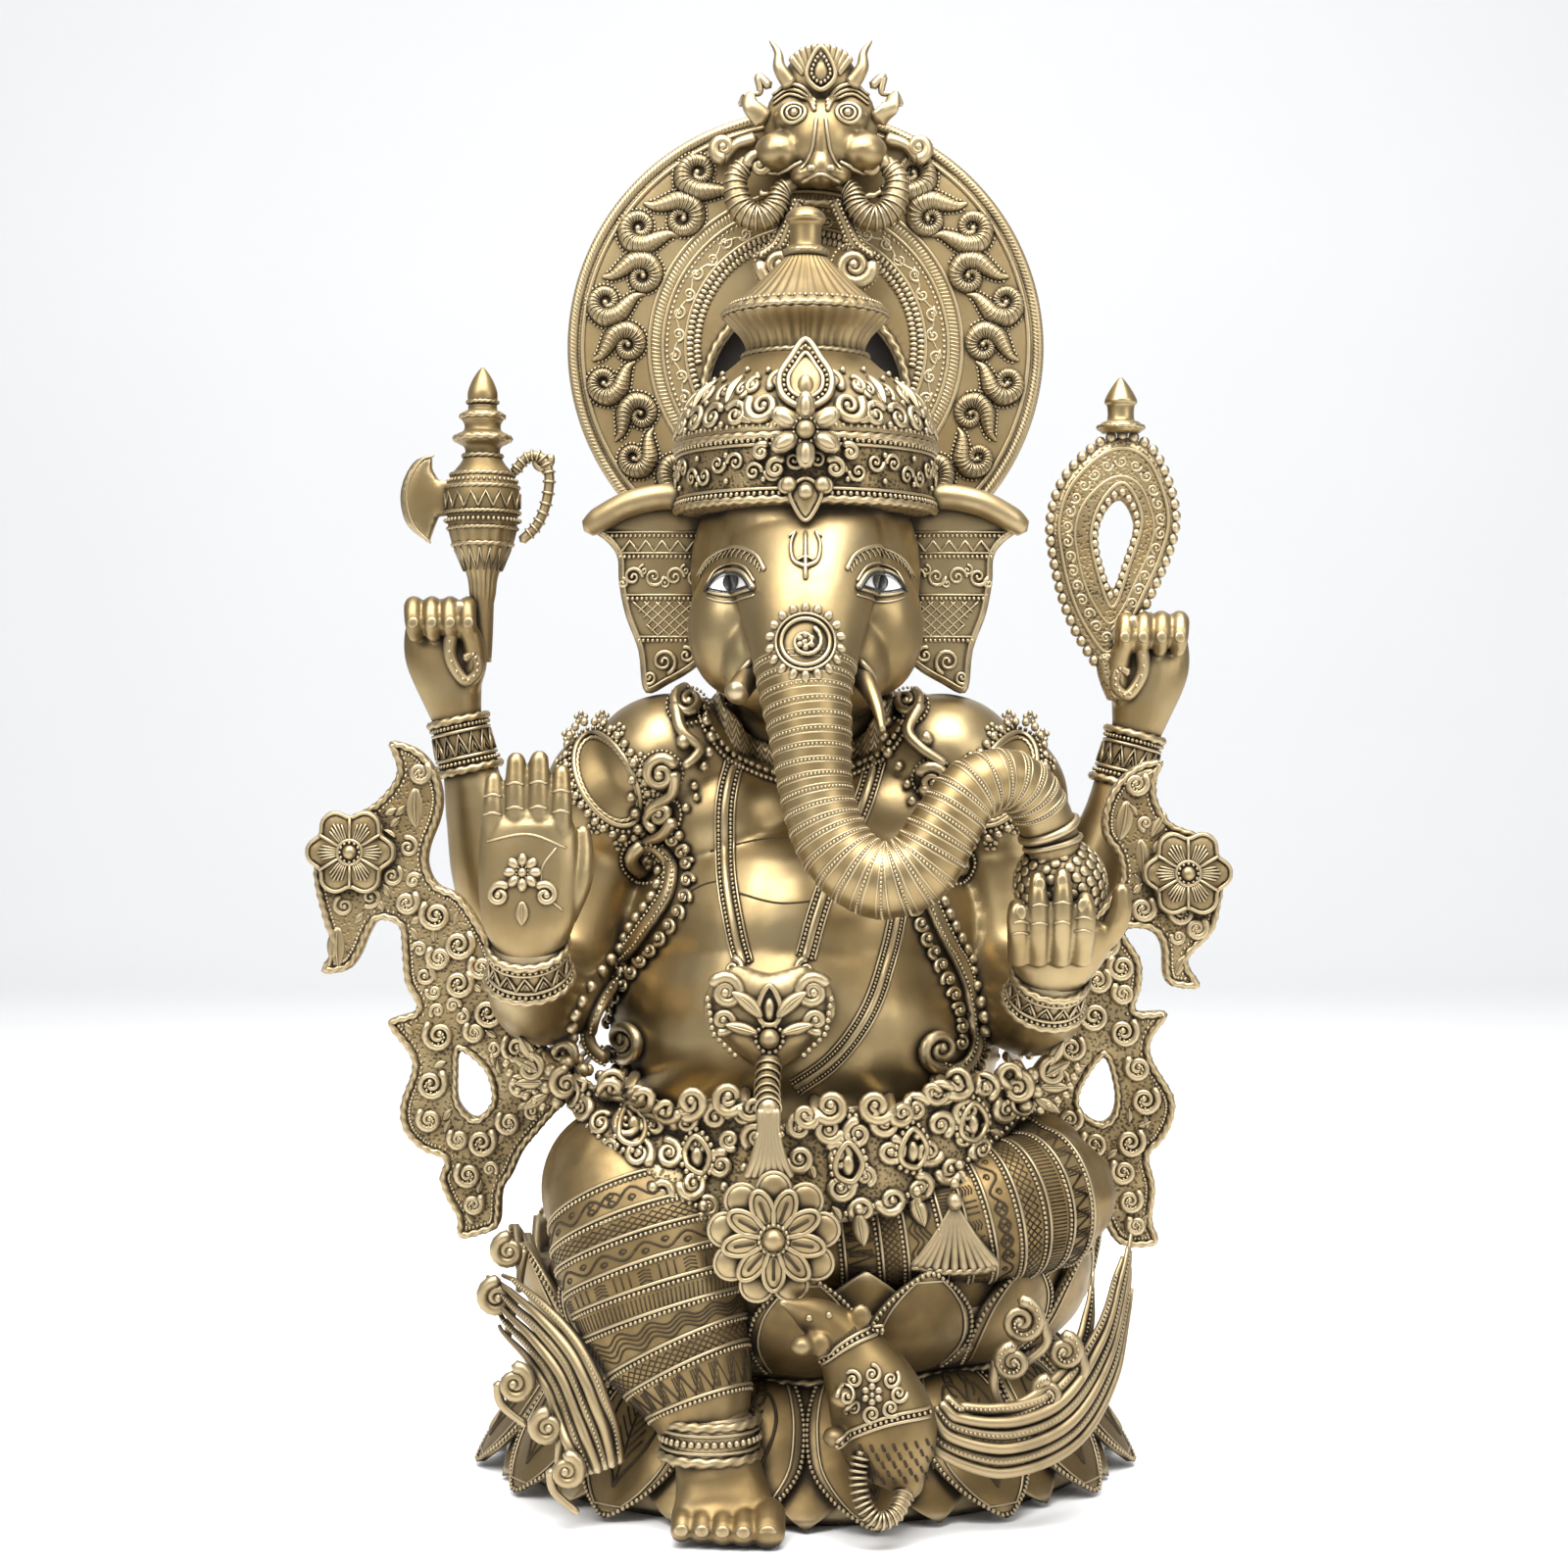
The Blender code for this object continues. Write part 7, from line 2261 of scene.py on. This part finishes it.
def sashes():
    left = Work()
    strands(left, [(72, -208, 72), (84, -209, 60), (116, -204, 54), (150, -186, 64), (174, -164, 94),
                   (187, -142, 130), (193, -128, 158)], 6, 36, 3.5)
    strands(left, [(96, -204, 64), (128, -196, 70), (152, -178, 86), (164, -160, 112), (168, -150, 140)],
            3, 13, 3.0)
    for x, z, r, way, y in ((123, 118, 12, 1, -188), (118, 96, 9, -1, -194), (148, 100, 9, 1, -184),
                            (138, 78, 8, -1, -192)):
        scroll(left, flat_at(y), (x, z), r, 1.7, 0, way, 4.0, 2.0, 10)
        beads(left, flat_at(y - 4)(volute((x, z), r + 1, 0.9, 0, way)[::2]), 1.0)
        stroke(left, flat_at(y + 2), [(x + way * r, z), (x + way * (r + 2), z - 14), (x - 6, z - 30)],
               3.4, 2.4, sides=8)
    left.build("left_sash_folds", AGED, "left_sash")
    right = Work()
    strands(right, [(-116, -188, 34), (-126, -187, 62), (-138, -178, 88), (-156, -162, 106),
                    (-176, -138, 118), (-190, -116, 130)], 6, 38, 3.5)
    for x, z, r, way, y in ((-182, 122, 10, -1, -136), (-168, 78, 10, 1, -168), (-148, 56, 9, -1, -182),
                            (-136, 34, 9, 1, -194), (-176, 148, 9, -1, -128)):
        scroll(right, flat_at(y), (x, z), r, 1.7, 0, way, 4.0, 1.8, 10)
        stroke(right, flat_at(y + 2), [(x - way * r, z), (x - way * (r - 2), z - 12), (x + 6, z - 24)],
               3.2, 2.2, sides=8)
    right.build("right_sash_folds", AGED, "right_sash")


def thigh_tassel():
    """The pleated fan of cloth that falls from the belt over the folded leg."""
    work = Work()
    top = np.array((86.0, -168.0, 176.0))
    for k in range(11):
        a = math.radians(-62 + 12.4 * k)
        line = spline([top + (0, 0, 6), top + (math.sin(a) * 14, -3, -14),
                       top + (math.sin(a) * 27, -1, -26 - 6 * math.cos(a))], 6)
        tube(work, line, np.linspace(1.6, 3.0, len(line)), 8)
    hem = [top + (math.sin(math.radians(a)) * 28, -2, -27 - 6 * math.cos(math.radians(a)))
           for a in range(-62, 63, 6)]
    rope(work, hem, 1.9)
    beads(work, [top + (0, -3, 8)], 5.2)
    beads(work, [top + (0, -1, 18)], 3.4)
    work.build("belt_tassel", AGED_RELIEF)


crown()
crown_top()
aureole()
lion_mask()
ears()
cuff("right_rear_cuff", (-213.5, -10, 434), (-220.5, -11, 466), 19.5, 17.5)
cuff("left_rear_cuff", (201.5, -8, 425), (209.5, -9, 457), 19.5, 17.5)
cuff("right_front_cuff", (-162, -143, 312), (-162, -157, 332), 24.5, 22.5)
cuff("left_front_cuff", (141.5, -122, 295), (144.5, -135, 312), 23.5, 21.5)
armlets()
fist("right_rear_hand", (-220, -11, 466), -1)
fist("left_rear_hand", (209, -9, 457), 1)
blessing_hand()
offering_hand()
sweet_ball()
ewer()
axe_blade()
noose()
brackets()
right_leg_skin = leg("right_leg_skin", "right_leg", RIGHT_THIGH, RIGHT_SHIN, (1, 0, 0))
left_leg_skin = leg("left_leg_skin", "left_leg", LEFT_THIGH, LEFT_CALF, (0, 0, 1))
BANDS = [
    (12, "crossed"), (15, "vine"), (13, "bars"), (14, "comb"), (20, "ripples"), (14, "crossed"),
         (20, "triangles"),
]
leg_bands("right_leg_bands", right_leg_skin, RIGHT_SHIN, (1, 0, 0), 22, [(15, "vine"), *BANDS])
leg_bands("left_leg_bands", left_leg_skin, LEFT_CALF, (0, 0, 1), 6,
          [(16, "triangles"), (14, "comb"), *BANDS])
feet()
lotus()
mouse()
sashes()
drape_chest = Drape(body_skin)
drape_legs = Drape(right_leg_skin, left_leg_skin, body_skin)
chest()
belt()
belt_flower()
brooch()
hip_clasp()
thigh_tassel()


# ---- camera, light and floor -----------------------------------------------------------------
EYE_DISTANCE, EYE_HEIGHT, EYE_SHIFT = 1770, 425, -0.01375
LENS, SENSOR = 63.6, 36.0
FLOOR_SIZE, WALL_HEIGHT, SWEEP_RADIUS = 12, 8, 2.0


def studio():
    bpy.ops.object.select_all(action="DESELECT")
    spot = ORIGIN + np.array((0, -EYE_DISTANCE, EYE_HEIGHT)) * UNIT
    bpy.ops.object.camera_add(location=tuple(spot), rotation=(math.pi / 2, 0, 0))
    camera = bpy.context.object
    camera.data.lens, camera.data.sensor_width = LENS, SENSOR
    camera.data.shift_x = EYE_SHIFT
    bpy.context.scene.camera = camera
    bpy.ops.mesh.primitive_plane_add(size=FLOOR_SIZE, location=(0, 0, -0.0005))
    floor = bpy.context.object
    floor.name = "floor"
    bpy.ops.object.mode_set(mode="EDIT")
    bpy.ops.mesh.select_all(action="DESELECT")
    bm = bmesh.from_edit_mesh(floor.data)
    for edge in bm.edges:
        edge.select = all(v.co.y > 0 for v in edge.verts)
    bmesh.update_edit_mesh(floor.data)
    bpy.ops.mesh.extrude_region_move(TRANSFORM_OT_translate={"value": (0, 0, WALL_HEIGHT)})
    bpy.ops.object.mode_set(mode="OBJECT")
    curve = floor.modifiers.new("sweep", "BEVEL")
    curve.width, curve.segments = SWEEP_RADIUS, 16
    apply_modifiers(floor)
    floor.data.shade_smooth()
    m = Maker("pale_floor")
    shade = m.noise(2.0, 2.0)
    m.put(m.mix(shade, (0.93, 0.93, 0.93, 1), (0.91, 0.91, 0.91, 1)), m.shader.inputs["Base Color"])
    m.shader.inputs["Roughness"].default_value = 0.7
    floor.data.materials.append(m.material)
    for name, place, aim, size, power in (
        ("key", (-1.5, -1.7, 1.9), (0, 0, 0.45), 1.3, 25), ("fill", (1.8, -1.5, 1.3), (0, 0, 0.45), 1.2,
                                                            16),
        ("top", (0.1, 0.3, 2.7), (0, 0, 0.4), 1.8, 26), ("wash", (0, -1.0, 3.2), (0, 3.0, 1.0), 2.6, 235),
    ):
        bpy.ops.object.light_add(type="AREA", location=place)
        light = bpy.context.object
        light.name = name
        light.data.size, light.data.energy = size, power
        light.rotation_euler = (Vector(aim) - Vector(place)).to_track_quat("-Z", "Y").to_euler()
    world = bpy.data.worlds.new("studio")
    bpy.context.scene.world = world
    world.use_nodes = True
    background = world.node_tree.nodes["Background"]
    background.inputs["Color"].default_value = (0.95, 0.97, 1.0, 1)
    background.inputs["Strength"].default_value = 0.45
    bpy.context.scene.view_settings.view_transform = "Standard"


def carried_over():
    """Gives each CAD node that still shows the finish of its kind."""
    for name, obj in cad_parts.items():
        if obj.hide_render:
            continue
        # The aureole's back pan is given the near-black painted shadow.
        finish = STEEL if "bolt" in name else SHADOW_BLACK if name == "aureole_back_pan" else RELIEF
        obj.data.materials.clear()
        obj.data.materials.append(finish)


studio()
carried_over()
